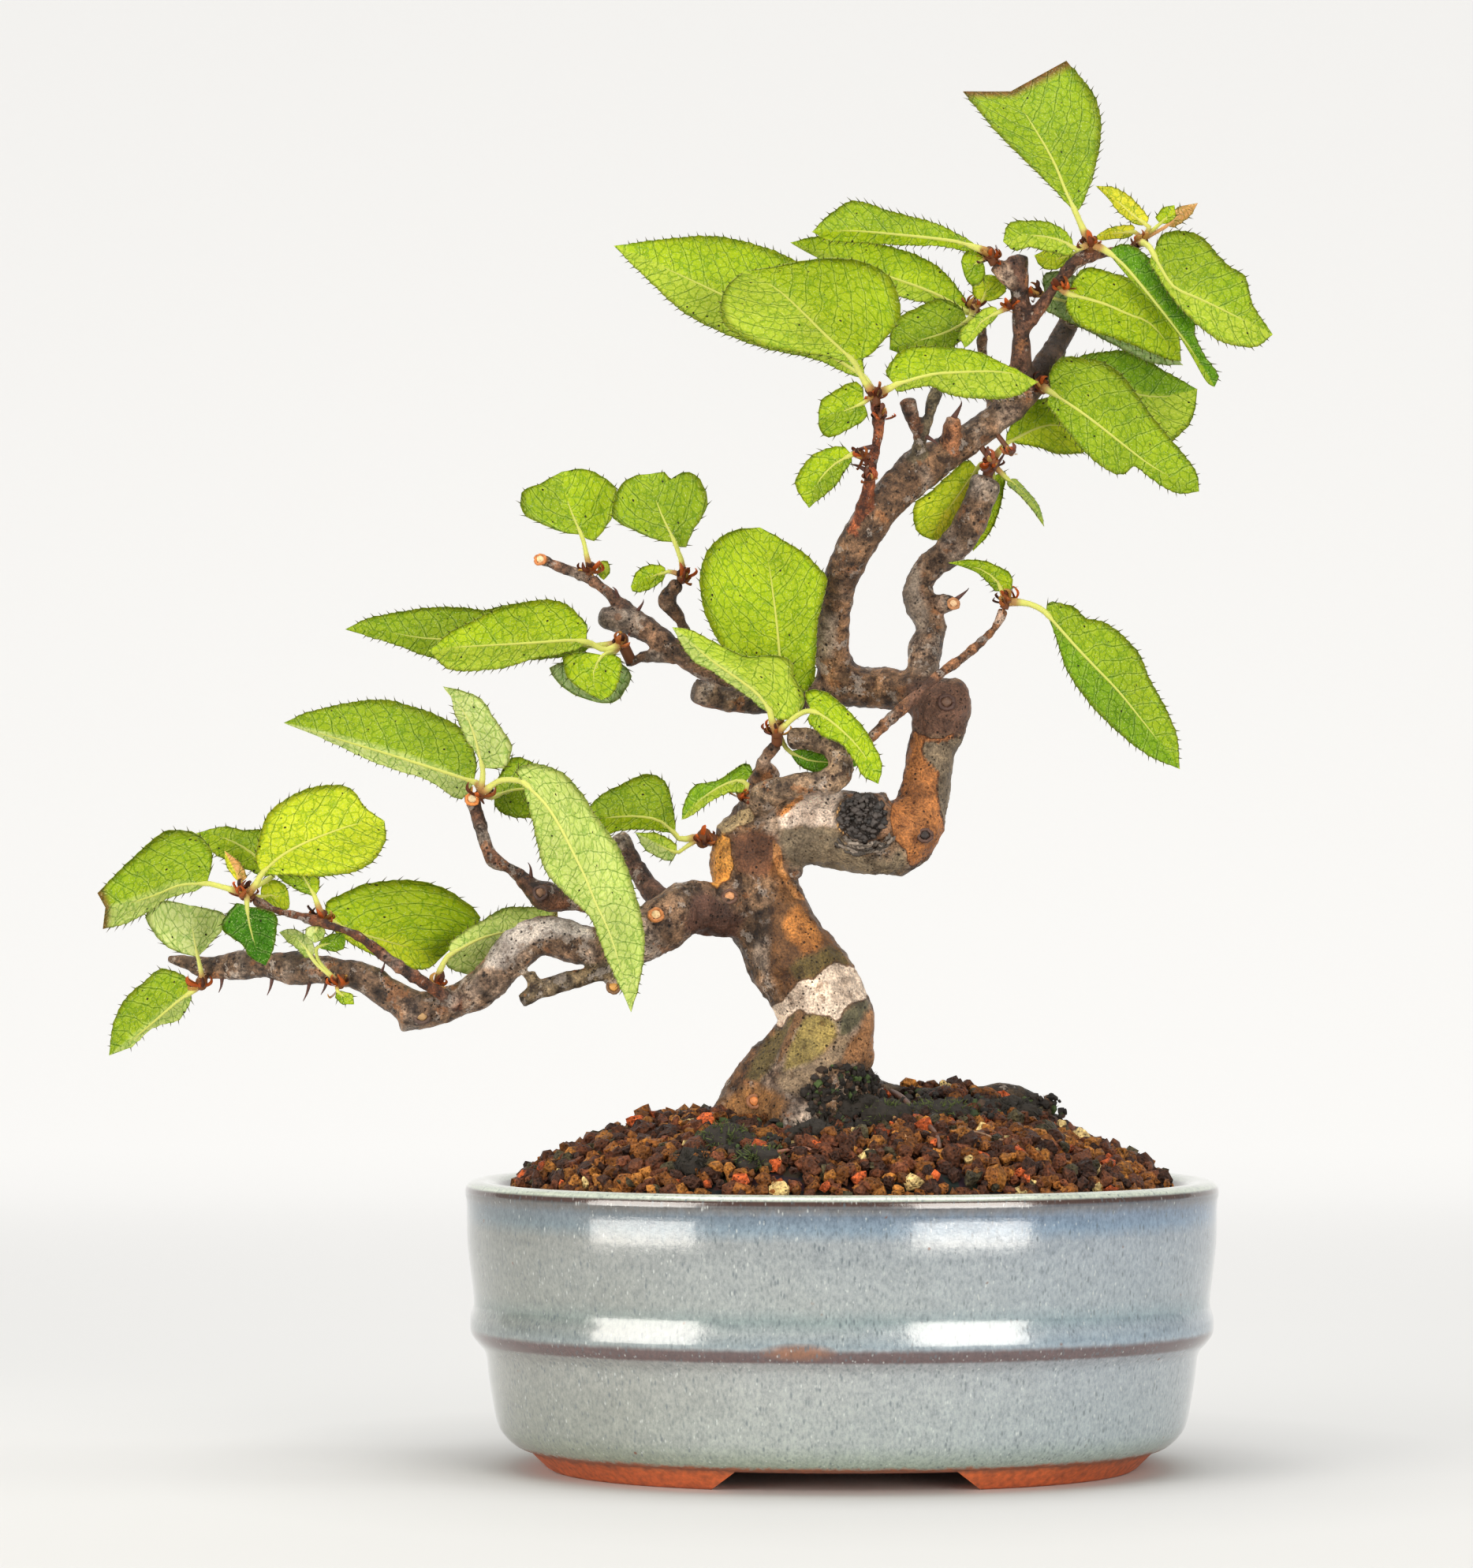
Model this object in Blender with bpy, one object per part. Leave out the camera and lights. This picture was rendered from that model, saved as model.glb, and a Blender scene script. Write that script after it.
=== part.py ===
"""Chinese quince bonsai in an oval glazed pot, with its soil, drainage screens and leafy shoots.

Lengths in the tables are millimetres and are turned into metres as each mesh is made.
x runs to the right, y away from the front, z up. The tables are written as the tree is seen
from the front: gx and gz are where a point shows against the upright plane through the
middle of the pot, and y is how far the point really lies behind that plane.
"""
import math
import random

import bmesh
import bpy
import numpy as np

MM = 0.001

# Driving dimensions, in millimetres
POT_LENGTH = 140.0
POT_DEPTH = 112.0
POT_HEIGHT = 53.2
POT_FLOOR_TOP = 8.6
POT_SQUARENESS = 2.15
POT_STEPS = 36
FOOT_HEIGHT = 3.4
FOOT_ARCH_TOP = 20.0
FOOT_ARCH_GROUND = 24.0
FOOT_INNER = 44.0
FOOT_OUTER_GROUND = 54.0
FOOT_OUTER_TOP = 58.4
HOLE_OFFSET = 30.0
HOLE_RADIUS = 6.0
SCREEN_SIZE = 18.0
SCREEN_THICKNESS = 1.0
GAP = 0.3
SOIL_EDGE = 50.0
SOIL_HALF_LENGTH = 63.2
SOIL_RINGS = 10
SOIL_STEPS = 44
BLADE_THICKNESS = 0.7
STALK_WIDTH = 1.3
TOOTH_HEIGHT = 0.8
ROW_SPACING = 6.0
EYE_DISTANCE = 1000.0
EYE_X = -19.5
EYE_Z = 106.0

ARCH_RATIO = POT_DEPTH / POT_LENGTH

# Outer side of the pot from the foot line up to the rim, as (half length, height)
POT_OUTSIDE = (
    (56.0, 3.4), (60.0, 4.2), (62.6, 6.3), (64.0, 9.0), (65.3, 16.0), (66.0, 21.3), (67.5, 23.3),
    (68.8, 25.3), (68.8, 28.3), (68.2, 31.0), (69.1, 40.0), (70.0, 50.9), (69.3, 52.6),
    (67.2, 53.2), (64.6, 52.6), (63.3, 50.6),
)
POT_INSIDE = ((62.4, 30.0), (60.0, 16.0), (57.0, 10.5), (52.0, 8.6))
# The soil's side, just inside the pot's
SOIL_SIDE = ((51.0, POT_FLOOR_TOP + GAP), (57.0, 10.9), (60.0, 16.4), (62.4, 30.4))

# Every limb of the tree: a run of (gx, gz, y, radius)
LIMBS = {
    "trunk": (
        (-9, 60, 0, 12), (-7, 67, 0, 11.3), (-5, 73, -1, 10.4), (-3.4, 78.5, -1, 9.7),
        (-3.2, 84, -2, 8.8), (-5.8, 89.5, -2, 8.5), (-9.8, 95, -1, 8.2), (-13, 101, 0, 7.9),
        (-15.8, 107, 1, 7.6), (-17.2, 113, 1, 7.2), (-16, 118.5, 1, 5.8), (-15, 122.5, 1, 4.2),
    ),
    "trunk_turn": (
        (-17, 112.5, 1, 6.2), (-8, 117.8, 0, 6.5), (0, 117.8, -1, 7.2), (6, 117.3, -2, 7.8),
        (11, 117.6, -2, 7.6), (14.2, 120.5, -1, 5.4), (15.5, 125, 1, 4.4), (16.3, 130, 2, 4.5),
        (17.4, 135, 2, 4.9), (18.8, 141, 2, 5.6), (18.2, 145.4, 3, 3.6),
    ),
    "old_cut": ((5, 119.5, -5, 5.6), (5, 120, -10.6, 4.9)),
    "upper_trunk": (
        (18, 142, 3, 4.2), (13, 143.6, 4, 3.8), (7, 144.6, 7, 3.9), (1.5, 145.3, 8, 4.2),
        (-1.3, 149, 7, 3.7), (-1.8, 154, 5, 3.2), (-1, 160, 2, 3.2), (0.8, 166.5, -1, 3.3),
        (4, 173, -3, 3.6), (8, 178.8, -3, 3.7), (13, 183.8, 0, 4), (18, 187.3, 2, 3.6),
        (24, 191, 4, 3), (30, 195.5, 4, 2.9), (35, 200.2, 4, 2.8), (38.2, 205, 5, 2.4),
        (41, 210, 7, 2.1), (43, 213.3, 8, 1.9),
    ),
    "stub": ((34, 201.5, 3, 2.4), (33.6, 206, 0, 2), (33.5, 214, -1, 1.9), (33.1, 221, -2, 1.9),
             (33, 225, -2, 2.2)),
    "stub_left_head": ((33, 219.5, -2, 1.7), (30.6, 221.8, -2.6, 1.6), (28.7, 223.6, -3, 1.7)),
    "stub_right_twig": (
        (34, 211.5, -1, 1.4), (36.4, 214.3, -1.6, 1.3), (38.9, 218, -2.3, 1.2),
        (41.9, 222, -3, 1.3), (44, 224.2, -3.6, 1.5), (46.4, 225.2, -3.6, 1.5),
        (50.3, 225.8, -2.2, 1), (54.3, 226.4, -1.6, 1.1),
    ),
    "hidden_twig": ((29, 195, 5, 1.8), (27.4, 201, 9, 1.3), (26.4, 207, 9, 1.2),
                    (26.2, 211.5, 8, 1.1), (25.3, 214.2, 7, 1.2)),
    "right_branch": (
        (14, 144, 4, 2.8), (15.3, 148.5, 5, 2.8), (15.6, 152, 7, 3.1), (16.8, 155.5, 8, 2.7),
        (15, 159.3, 9, 3.1), (14.4, 163.3, 10, 2.9), (16.5, 167, 10, 3), (20, 169.8, 9, 3),
        (23.6, 174.3, 8, 3.3), (25.4, 178.5, 8, 2.9), (27.2, 183.4, 8, 2.7),
    ),
    "right_branch_cut": ((16, 160.2, 9, 1.9), (20.6, 160.3, 5.5, 1.7)),
    "tan_twig": (
        (-2, 132.3, -7, 1.5), (2, 132.9, -8, 1.2), (5, 134.8, -9, 1.1), (8.4, 138, -8, 1.1),
        (12.2, 141.4, -7, 1.1), (17.8, 146.6, -5, 1), (23, 150.4, -3, 1), (27.7, 154.6, -1.4, 1),
        (29.4, 157, -1.2, 1), (30.3, 159.3, -1.2, 1.1),
    ),
    "upper_left_twig": (
        (3.2, 173, -4, 1.7), (3.9, 177.6, -6, 1.4), (5.1, 181.9, -7, 1.1), (5.6, 186.1, -8, 1.3),
        (6.7, 190.3, -9, 1.1), (7, 194, -10, 1.3), (6.5, 197, -10, 1.2),
    ),
    "grey_twig": ((13.8, 185.5, -1, 1.9), (14.7, 190.3, -3, 1.4), (16.1, 194, -4, 1.2),
                  (17.1, 198, -4, 1.2), (18.2, 200.4, -4, 1.2)),
    "grey_twig_arm": ((14.9, 191, -3, 1.3), (13.3, 194.6, -5, 1.3), (12.4, 198.2, -5.5, 1.6)),
    "bud_spur": ((20, 188.8, 1, 1.9), (21, 194.8, -1.5, 1.7)),
    "curled_spur": (
        (-16, 121.5, -2, 3.4), (-13.6, 124.7, -6, 2.8), (-9.5, 126.1, -8, 2.4),
        (-5.5, 126.6, -9, 2.3), (-1.6, 127.2, -9, 2.5), (0, 129.6, -8.6, 2.5),
        (-1.5, 133, -7.4, 2.3), (-5.6, 134.9, -6.4, 2.2), (-9.4, 135, -6, 2.1),
    ),
    "back_knob": ((-15.4, 121, 1, 2.6), (-15.2, 126.8, -0.5, 2.3), (-12.6, 129.5, -0.6, 2)),
    "pale_shoot": ((-15.2, 127.5, -1.5, 1.4), (-14.4, 131, -3.4, 1.2), (-12, 134, -5, 1.3)),
    "middle_branch": (
        (1, 145.3, 8, 3.6), (-6, 142.8, 9, 3.1), (-12, 142.3, 10, 3), (-17, 143.8, 11, 2.6),
        (-22.5, 146.6, 12, 2.2), (-29, 150, 13, 2.2), (-34.7, 154.4, 15, 2.3),
        (-38.5, 156.5, 16, 2.5), (-44.8, 157.8, 17, 1.9),
    ),
    "dead_stub": ((-13, 142, 10, 2.6), (-20, 142.2, 8, 2.4), (-27.4, 144, 6, 2.3)),
    "middle_upper_twig": ((-38, 156.8, 16, 1.9), (-42, 161, 17.5, 1.4), (-47, 164.9, 19, 1.2),
                          (-51.5, 166.6, 20, 1.1), (-56, 168.5, 21, 1.2)),
    "middle_lower_twig": ((-29, 149.6, 13, 1.3), (-33, 150.3, 14, 1.2), (-36.6, 150.2, 15, 1.1),
                          (-40.2, 149, 16, 1.2)),
    "riser_twig": ((-27.6, 150.6, 13, 1.5), (-29.2, 155.4, 12, 1.2), (-30.6, 158.2, 11, 1.2),
                   (-32.6, 160.6, 11, 1.6), (-31.2, 163, 10, 1.4), (-30, 164.2, 10, 1.3)),
    "left_branch": (
        (-17, 104.5, 0, 5.6), (-22, 103, -4, 5.3), (-28, 103.2, -8, 5), (-33, 100.8, -11, 5.2),
        (-38, 97.5, -12, 4.5), (-44, 96, -11, 3.8), (-50, 97.2, -9, 3.7), (-55, 98.5, -8, 3.7),
        (-59.3, 96.8, -8, 4), (-63, 92.4, -8, 3.8), (-67, 88.6, -7, 3.4), (-72, 86.2, -5, 3.2),
        (-77, 84.6, -4, 3.5), (-82, 84.2, -4, 3.4),
    ),
    "left_branch_end": (
        (-79.5, 84.8, -4, 3.2), (-84, 87.4, -4, 3), (-88, 90.2, -4, 2.9), (-94, 91.8, -3, 2.8),
        (-100, 92.2, -1, 3), (-106, 92.8, 1, 2.6), (-112, 92.8, 3, 2.7), (-118, 92.3, 5, 2.3),
        (-122, 93.5, 6, 1.4), (-125.4, 94.2, 6, 0.9),
    ),
    "grey_lower_twig": ((-40.5, 94.5, -12.5, 2.2), (-44, 91.8, -13, 1.8), (-51.8, 89.7, -12, 1.7),
                        (-56, 88.2, -11, 1.6), (-59.6, 86.3, -10, 1.6)),
    "grey_twig_fork": ((-56.4, 88, -11, 1.2), (-58, 91.3, -10, 1.1)),
    "riser": (
        (-38, 99, -8, 2.4), (-43, 103.4, -6, 2), (-50, 104.8, -5, 2.1), (-54.8, 105.6, -5, 3),
        (-57.4, 107.2, -5, 2.5), (-61.2, 110.6, -5, 1.3), (-64.6, 112.4, -6, 1.6),
        (-66.2, 115.6, -6, 1.3), (-67.6, 120.4, -6, 1.3), (-68.6, 123.4, -6, 1.6),
    ),
    "dark_stub": ((-31, 102.5, -5, 2.6), (-36.3, 108, 0, 2), (-41.6, 116.8, 3, 1.8)),
    "thin_twig": (
        (-71.6, 85.8, -8, 1.5), (-75, 88, -10, 1.2), (-82.6, 92.8, -12, 1.2),
        (-88, 97, -12, 1.1), (-91, 98.9, -12, 1.1), (-95, 100.2, -12, 1), (-99.6, 101.7, -11, 1),
        (-104.3, 102.8, -10, 0.9), (-107.4, 104, -10, 0.9), (-109.4, 105.2, -10, 1),
    ),
    "left_root": ((-8.5, 80, 0, 8), (-11, 74, 0, 7.4), (-14.5, 69, 0, 7), (-18, 64, -1, 6.4),
                  (-24, 58, -3, 5), (-30, 51, -4, 3)),
    "right_root": ((-3, 71, 2, 7), (4, 65.5, 4, 6), (10, 59, 6, 4.8), (16, 51, 8, 2.6)),
    "front_root": ((-8, 70, -3, 8), (-9, 62, -9, 5.6), (-10, 52, -13, 3)),
    "back_root": ((-5, 70, 4, 8), (-4, 62, 12, 5.4), (-3, 52, 18, 3)),
    "surface_root": ((2, 69, 5, 4), (9, 68.3, 8, 2.8), (17, 68, 10, 2.3), (25, 68.4, 11, 2.3),
                     (31, 68.4, 12, 2.7), (36, 66.6, 13, 2.3), (40, 60, 14, 1.8)),
    "scar_knob": ((-11, 110.8, -5, 2.2), (-7.6, 110.2, -6.5, 1.5)),
    "low_cut": ((-41, 93, -12, 1.6), (-42.5, 88.8, -12.5, 1.3)),
}
ROOTS = ("trunk", "left_root", "right_root", "front_root", "back_root", "surface_root")


def leaf(stalk, rib, upper, lower, depth, fold=(0.2, 0.2)):
    """One leaf. stalk, rib, upper and lower are runs of (gx, gz); depth is the y at the
    stalk's foot, at the blade's base and at its tip; fold is how far each edge leans away
    from the front for each millimetre that it shows beside the rib."""
    return {"stalk": stalk, "rib": rib, "upper": upper, "lower": lower, "depth": depth,
            "fold": fold}


# Every leafy shoot: its bud (gx, gz, y, radius) and its leaves
SPRAYS = {
    "low_tip": ((-119, 89.6, 3, 1.8), (
        leaf(((-119, 89.4), (-120.4, 88.4)), ((-120.8, 88), (-124, 85.7), (-130.6, 80.1), (-136.2, 76.1)),
             ((-122, 90.6), (-126.4, 92.1), (-129.9, 89.5), (-133.4, 86.2), (-135.3, 82), (-136.2, 76.1)),
             ((-121.4, 85.6), (-123.4, 82.8), (-127.8, 81.4), (-132, 77.9), (-136.2, 76.1)),
             (3, 3, 14), (0.25, 0.8)),
        leaf(((-118.9, 90.4), (-119.3, 92.8)), ((-119.7, 94.4), (-120.6, 99), (-121.2, 104)),
             ((-124.9, 96.1), (-128.2, 99.4), (-129.2, 102.6), (-126.5, 104.8), (-121.2, 104)),
             ((-117.4, 97), (-115.3, 99.4), (-114.8, 102.2), (-117.4, 103.2), (-121.2, 104)),
             (2, 0, -5)),
    )),
    "low_twig": ((-111, 106.2, -10, 1.6), (
        leaf(((-111.4, 106.4), (-116.5, 107.8)),
             ((-118, 108.1), (-123.1, 107.8), (-127.8, 105.9), (-132.5, 104.5), (-136.9, 103.6)),
             ((-117.2, 112), (-117.4, 114.6), (-120, 117.2), (-123.1, 117.9), (-125.9, 117.6),
              (-130.1, 114.4), (-138.4, 106.3)),
             ((-120, 106.9), (-125.4, 105.4), (-128.2, 103.4), (-132.5, 101), (-137.4, 99.6)),
             (-10, -10, -16), (0.15, 0.6)),
        leaf(((-110.2, 106.4), (-108.7, 108.3)),
             ((-107.8, 110), (-104.3, 113.2), (-100, 115.6), (-94.8, 117.7), (-90.1, 119.2), (-85, 119.7)),
             ((-108.9, 112.4), (-108.3, 116.3), (-106.6, 121), (-103.8, 123.3), (-101, 125),
              (-96.7, 126.2), (-93, 126.2), (-90.6, 125), (-88.5, 122), (-85, 119.7)),
             ((-106, 109.8), (-101.9, 109.7), (-96.7, 109.5), (-90.6, 110.4), (-87.1, 112.5),
              (-85, 116), (-85, 119.7)),
             (-10.5, -11, -22), (-0.1, 0.2)),
        leaf(((-110.4, 106.8), (-107, 108.6)), ((-105.6, 109.8), (-110, 114), (-115, 116.6), (-120, 117.5)),
             ((-104.8, 113), (-106.5, 117.6), (-111.8, 118), (-115, 118.6), (-120, 117.5)),
             ((-108, 109.6), (-110.4, 110.8), (-113.7, 112.1), (-117.4, 114.4), (-120, 117.5)),
             (-9, -6, 1)),
        leaf(((-109.8, 105.8), (-108.8, 105.7)), ((-108, 105.6), (-105.5, 105.9), (-102.6, 104.4)),
             ((-107.6, 107.8), (-105.2, 108.6), (-103.2, 107.2), (-102.6, 104.4)),
             ((-106.8, 104.6), (-105, 103.4), (-103.2, 103.2), (-102.6, 104.4)),
             (-9, -7.4, -6)),
        leaf(((-110.6, 105.6), (-110.6, 104.4)), ((-110.6, 103.8), (-110, 100), (-108.8, 96), (-107.1, 92.8)),
             ((-112.5, 104.2), (-115.3, 100.3), (-113.2, 98), (-111.3, 96.7), (-110, 94.5), (-107.1, 92.8)),
             ((-108.6, 103.4), (-105.3, 102.3), (-105.2, 99.6), (-105.7, 96), (-107.1, 92.8)),
             (-11.5, -13, -11)),
        leaf(((-111.2, 106.6), (-111.4, 107.6)), ((-111.7, 108.2), (-113, 111), (-114.8, 114.2)),
             ((-113, 109.2), (-114.5, 111.8), (-114.8, 114.2)),
             ((-110.8, 109.4), (-112.2, 112.2), (-114.8, 114.2)), (-10, -10, -11)),
    )),
    "low_twig_side": ((-96.8, 102, -9.4, 1.5), (
        leaf(((-96.8, 102.4), (-97.6, 104.6)), ((-97.9, 105.6), (-100.3, 109.7), (-103, 113), (-105.6, 115.6)),
             ((-97.2, 108), (-98.2, 112), (-100.6, 115), (-105.6, 115.6)),
             ((-99, 106), (-102, 107.4), (-105.2, 110), (-106.6, 113), (-105.6, 115.6)),
             (-9.4, -9.4, -8.4), (0, 0)),
        leaf(((-96.4, 101.8), (-95.6, 101.4)), ((-94.8, 101), (-90.3, 99), (-82, 96.6), (-74.5, 94.2)),
             ((-96, 104.2), (-92.5, 106.2), (-88.7, 107.8), (-81.2, 108.7), (-76, 107.8),
              (-71.6, 105.8), (-67.3, 101.6), (-70.4, 98.4), (-74.5, 94.2)),
             ((-94, 99), (-90, 96.4), (-85, 94), (-80, 92.4), (-76.8, 92.4), (-74.5, 94.2)),
             (-9, -6.5, 7), (0.3, -0.3)),
        leaf(((-96.9, 101.6), (-97.2, 100.8)), ((-97.4, 100.3), (-98, 98.7), (-98, 97)),
             ((-99.2, 99.8), (-99.6, 98.4), (-98, 97)), ((-96.3, 99.6), (-96.4, 98), (-98, 97)),
             (-9.6, -10.8, -11.2)),
    )),
    "low_branch_front": ((-93.2, 89.7, -7.4, 1.5), (
        leaf(((-93.4, 89.8), (-96.6, 92.2), (-97.8, 93.4)),
             ((-98.6, 94.4), (-100, 96.6), (-102, 98.3), (-104.6, 99)),
             ((-98, 95.6), (-99.2, 98.2), (-102.6, 99.6), (-104.6, 99)),
             ((-99.6, 94.4), (-101.2, 96), (-103.4, 97.8), (-104.6, 99)), (-7.4, -8.6, -7)),
        leaf(((-94, 90.2), (-97, 93.4), (-97.7, 95.2)), ((-97.4, 96.3), (-95, 97), (-92.2, 97.6)),
             ((-96.6, 97.6), (-94.5, 98.6), (-92.8, 98.6), (-92.2, 97.6)),
             ((-96.6, 95.9), (-94.2, 95.6), (-92.6, 96.2), (-92.2, 97.6)), (-7.6, -9.4, -9)),
        leaf(((-93.4, 89.2), (-93.8, 88.6)), ((-93.8, 88.2), (-92.4, 87), (-90.6, 85.6)),
             ((-92.6, 88), (-91, 87.3), (-90.6, 85.6)), ((-94, 87), (-92.8, 85.8), (-90.6, 85.6)),
             (-7.4, -8, -8)),
    )),
    "elbow": ((-75, 89.2, -4.6, 1.6), (
        leaf(((-75, 89.6), (-74.8, 91.5), (-73.6, 94)),
             ((-72.6, 95), (-67, 97.9), (-61.9, 99.2), (-56, 100.4), (-52.8, 101.8)),
             ((-72.9, 96.8), (-69.9, 99.3), (-66.1, 101.5), (-62.9, 103.4), (-60.7, 103.6), (-56.5, 103.7),
              (-52.8, 104)),
             ((-73.4, 93), (-70.8, 91.6), (-67.5, 91.6), (-63, 93), (-57, 96.6), (-53, 99.8)),
             (-4.6, -3, 4), (0.2, 0.1)),
    )),
    "left_riser": ((-66.9, 125, -7, 1.7), (
        leaf(((-67, 125.4), (-67.7, 126.6)),
             ((-68.4, 127), (-74.4, 129), (-83.1, 131.8), (-90.1, 133.9), (-97.2, 136.1), (-103.8, 138)),
             ((-68, 130.6), (-69.4, 135.1), (-71.8, 137.5), (-76, 139.6), (-80.7, 141.2), (-85, 142.2),
              (-90.1, 141.9), (-94.8, 141), (-99.6, 139.8), (-103.8, 138)),
             ((-69.7, 124.8), (-71.6, 124), (-77, 127.4), (-83.5, 129.5), (-88.3, 131.3), (-94.8, 134.4),
              (-103.8, 138)),
             (-7, -4, 12), (0.25, 0.6)),
        leaf(((-67.1, 125.6), (-66.7, 128.2)), ((-66.8, 129.6), (-68.3, 135.6), (-70.1, 139.8), (-74.2, 144.8)),
             ((-68, 132.3), (-70.1, 135.6), (-72, 140.3), (-73, 144), (-74.2, 144.8)),
             ((-64.6, 129.6), (-62.4, 130), (-61.5, 133.6), (-63.1, 136.5), (-65, 139.3), (-67.8, 142.8),
              (-74.2, 144.8)),
             (-8, -9.5, -15), (0.3, 0.3)),
        leaf(((-66.2, 125.4), (-63.6, 127.2), (-60.6, 127.3)),
             ((-59, 126.8), (-55.1, 122.9), (-52.3, 118.6), (-49.9, 113.9), (-47.6, 109.2), (-45.7, 104.5),
              (-43.3, 99.4), (-41.4, 93.7), (-39.8, 88.1), (-39.1, 84.1)),
             ((-60.6, 129.2), (-57.9, 130.2), (-54.6, 129.8), (-51.3, 128.1), (-48, 124.3), (-45.7, 120.5),
              (-42.9, 116.8), (-40.5, 112.5), (-37.7, 103.6), (-36.7, 97), (-37.5, 90.4), (-39.1, 84.1)),
             ((-58.9, 124.8), (-57.7, 121), (-55.6, 112.1), (-53.7, 108.8), (-49.9, 105), (-46.6, 101.7),
              (-43.8, 94.7), (-41.4, 89.5), (-39.1, 84.1)),
             (-8, -14, -28), (0.3, 0.3)),
        leaf(((-66.4, 124.6), (-65.4, 124.2)), ((-64.6, 124.2), (-61, 125.5), (-55, 125.5), (-48.6, 123)),
             ((-63.6, 128), (-61, 131.4), (-57, 130.3), (-52, 127), (-48.6, 123)),
             ((-64.2, 122.4), (-62, 120.8), (-57.5, 120.4), (-52, 121), (-48.6, 123)),
             (-6, -3.5, 6), (0.4, 0.3)),
    )),
    "trunk_left": ((-25.6, 116.5, -1.2, 2.3), (
        leaf(((-27.4, 116.6), (-29.9, 116.3)), ((-30.8, 117.2), (-33.9, 119.8), (-38.2, 120.6), (-43, 120.4),
                                             (-49, 120)),
             ((-31.2, 121), (-31.8, 124.3), (-33, 127.1), (-35.6, 128.4), (-38.6, 127.6), (-41.4, 126.2),
              (-45, 124.2), (-49, 120)),
             ((-32.4, 117.6), (-36, 118.2), (-41.4, 118), (-44.3, 117.2), (-49, 120)),
             (-1.6, -2.5, -6), (0.3, 0.3)),
        leaf(((-27.2, 116), (-29.6, 114.4)), ((-30.6, 113.8), (-34, 115.2), (-38.4, 117.6)),
             ((-31, 115.4), (-34, 117.2), (-38.4, 117.6)), ((-32, 112.4), (-36, 114.2), (-38.4, 117.6)),
             (-1.6, -3.6, -5)),
    )),
    "trunk_top": ((-18.4, 124.6, -4, 1.5), (
        leaf(((-18.2, 124.9), (-17.6, 126)), ((-17.8, 127), (-20, 127.2), (-23.5, 125.6), (-27, 123), (-29.7, 120)),
             ((-16.6, 129), (-17.9, 130.4), (-20.3, 129), (-23, 127.2), (-27.2, 126.2), (-29.2, 122.9),
              (-29.7, 120)),
             ((-18.4, 125.2), (-21.2, 125), (-24.5, 123.3), (-28.3, 120.5), (-29.7, 120)),
             (-5, -6, -10.5), (0.3, 0.4)),
    )),
    "curl": ((-11.9, 136.4, -6.6, 1.9), (
        leaf(((-12.2, 136.6), (-12.8, 138)),
             ((-13.2, 140), (-15.5, 143.3), (-19.8, 146.6), (-24.5, 149.9), (-28.7, 153.6), (-31.5, 155.8)),
             ((-11.8, 138.6), (-8, 139.5), (-7, 143), (-8.9, 146.6), (-9.4, 149.4), (-12.7, 150.6),
              (-17.4, 150.3), (-21.2, 151.8), (-24.5, 153.4), (-28.2, 155.3), (-31.5, 155.8)),
             ((-14.4, 140.4), (-17.4, 143), (-20.7, 145.3), (-24.5, 148), (-27.8, 149.9), (-31.5, 155.8)),
             (-7, -9, -11), (0.1, 0.5)),
        leaf(((-11.6, 137), (-11, 140.6)),
             ((-11, 143), (-11.5, 150.8), (-12, 156.5), (-12.7, 162.1), (-13.6, 168.2), (-15.1, 174.4)),
             ((-14.5, 145), (-19, 149), (-22.6, 153), (-25.2, 158.3), (-26.2, 164), (-25.4, 168.7),
              (-23, 172), (-19.8, 173.8), (-15.1, 174.4)),
             ((-7, 143.8), (-5.2, 146), (-4.9, 150), (-4.4, 157), (-2.8, 164.2), (-4.2, 166.8),
              (-7.1, 169.6), (-9.9, 171.4), (-15.1, 174.4)),
             (-6, -3.5, -7), (0.05, 0.05)),
        leaf(((-11, 137), (-9, 138.8), (-7, 140)),
             ((-5.6, 140.2), (-3.3, 139.3), (0, 136.7), (2.8, 133.9), (5.2, 130.6), (6.9, 126.6)),
             ((-6.6, 143.6), (-3.3, 143.8), (0, 141.4), (2.8, 138.6), (5.2, 135.3), (7.4, 130.4), (6.9, 126.6)),
             ((-6, 138.2), (-3.3, 135.6), (0, 134.1), (2.4, 131.1), (4.2, 128.2), (6.9, 126.6)),
             (-8, -11, -17)),
        leaf(((-11.6, 135.8), (-10.6, 133.8)), ((-9.6, 132.6), (-6, 131), (-2, 130.6), (3, 130)),
             ((-7.6, 133), (-4, 132.4), (0.6, 132.6), (3, 130)),
             ((-8.6, 131), (-6, 129.2), (-1, 128.8), (3, 130)), (-5, -3, -2.6), (0, 0)),
    )),
    "middle_tip": ((-46.6, 166.8, 18.6, 1.6), (
        leaf(((-46.9, 167), (-47.5, 169.5), (-47.9, 171.5)), ((-48.4, 173), (-49.8, 176.2), (-51, 179.5), (-52.1, 184.8)),
             ((-51.7, 173.6), (-55, 174.8), (-58.7, 176.7), (-59.6, 179), (-59, 181.4), (-55.9, 182.6), (-52.1, 184.8)),
             ((-46.3, 172), (-44.2, 174.2), (-42.2, 177.6), (-42, 181.4), (-44.1, 183.5), (-47.6, 185.2),
              (-52.1, 184.8)),
             (18.6, 19, 24)),
        leaf(((-46.2, 167), (-45.6, 167.4)), ((-45.2, 167.2), (-44.4, 166.6), (-44.2, 164.6)),
             ((-45, 168), (-43.4, 167.8), (-43.2, 166), (-44.2, 164.6)),
             ((-45.4, 166), (-45, 165.2), (-44.2, 164.6)), (19, 21, 21.5), (0, 0)),
    )),
    "middle_twig": ((-29.6, 165.4, 9.4, 1.5), (
        leaf(((-29.5, 165.8), (-29.7, 168), (-30.4, 170)),
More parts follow.
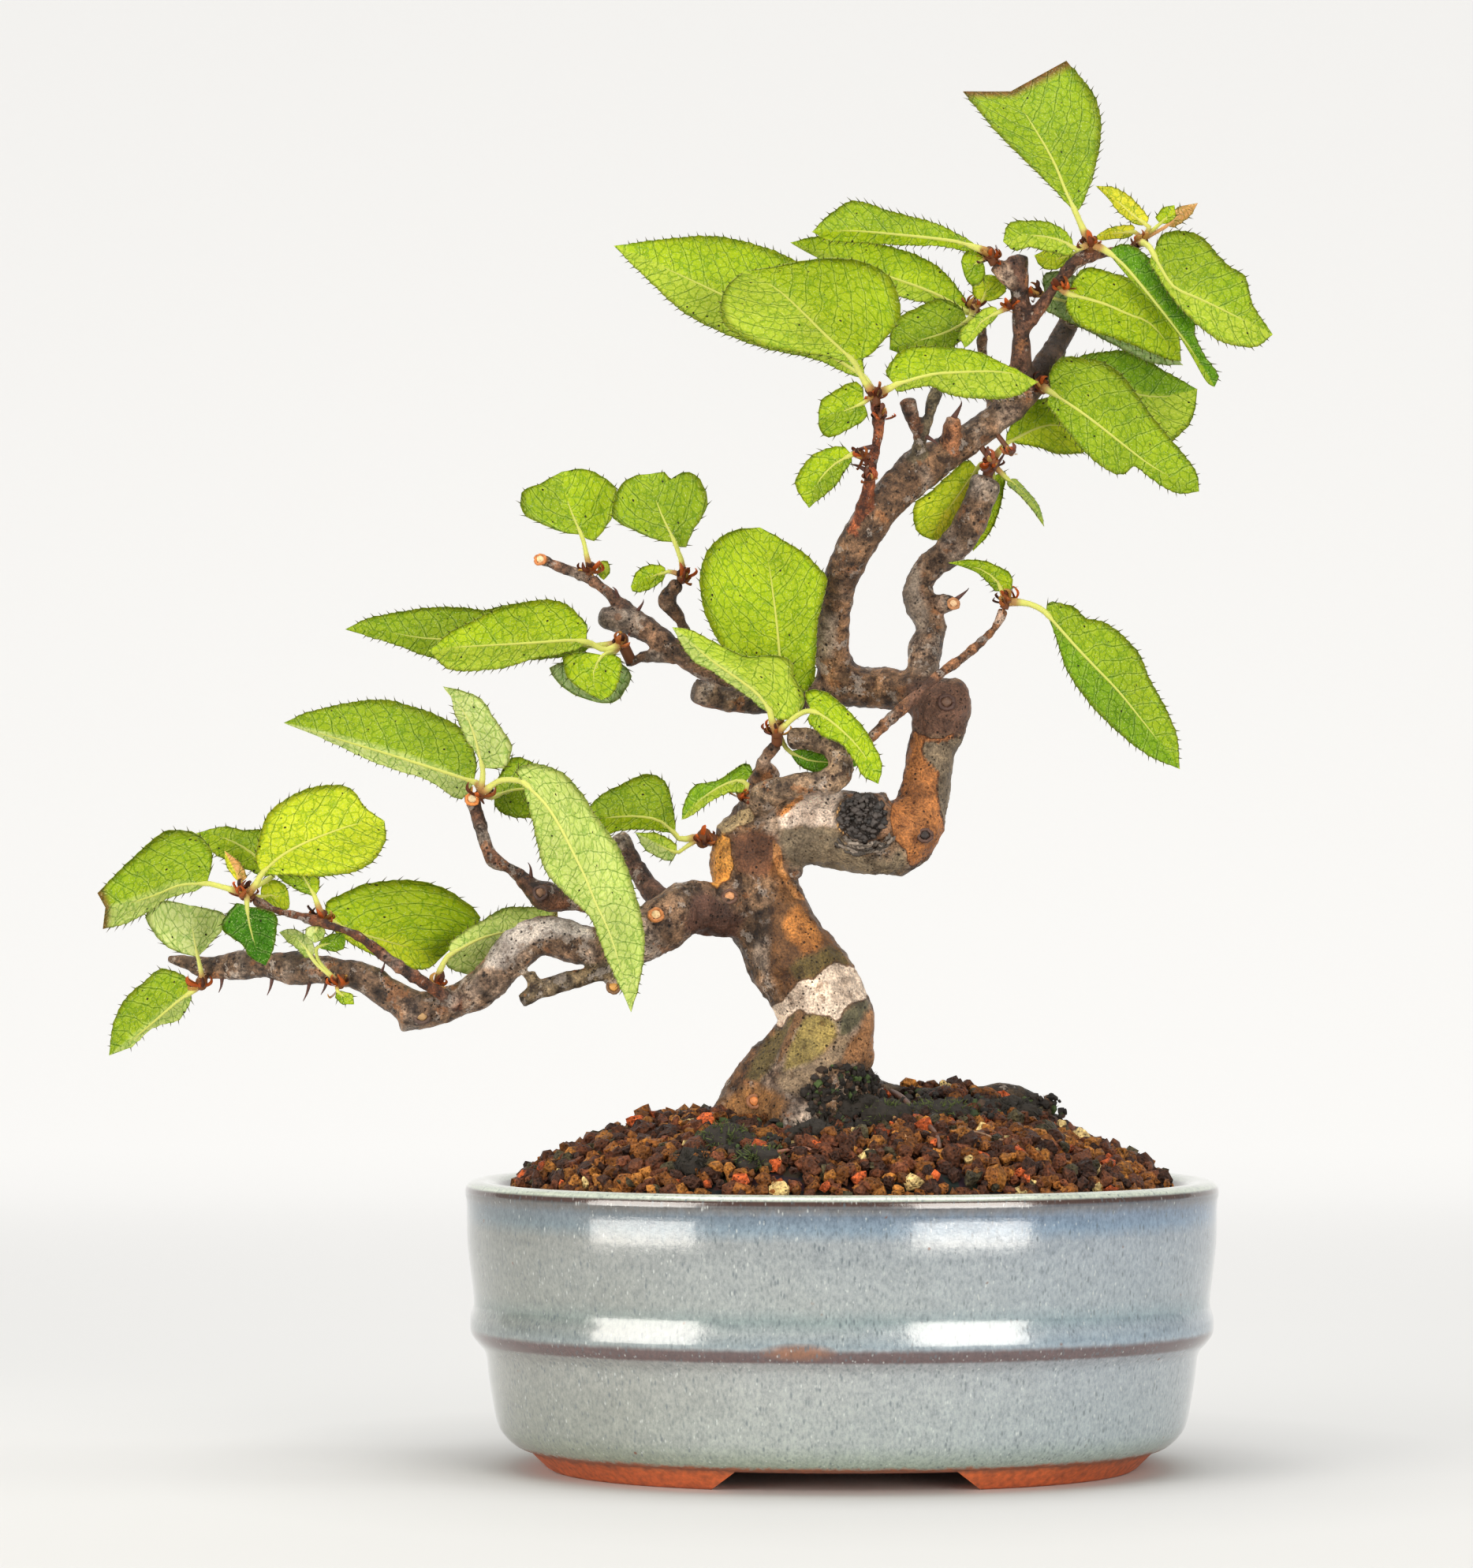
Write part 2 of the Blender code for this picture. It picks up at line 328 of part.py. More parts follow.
             ((-31, 171.6), (-33.8, 177.6), (-35.2, 181.9), (-35.6, 184.4)),
             ((-34.3, 172.2), (-38.5, 173.9), (-42.3, 176.2), (-42.3, 179), (-41.2, 182), (-38.5, 183.9),
              (-35.6, 184.4)),
             ((-29.3, 170.6), (-27.7, 173.9), (-25.8, 176.7), (-25.1, 180), (-27, 184), (-30, 184.6),
              (-31.6, 183), (-33, 184.6), (-35.6, 184.4)),
             (9.4, 10, 16)),
        leaf(((-30, 165.6), (-31.8, 166.2)), ((-32.6, 166), (-35.5, 165.2), (-39.2, 163.4)),
             ((-33.2, 167), (-35.7, 167.3), (-38, 166.1), (-39.2, 163.4)),
             ((-33.2, 164.8), (-35.7, 163), (-38.4, 162.4), (-39.2, 163.4)), (10, 12, 13)),
    )),
    "middle_left": ((-40.9, 153.1, 14.2, 2), (
        leaf(((-41.6, 152.4), (-44.1, 151.6), (-46.6, 152.8)),
             ((-47.6, 153.1), (-50.3, 153.4), (-57.3, 152.9), (-64.4, 152.5), (-71.4, 152.1), (-76.8, 151.4)),
             ((-47.4, 156), (-49.3, 158.3), (-51.7, 160.2), (-55, 160.8), (-60.1, 160.2), (-64.4, 159),
              (-68.6, 156.9), (-72.4, 155.1), (-76.8, 151.4)),
             ((-49, 151.8), (-54, 150.6), (-57.3, 150.1), (-62, 148.5), (-66.7, 147.9), (-72.8, 148),
              (-76.8, 151.4)),
             (13, 10, 2), (0.15, 0.4)),
        leaf(((-42, 152.6), (-45, 152.4)),
             ((-46.6, 152.4), (-60, 153.3), (-74.7, 153.6), (-79.9, 154.1), (-85.5, 155.1), (-92.4, 155.4)),
             ((-49, 155.6), (-55, 159.4), (-61, 160), (-66.7, 158.9), (-70.5, 159.4), (-76.1, 159.4),
              (-80.8, 158.8), (-87.9, 157.4), (-92.4, 155.4)),
             ((-49, 150.8), (-58, 149.8), (-70, 149.6), (-76.6, 150.3), (-83.2, 152.7), (-92.4, 155.4)),
             (14, 14, 20), (0, 0.2)),
        leaf(((-41.8, 152), (-43.4, 151)), ((-44.4, 150.6), (-46, 148), (-46, 145), (-44.6, 142.2)),
             ((-48.5, 151), (-51.7, 150), (-50.8, 146.4), (-48, 144), (-44.6, 142.2)),
             ((-42.4, 150.6), (-41, 149.4), (-41.3, 146.6), (-42.7, 143.4), (-44.6, 142.2)),
             (13, 11, 8)),
        leaf(((-41.4, 152), (-42.4, 151)), ((-43.2, 150.2), (-46, 147.5), (-47, 144), (-45.6, 141.8)),
             ((-48, 150), (-54, 148.4), (-53, 146), (-50, 143.5), (-45.6, 141.8)),
             ((-41, 149), (-39.2, 146.8), (-40.5, 143.8), (-42.5, 141.9), (-45.6, 141.8)),
             (13.6, 13, 11), (0, 0)),
    )),
    "right_twig": ((30.9, 160.9, -1.4, 1.5), (
        leaf(((30.6, 161.2), (30.2, 162)), ((29.9, 162.6), (28.6, 164.9), (25, 167), (19.9, 167.8)),
             ((31.6, 163), (31.5, 165.6), (29.6, 166.9), (26.8, 168), (23.5, 168.3), (19.9, 167.8)),
             ((28.9, 162.6), (27.4, 164.2), (25.4, 165.9), (22.5, 167.1), (19.9, 167.8)),
             (-1.6, -2.4, -8)),
        leaf(((31.4, 160.6), (34.8, 160.2), (37.2, 159.2)),
             ((38.2, 158.4), (43.7, 152.2), (47.5, 148.2), (51.7, 143.8), (55.5, 139.1), (59.2, 134.4),
              (63, 129.4)),
             ((38.8, 160.4), (43.2, 159.5), (45.6, 157.4), (49.8, 156.2), (55, 151.3), (57.6, 145.6),
              (59.7, 141.9), (62.3, 135.8), (63, 129.4)),
             ((38.8, 157), (40.2, 153.6), (42.3, 147.5), (47, 140.9), (52.2, 135.8), (57.3, 132), (63, 129.4)),
             (-1.6, -3, -14)),
    )),
    "right_branch_top": ((27.6, 186.2, 8, 1.8), (
        leaf(((27.2, 186.4), (26.2, 186.2)), ((25.4, 185.4), (22.3, 181), (19, 176.4), (17, 172)),
             ((23.4, 186.8), (20.2, 184.2), (17, 181.2), (13.8, 178.6), (14.1, 173.9), (17, 172)),
             ((25.6, 183.4), (25.2, 181), (23.5, 177.4), (20.6, 172.6), (17, 172)),
             (9.5, 12.4, 15), (0, 0)),
        leaf(((27.9, 186.2), (28.2, 185)), ((28.4, 184), (27.4, 179), (25.6, 174), (24.6, 170)),
             ((30.6, 184.6), (30.1, 180.9), (29.1, 176.7), (27.2, 172.9), (24.6, 170)),
             ((26.8, 183), (25.2, 178), (23.8, 173.4), (24.6, 170)), (10, 13, 14), (0, 0)),
        leaf(((28.4, 186), (30.4, 184)), ((31.2, 183.2), (33.8, 180.9), (36.2, 178.1), (37.8, 174.6)),
             ((32.4, 183.4), (34.6, 181.2), (36.8, 178.3), (37.8, 174.6)),
             ((31, 182.4), (33.2, 180.5), (35.6, 177.8), (37.8, 174.6)), (8, 9, 10), (4, -4)),
        leaf(((28, 186.8), (29.9, 189.2)), ((30.6, 190), (33.2, 191.3), (36.3, 192.8), (40, 193.5), (49, 192)),
             ((31.2, 192.2), (33, 195.4), (36, 198), (42, 198.4), (46.6, 195.6), (49, 192)),
             ((32, 190.2), (37, 189.4), (40, 188.3), (45.3, 188.6), (49, 192)),
             (8.6, 9.6, 13), (0, 0)),
    )),
    "upper_left_twig": ((6.2, 199.2, -10, 1.8), (
        leaf(((5.8, 199.8), (5, 201.4)),
             ((4.4, 202.4), (-5, 208.5), (-13, 213.3), (-21.7, 217.6), (-34.7, 223.7), (-42.4, 227)),
             ((3.6, 207), (0, 214), (-5, 221), (-8.8, 224.2), (-14.9, 226.8), (-23.8, 228.7),
              (-33.3, 228.1), (-38, 227.5), (-42.4, 227)),
             ((2, 202.8), (-4.6, 205.8), (-14.4, 208), (-22.4, 211), (-29.5, 214.8), (-35.6, 220.4),
              (-42.4, 227)),
             (-9, -6, 8), (0.2, 0.3)),
        leaf(((5.8, 199.6), (4.4, 201.6), (3, 204.2)),
             ((2.2, 205.6), (-3.6, 211), (-7.4, 214.8), (-12.1, 219), (-18, 222.3)),
             ((5, 206.4), (8.1, 209.6), (10, 212), (11, 214.8), (9.5, 220.4), (4.8, 223.7), (-2, 224.6),
              (-8.3, 223.9), (-12.6, 223), (-18, 222.3)),
             ((0.6, 205.4), (-2.7, 206.4), (-7.4, 207), (-14.4, 208.2), (-21, 211.6), (-22.4, 215.3),
              (-21.2, 219.4), (-18, 222.3)),
             (-10.5, -13.5, -22), (0.15, 0.2)),
        leaf(((6.8, 199.4), (9.1, 200.4)), ((10, 201), (16.1, 202.8), (20.8, 203.3), (30.1, 203.4), (36.7, 201.5)),
             ((8.5, 203.6), (11.4, 207.3), (15.7, 208.2), (24.6, 207.3), (30.1, 205), (33, 203.7), (36.7, 201.5)),
             ((10.6, 199.8), (16.1, 200.9), (19, 199.8), (22.7, 198.8), (31.5, 198.7), (36.7, 201.5)),
             (-10.5, -12, -9)),
        leaf(((5.6, 198.8), (4.8, 198.2)), ((4.2, 197.7), (1, 196.3), (-4.2, 194.8)),
             ((3.8, 200.6), (2, 201.4), (-1.3, 199.7), (-3.6, 197.9), (-4.2, 194.8)),
             ((4.6, 195), (1.1, 192.7), (-2, 191.3), (-3.8, 192.6), (-4.2, 194.8)), (-10.5, -11.5, -14)),
    )),
    "upper_left_side": ((3.8, 187.9, -8.8, 1.3), (
        leaf(((3.4, 188), (2.6, 188.2)), ((2, 188), (-1.5, 186), (-4.5, 182.5), (-6, 178)),
             ((0.1, 189.4), (-3.6, 188.7), (-6.4, 186.6), (-8.4, 182.6), (-6, 178)),
             ((1.8, 186.8), (0.4, 184.6), (-1.4, 182), (-4.1, 179.8), (-6, 178)), (-9, -9.4, -11.5)),
    )),
    "upper_middle": ((24.9, 215.8, 6.6, 1.5), (
        leaf(((24.8, 215.4), (24.2, 214.8)), ((23.4, 214.6), (19.4, 217.1), (15.2, 219), (9, 221.2), (-9.5, 227.6)),
             ((23.4, 216.4), (21.3, 219.5), (18, 223), (12.4, 225.8), (4, 227.8), (-4, 228.6), (-9.5, 227.6)),
             ((21, 215.6), (17.5, 216.4), (13.8, 216.8), (8, 218.6), (2, 221.6), (-6, 225.6), (-9.5, 227.6)),
             (6, 5, 9), (0.1, 0.1)),
        leaf(((24.6, 215), (24.2, 213.8)), ((23.6, 213), (20, 211), (15, 209.4), (9, 207.6)),
             ((22, 215.6), (18.5, 217), (14.3, 215.4), (10, 212.6), (9, 207.6)),
             ((23.4, 210.8), (20, 207.6), (14, 206.2), (9, 207.6)), (5, 3, 0)),
        leaf(((25.2, 216), (26, 216.4)), ((26.4, 216.8), (27, 218.6), (28, 221.6)),
             ((25, 217.4), (24.6, 219.4), (25.4, 221.2), (28, 221.6)),
             ((28, 216.8), (30.4, 218.2), (30.4, 220.4), (28, 221.6)), (6, 5, 4), (0, 0)),
    )),
    "stub_side": ((31, 215.6, -1.6, 1.1), (
        leaf(((30.7, 215.4), (30, 214.9)), ((29.4, 214.6), (26, 212.6), (23, 207.9)),
             ((28.6, 215.4), (26.4, 214.9), (22.4, 211), (23, 207.9)),
             ((29, 213.6), (26.6, 211.6), (24.2, 208.8), (23, 207.9)), (-2, -3, -5)),
    )),
    "stub_back": ((36, 218.2, 0.4, 1.2), (
        leaf(((36.4, 218.2), (37.2, 218)), ((38, 217.6), (44, 215.8), (52, 211.5), (63.7, 204.7)),
             ((38, 221.6), (42, 221.8), (48, 219), (56, 213), (63.7, 204.7)),
             ((37.6, 215.4), (41, 213.6), (46, 211.2), (52, 208), (58, 205.2), (63.7, 204.7)),
             (0.6, 1.6, 4), (0, 0)),
    )),
    "stub_twig": ((41, 219.4, -3.6, 1.1), (
        leaf(((41.2, 219.2), (41.8, 218.4)), ((42.4, 218), (48.7, 216.3), (53.6, 214.2), (58, 212.2), (63.4, 205.4)),
             ((43.4, 220.4), (45.7, 222.8), (51.3, 221.6), (56.9, 219.4), (60, 216.1), (62.6, 211), (63.4, 205.4)),
             ((42, 216.2), (42.8, 213.9), (45.7, 211.6), (53.2, 209), (60.7, 206), (63.4, 205.4)),
             (-3.8, -3.4, -2), (0, 0.2)),
    )),
    "stub_head": ((27.7, 225.4, -3.6, 1.8), (
        leaf(((27.2, 225.8), (25.9, 226.4)), ((25, 226.7), (20.8, 227.9), (11.4, 229), (2, 229.8), (-5.4, 229.6)),
             ((24.6, 227.6), (20.4, 229.8), (17.1, 231.3), (9.1, 233.4), (2.5, 235.3), (-2, 232.8), (-5.4, 229.6)),
             ((23.6, 226), (18.5, 227), (11.4, 227.2), (4, 227.6), (-2, 228), (-5.4, 229.6)),
             (-4, -5, -10), (0.3, 0.5)),
        leaf(((27.3, 225), (26.8, 224.6)), ((26.4, 224.3), (24.8, 223.5), (22.6, 222.8)),
             ((26.4, 226.8), (24.2, 226.4), (22.6, 224.8), (22.6, 222.8)),
             ((26.8, 222), (26, 219.9), (23.9, 219.9), (22.6, 222.8)), (-3, -2, -1), (0, 0)),
    )),
    "top": ((46.4, 227.4, -5.2, 1.8), (
        leaf(((46.1, 228), (45, 230.4), (44.2, 232.2)),
             ((43.7, 233.4), (41.8, 237.5), (39.9, 242.2), (37.1, 247.3), (31.7, 255.8)),
             ((42.6, 234.4), (39.9, 237.5), (36.2, 241.2), (29.6, 247.8), (26.8, 251.1), (22.8, 255.8)),
             ((44.6, 234), (45.6, 236.5), (47, 240.3), (48.4, 248.3), (47.2, 254.9), (42.1, 261.6)),
             (-5.4, -6, 4), (0.25, 0.25)),
        leaf(((45.6, 227), (44.2, 226.4)), ((43.4, 226.6), (41.2, 227.9), (37.3, 228.8), (33.5, 228.8), (30.2, 227.8)),
             ((43, 228), (41.4, 230), (38.6, 231.3), (34.7, 231.6), (31.3, 231), (30.2, 227.8)),
             ((42.4, 225.2), (38.6, 226), (35, 226.8), (32.4, 226.2), (30.2, 227.8)),
             (-6, -7, -9)),
        leaf(((45.8, 226.8), (44.4, 226)), ((43.6, 225.6), (40, 224.4), (36, 225.2)),
             ((42.6, 226.4), (39, 226.4), (36, 225.2)), ((42.6, 224.2), (39.9, 222.6), (37.4, 223.2), (36, 225.2)),
             (-3, 0, 1.4), (0, 0)),
        leaf(((47.2, 227.2), (48.8, 226.4)),
             ((49.8, 225.8), (52.5, 223.6), (56, 219.6), (60.5, 214), (65, 208), (67.5, 204), (69.6, 200.6)),
             ((51.4, 227), (54, 227), (57, 225), (60.9, 221.3), (62.3, 218), (65.7, 214), (66, 210),
              (68, 206), (70.2, 202.8), (69.6, 200.6)),
             ((50.6, 224.7), (54, 220.6), (58, 216.4), (62.4, 211), (65, 207), (68, 201.8), (69.6, 200.6)),
             (-5.6, -5.6, -12)),
    )),
    "apex": ((55.8, 227.9, -2, 1.6), (
        leaf(((56.2, 227.6), (57.4, 226.9)),
             ((58.2, 225.6), (59.8, 222.6), (62.2, 219.2), (67, 217), (72, 214.6), (80.5, 210.4)),
             ((60.2, 229.2), (64.9, 229.5), (67.7, 228.1), (71.9, 223.4), (75.2, 221.2), (76.9, 215.6),
              (80.5, 210.4)),
             ((57.6, 223.9), (59.4, 221), (61.6, 217.6), (65.8, 213), (71, 209.2), (77, 208.2), (80.5, 210.4)),
             (-4, -9.5, -16), (0.2, 0.1)),
        leaf(((56, 228.4), (57.6, 230)), ((56.8, 231), (54.6, 232.6), (51.5, 235.3), (47.5, 238.2)),
             ((57.2, 232.2), (54.6, 235.4), (51, 237.8), (47.5, 238.2)),
             ((55.4, 230.9), (52.5, 232.8), (49.5, 236.2), (47.5, 238.2)), (-1.6, -2, 0)),
        leaf(((55.6, 228.8), (55, 229.4)), ((54.6, 229.6), (50.5, 229.2), (47.3, 228.4)),
             ((54.4, 230.7), (51, 230.5), (48.5, 229.5), (47.3, 228.4)),
             ((54, 228.7), (51, 228.3), (48.5, 228), (47.3, 228.4)), (-1, 0, 1.4)),
        leaf(((56.4, 228.6), (59, 230.6)), ((59.6, 231.2), (61, 232.6), (62.2, 234.6)),
             ((58.8, 232.2), (60.2, 234), (62.2, 234.6)), ((60.9, 231.2), (62.3, 232.6), (62.2, 234.6)),
             (-1.6, -2, -3)),
        leaf(((56.6, 228.4), (60, 230.2)), ((60.8, 230.8), (63.4, 233), (66.6, 235)),
             ((60.6, 232), (63.2, 234.2), (66.6, 235)), ((62, 230.6), (65, 232.6), (66.6, 235)),
             (-1.4, -1, 1)),
    )),
    "trunk_right": ((37.8, 200.6, 1, 1.7), (
        leaf(((37.9, 200.4), (38.6, 200)),
             ((39.2, 199.6), (43.8, 196.6), (47.5, 193.9), (51.3, 190.9), (55.1, 187.9), (58.8, 185.3), (66.7, 181.1)),
             ((38.9, 203), (41.2, 206), (46, 205.8), (49.8, 204.7), (53.2, 201.8), (58, 195), (62.2, 189.8),
              (66, 184.9), (66.7, 181.1)),
             ((38.4, 197.6), (40.6, 194.6), (43, 191.4), (45.4, 188.6), (49.8, 185.1), (52.8, 184.5),
              (54.8, 185.9), (58.1, 183.4), (62.6, 180.9), (66.7, 181.1)),
             (0, -1, -14), (0.15, 0.2)),
        leaf(((38.4, 201), (40.2, 202)), ((41.2, 202.2), (48, 201.5), (56.2, 199), (62, 199), (66.4, 200.2)),
             ((42.6, 205), (46, 206.6), (52.8, 207.3), (56.9, 205.6), (60.7, 203.3), (66.4, 200.2)),
             ((43, 199.5), (48, 195.5), (54, 191.5), (59.5, 189.6), (64.1, 192.8), (65.8, 196.2), (66.4, 200.2)),
             (2, 5, 10), (0.2, 0.2)),
    )),
}


def material(name, colour, roughness):
    """A Principled material with a plain colour."""
    made = bpy.data.materials.new(name)
    made.use_nodes = True
    shader = made.node_tree.nodes["Principled BSDF"]
    shader.inputs["Base Color"].default_value = (*colour, 1.0)
    shader.inputs["Roughness"].default_value = roughness
    shader.inputs["Metallic"].default_value = 0.0
    return made


def add_object(name, points, faces, look=None):
    """A mesh object from points in millimetres; quads and longer faces become triangles."""
    mesh = bpy.data.meshes.new(name)
    mesh.from_pydata([tuple(c * MM for c in p) for p in points], [], faces)
    work = bmesh.new()
    work.from_mesh(mesh)
    bmesh.ops.triangulate(work, faces=[f for f in work.faces if len(f.verts) > 3],
                          quad_method="FIXED")
    work.to_mesh(mesh)
    work.free()
    thing = bpy.data.objects.new(name, mesh)
    bpy.context.scene.collection.objects.link(thing)
    if look:
        mesh.materials.append(look)
    return thing


def seen(gx, gz, y):
    """The real place of a point that shows at gx, gz and lies y behind the middle plane."""
    stretch = (EYE_DISTANCE + y) / EYE_DISTANCE
    return np.array((EYE_X + (gx - EYE_X) * stretch, y, EYE_Z + (gz - EYE_Z) * stretch))


def smooth_run(points, count):
    """count points evenly spaced along a Catmull-Rom curve through the given points."""
    knots = np.array(points, dtype=float)
    padded = np.vstack((2 * knots[0] - knots[1], knots, 2 * knots[-1] - knots[-2]))
    dense = []
    for i in range(len(knots) - 1):
        a, b, c, d = padded[i:i + 4]
        for t in np.linspace(0, 1, 12, endpoint=False):
            dense.append(0.5 * (2 * b + (c - a) * t + (2 * a - 5 * b + 4 * c - d) * t * t
                                + (3 * b - a - 3 * c + d) * t ** 3))
    dense.append(knots[-1])
    dense = np.array(dense)
    reach = np.concatenate(([0], np.cumsum(np.linalg.norm(np.diff(dense, axis=0), axis=1))))
    wanted = np.linspace(0, reach[-1], count)
    return np.stack([np.interp(wanted, reach, dense[:, k]) for k in range(dense.shape[1])], axis=1)


def unit(vector):
    return vector / max(np.linalg.norm(vector), 1e-9)


def apply_modifiers(thing):
    """Turns an object's modifiers into its mesh."""
    shaped = thing.evaluated_get(bpy.context.evaluated_depsgraph_get())
    mesh = bpy.data.meshes.new_from_object(shaped)
    thing.modifiers.clear()
    thing.data = mesh


def combine(thing, others, operation, solver="EXACT"):
    """Joins or cuts thing with every object in others, and removes them."""
    group = bpy.data.collections.new(thing.name + "_" + operation.lower())
    bpy.context.scene.collection.children.link(group)
    for other in others:
        bpy.context.scene.collection.objects.unlink(other)
        group.objects.link(other)
    cut = thing.modifiers.new(operation.title(), "BOOLEAN")
    cut.operation = operation
    cut.operand_type = "COLLECTION"
    cut.collection = group
    cut.solver = solver
    bpy.context.view_layer.update()
    apply_modifiers(thing)
    for other in others:
        bpy.data.objects.remove(other)
    bpy.data.collections.remove(group)
    return thing


def keep_largest_body(thing):
    """Drops loose scraps and sealed hollows, leaving the body with the most corners."""
    work = bmesh.new()
    work.from_mesh(thing.data)
    bmesh.ops.remove_doubles(work, verts=work.verts, dist=0.000002)
    bmesh.ops.dissolve_degenerate(work, edges=work.edges, dist=0.000001)
    bmesh.ops.triangulate(work, faces=work.faces)
    left = set(work.verts)
    bodies = []
    while left:
        stack = [left.pop()]
        body = set(stack)
        while stack:
            for edge in stack.pop().link_edges:
                for vert in edge.verts:
                    if vert in left:
                        left.remove(vert)
                        body.add(vert)
                        stack.append(vert)
        bodies.append(body)
    bodies.sort(key=len)
    for body in bodies[:-1]:
        bmesh.ops.delete(work, geom=list(body), context="VERTS")
    work.to_mesh(thing.data)
    work.free()
    return thing


def oval_ring(half_length, z, steps, squareness=POT_SQUARENESS, offset=0.0):
    """One level of the pot: a super-ellipse, offset millimetres inside the given size."""
    ring = []
    for i in range(steps):
        angle = 2 * math.pi * i / steps
        across, along = math.cos(angle), math.sin(angle)
        power = 2 / squareness
        x = (half_length - offset) * math.copysign(abs(across) ** power, across)
        y = (half_length * ARCH_RATIO - offset) * math.copysign(abs(along) ** power, along)
        ring.append((x, y, z))
    return ring


def loft(name, rings, look=None):
    """A closed solid through rings with the same number of points, capped at both ends."""
    steps = len(rings[0])
    points = [p for ring in rings for p in ring]
    faces = []
    for level in range(len(rings) - 1):
        low = level * steps
        high = low + steps
        for i in range(steps):
            j = (i + 1) % steps
            faces.append((low + i, low + j, high + j, high + i))
    faces.append(tuple(reversed(range(steps))))
    faces.append(tuple(range(len(points) - steps, len(points))))
    return add_object(name, points, faces, look)


def cylinder(name, x, y, z_low, z_high, radius, steps=20):
    rings = []
    for z in (z_low, z_high):
        rings.append([(x + radius * math.cos(2 * math.pi * i / steps),
                       y + radius * math.sin(2 * math.pi * i / steps), z) for i in range(steps)])
    return loft(name, rings)


def pot(look):
    """The oval pot: turned-in foot line, ridge, rolled rim, floor and two drainage holes."""
    rings = [oval_ring(half, z, POT_STEPS) for half, z in POT_OUTSIDE + POT_INSIDE]
    body = loft("pot", rings, look)
    foot = loft("foot", [oval_ring(FOOT_OUTER_GROUND, 0, POT_STEPS),
                         oval_ring(FOOT_OUTER_TOP, FOOT_HEIGHT + 0.5, POT_STEPS)])
    inner = loft("foot_inside", [oval_ring(FOOT_INNER, -1, POT_STEPS),
                                 oval_ring(FOOT_INNER, FOOT_HEIGHT + 2, POT_STEPS)])
    rise = (FOOT_ARCH_GROUND - FOOT_ARCH_TOP) / FOOT_HEIGHT
    low, high = FOOT_ARCH_GROUND + rise, FOOT_ARCH_TOP - 2 * rise
    arch = loft("foot_arch", [
        [(low, -POT_DEPTH, -1), (low, POT_DEPTH, -1), (-low, POT_DEPTH, -1), (-low, -POT_DEPTH, -1)],
        [(high, -POT_DEPTH, FOOT_HEIGHT + 2), (high, POT_DEPTH, FOOT_HEIGHT + 2),
         (-high, POT_DEPTH, FOOT_HEIGHT + 2), (-high, -POT_DEPTH, FOOT_HEIGHT + 2)]])
    combine(foot, [inner, arch], "DIFFERENCE", "MANIFOLD")
    combine(body, [foot], "UNION", "MANIFOLD")
    holes = [cylinder("hole", side * HOLE_OFFSET, 0, -1, POT_HEIGHT / 2, HOLE_RADIUS) for side in (-1, 1)]
    return combine(body, holes, "DIFFERENCE", "MANIFOLD")


def screen(name, x, look):
    """A square of plastic mesh over a drainage hole, with four wide openings."""
    cells = 5
    pitch = SCREEN_SIZE / cells
    base = POT_FLOOR_TOP + GAP
    points = []
    for z in (base, base + SCREEN_THICKNESS):
        for row in range(cells + 1):
            for column in range(cells + 1):
                points.append((x - SCREEN_SIZE / 2 + column * pitch, -SCREEN_SIZE / 2 + row * pitch, z))
    layer = (cells + 1) ** 2
    solid = {(r, c) for r in range(cells) for c in range(cells) if not (r % 2 and c % 2)}
    faces = []
    for r, c in sorted(solid):
        a = r * (cells + 1) + c
        b, d = a + 1, a + cells + 1
        e = d + 1
        faces.append((a, d, e, b))
        faces.append((a + layer, b + layer, e + layer, d + layer))
        for step, (first, second) in (((-1, 0), (a, b)), ((1, 0), (e, d)), ((0, -1), (d, a)), ((0, 1), (b, e))):
            if (r + step[0], c + step[1]) not in solid:
                faces.append((first, second, second + layer, first + layer))
    return add_object(name, points, faces, look)


def soil_height(x, y, share):
    """Top of the soil: a dome that drops steeply to the wall, with a hill behind the trunk."""
    dome = 16.5 * max(0.0, 1 - share * share) ** 0.7
    hill = 5.0 * math.exp(-((x - 22) ** 2 + (y - 12) ** 2) / 220)
    foot = 3.0 * math.exp(-((x + 8) ** 2 + (y - 2) ** 2) / 300)
    heap = 2.0 * math.exp(-((x + 37) ** 2 + (y - 4) ** 2) / 40)
    return SOIL_EDGE + dome + hill + foot + heap


def soil(look):
    """The soil: fills the pot 0.3 mm clear of it, with grains as relief on its mound."""
    draw = random.Random(7)
    inset = GAP + 0.25
    rings = [oval_ring(half, z, SOIL_STEPS, offset=inset) for half, z in SOIL_SIDE]
    for level in range(SOIL_RINGS):
        share = 1 - level / SOIL_RINGS
        ring = []
        for x, y, _ in oval_ring(SOIL_HALF_LENGTH * share, 0, SOIL_STEPS, offset=inset * share):
            rough = draw.uniform(-0.9, 0.9) if level else 0.0
            slide = draw.uniform(-0.7, 0.7) * share if level else 0.0
            ring.append((x + slide, y - slide, soil_height(x, y, share) + rough))
        rings.append(ring)
    body = loft("soil", rings, look)
    seats = []
    for x in (-HOLE_OFFSET, HOLE_OFFSET):
        half = SCREEN_SIZE / 2 + GAP
        top = POT_FLOOR_TOP + GAP + SCREEN_THICKNESS + GAP
        square = [(x - half, -half), (x + half, -half), (x + half, half), (x - half, half)]
        seats.append(loft("seat", [[(a, b, 0) for a, b in square], [(a, b, top) for a, b in square]]))
    combine(body, seats, "DIFFERENCE")
    roots = [limb("hole_" + name, LIMBS[name], GAP) for name in ROOTS]
    hole = combine(roots[0], roots[1:], "UNION", "MANIFOLD")
    return keep_largest_body(combine(body, [hole], "DIFFERENCE", "MANIFOLD"))


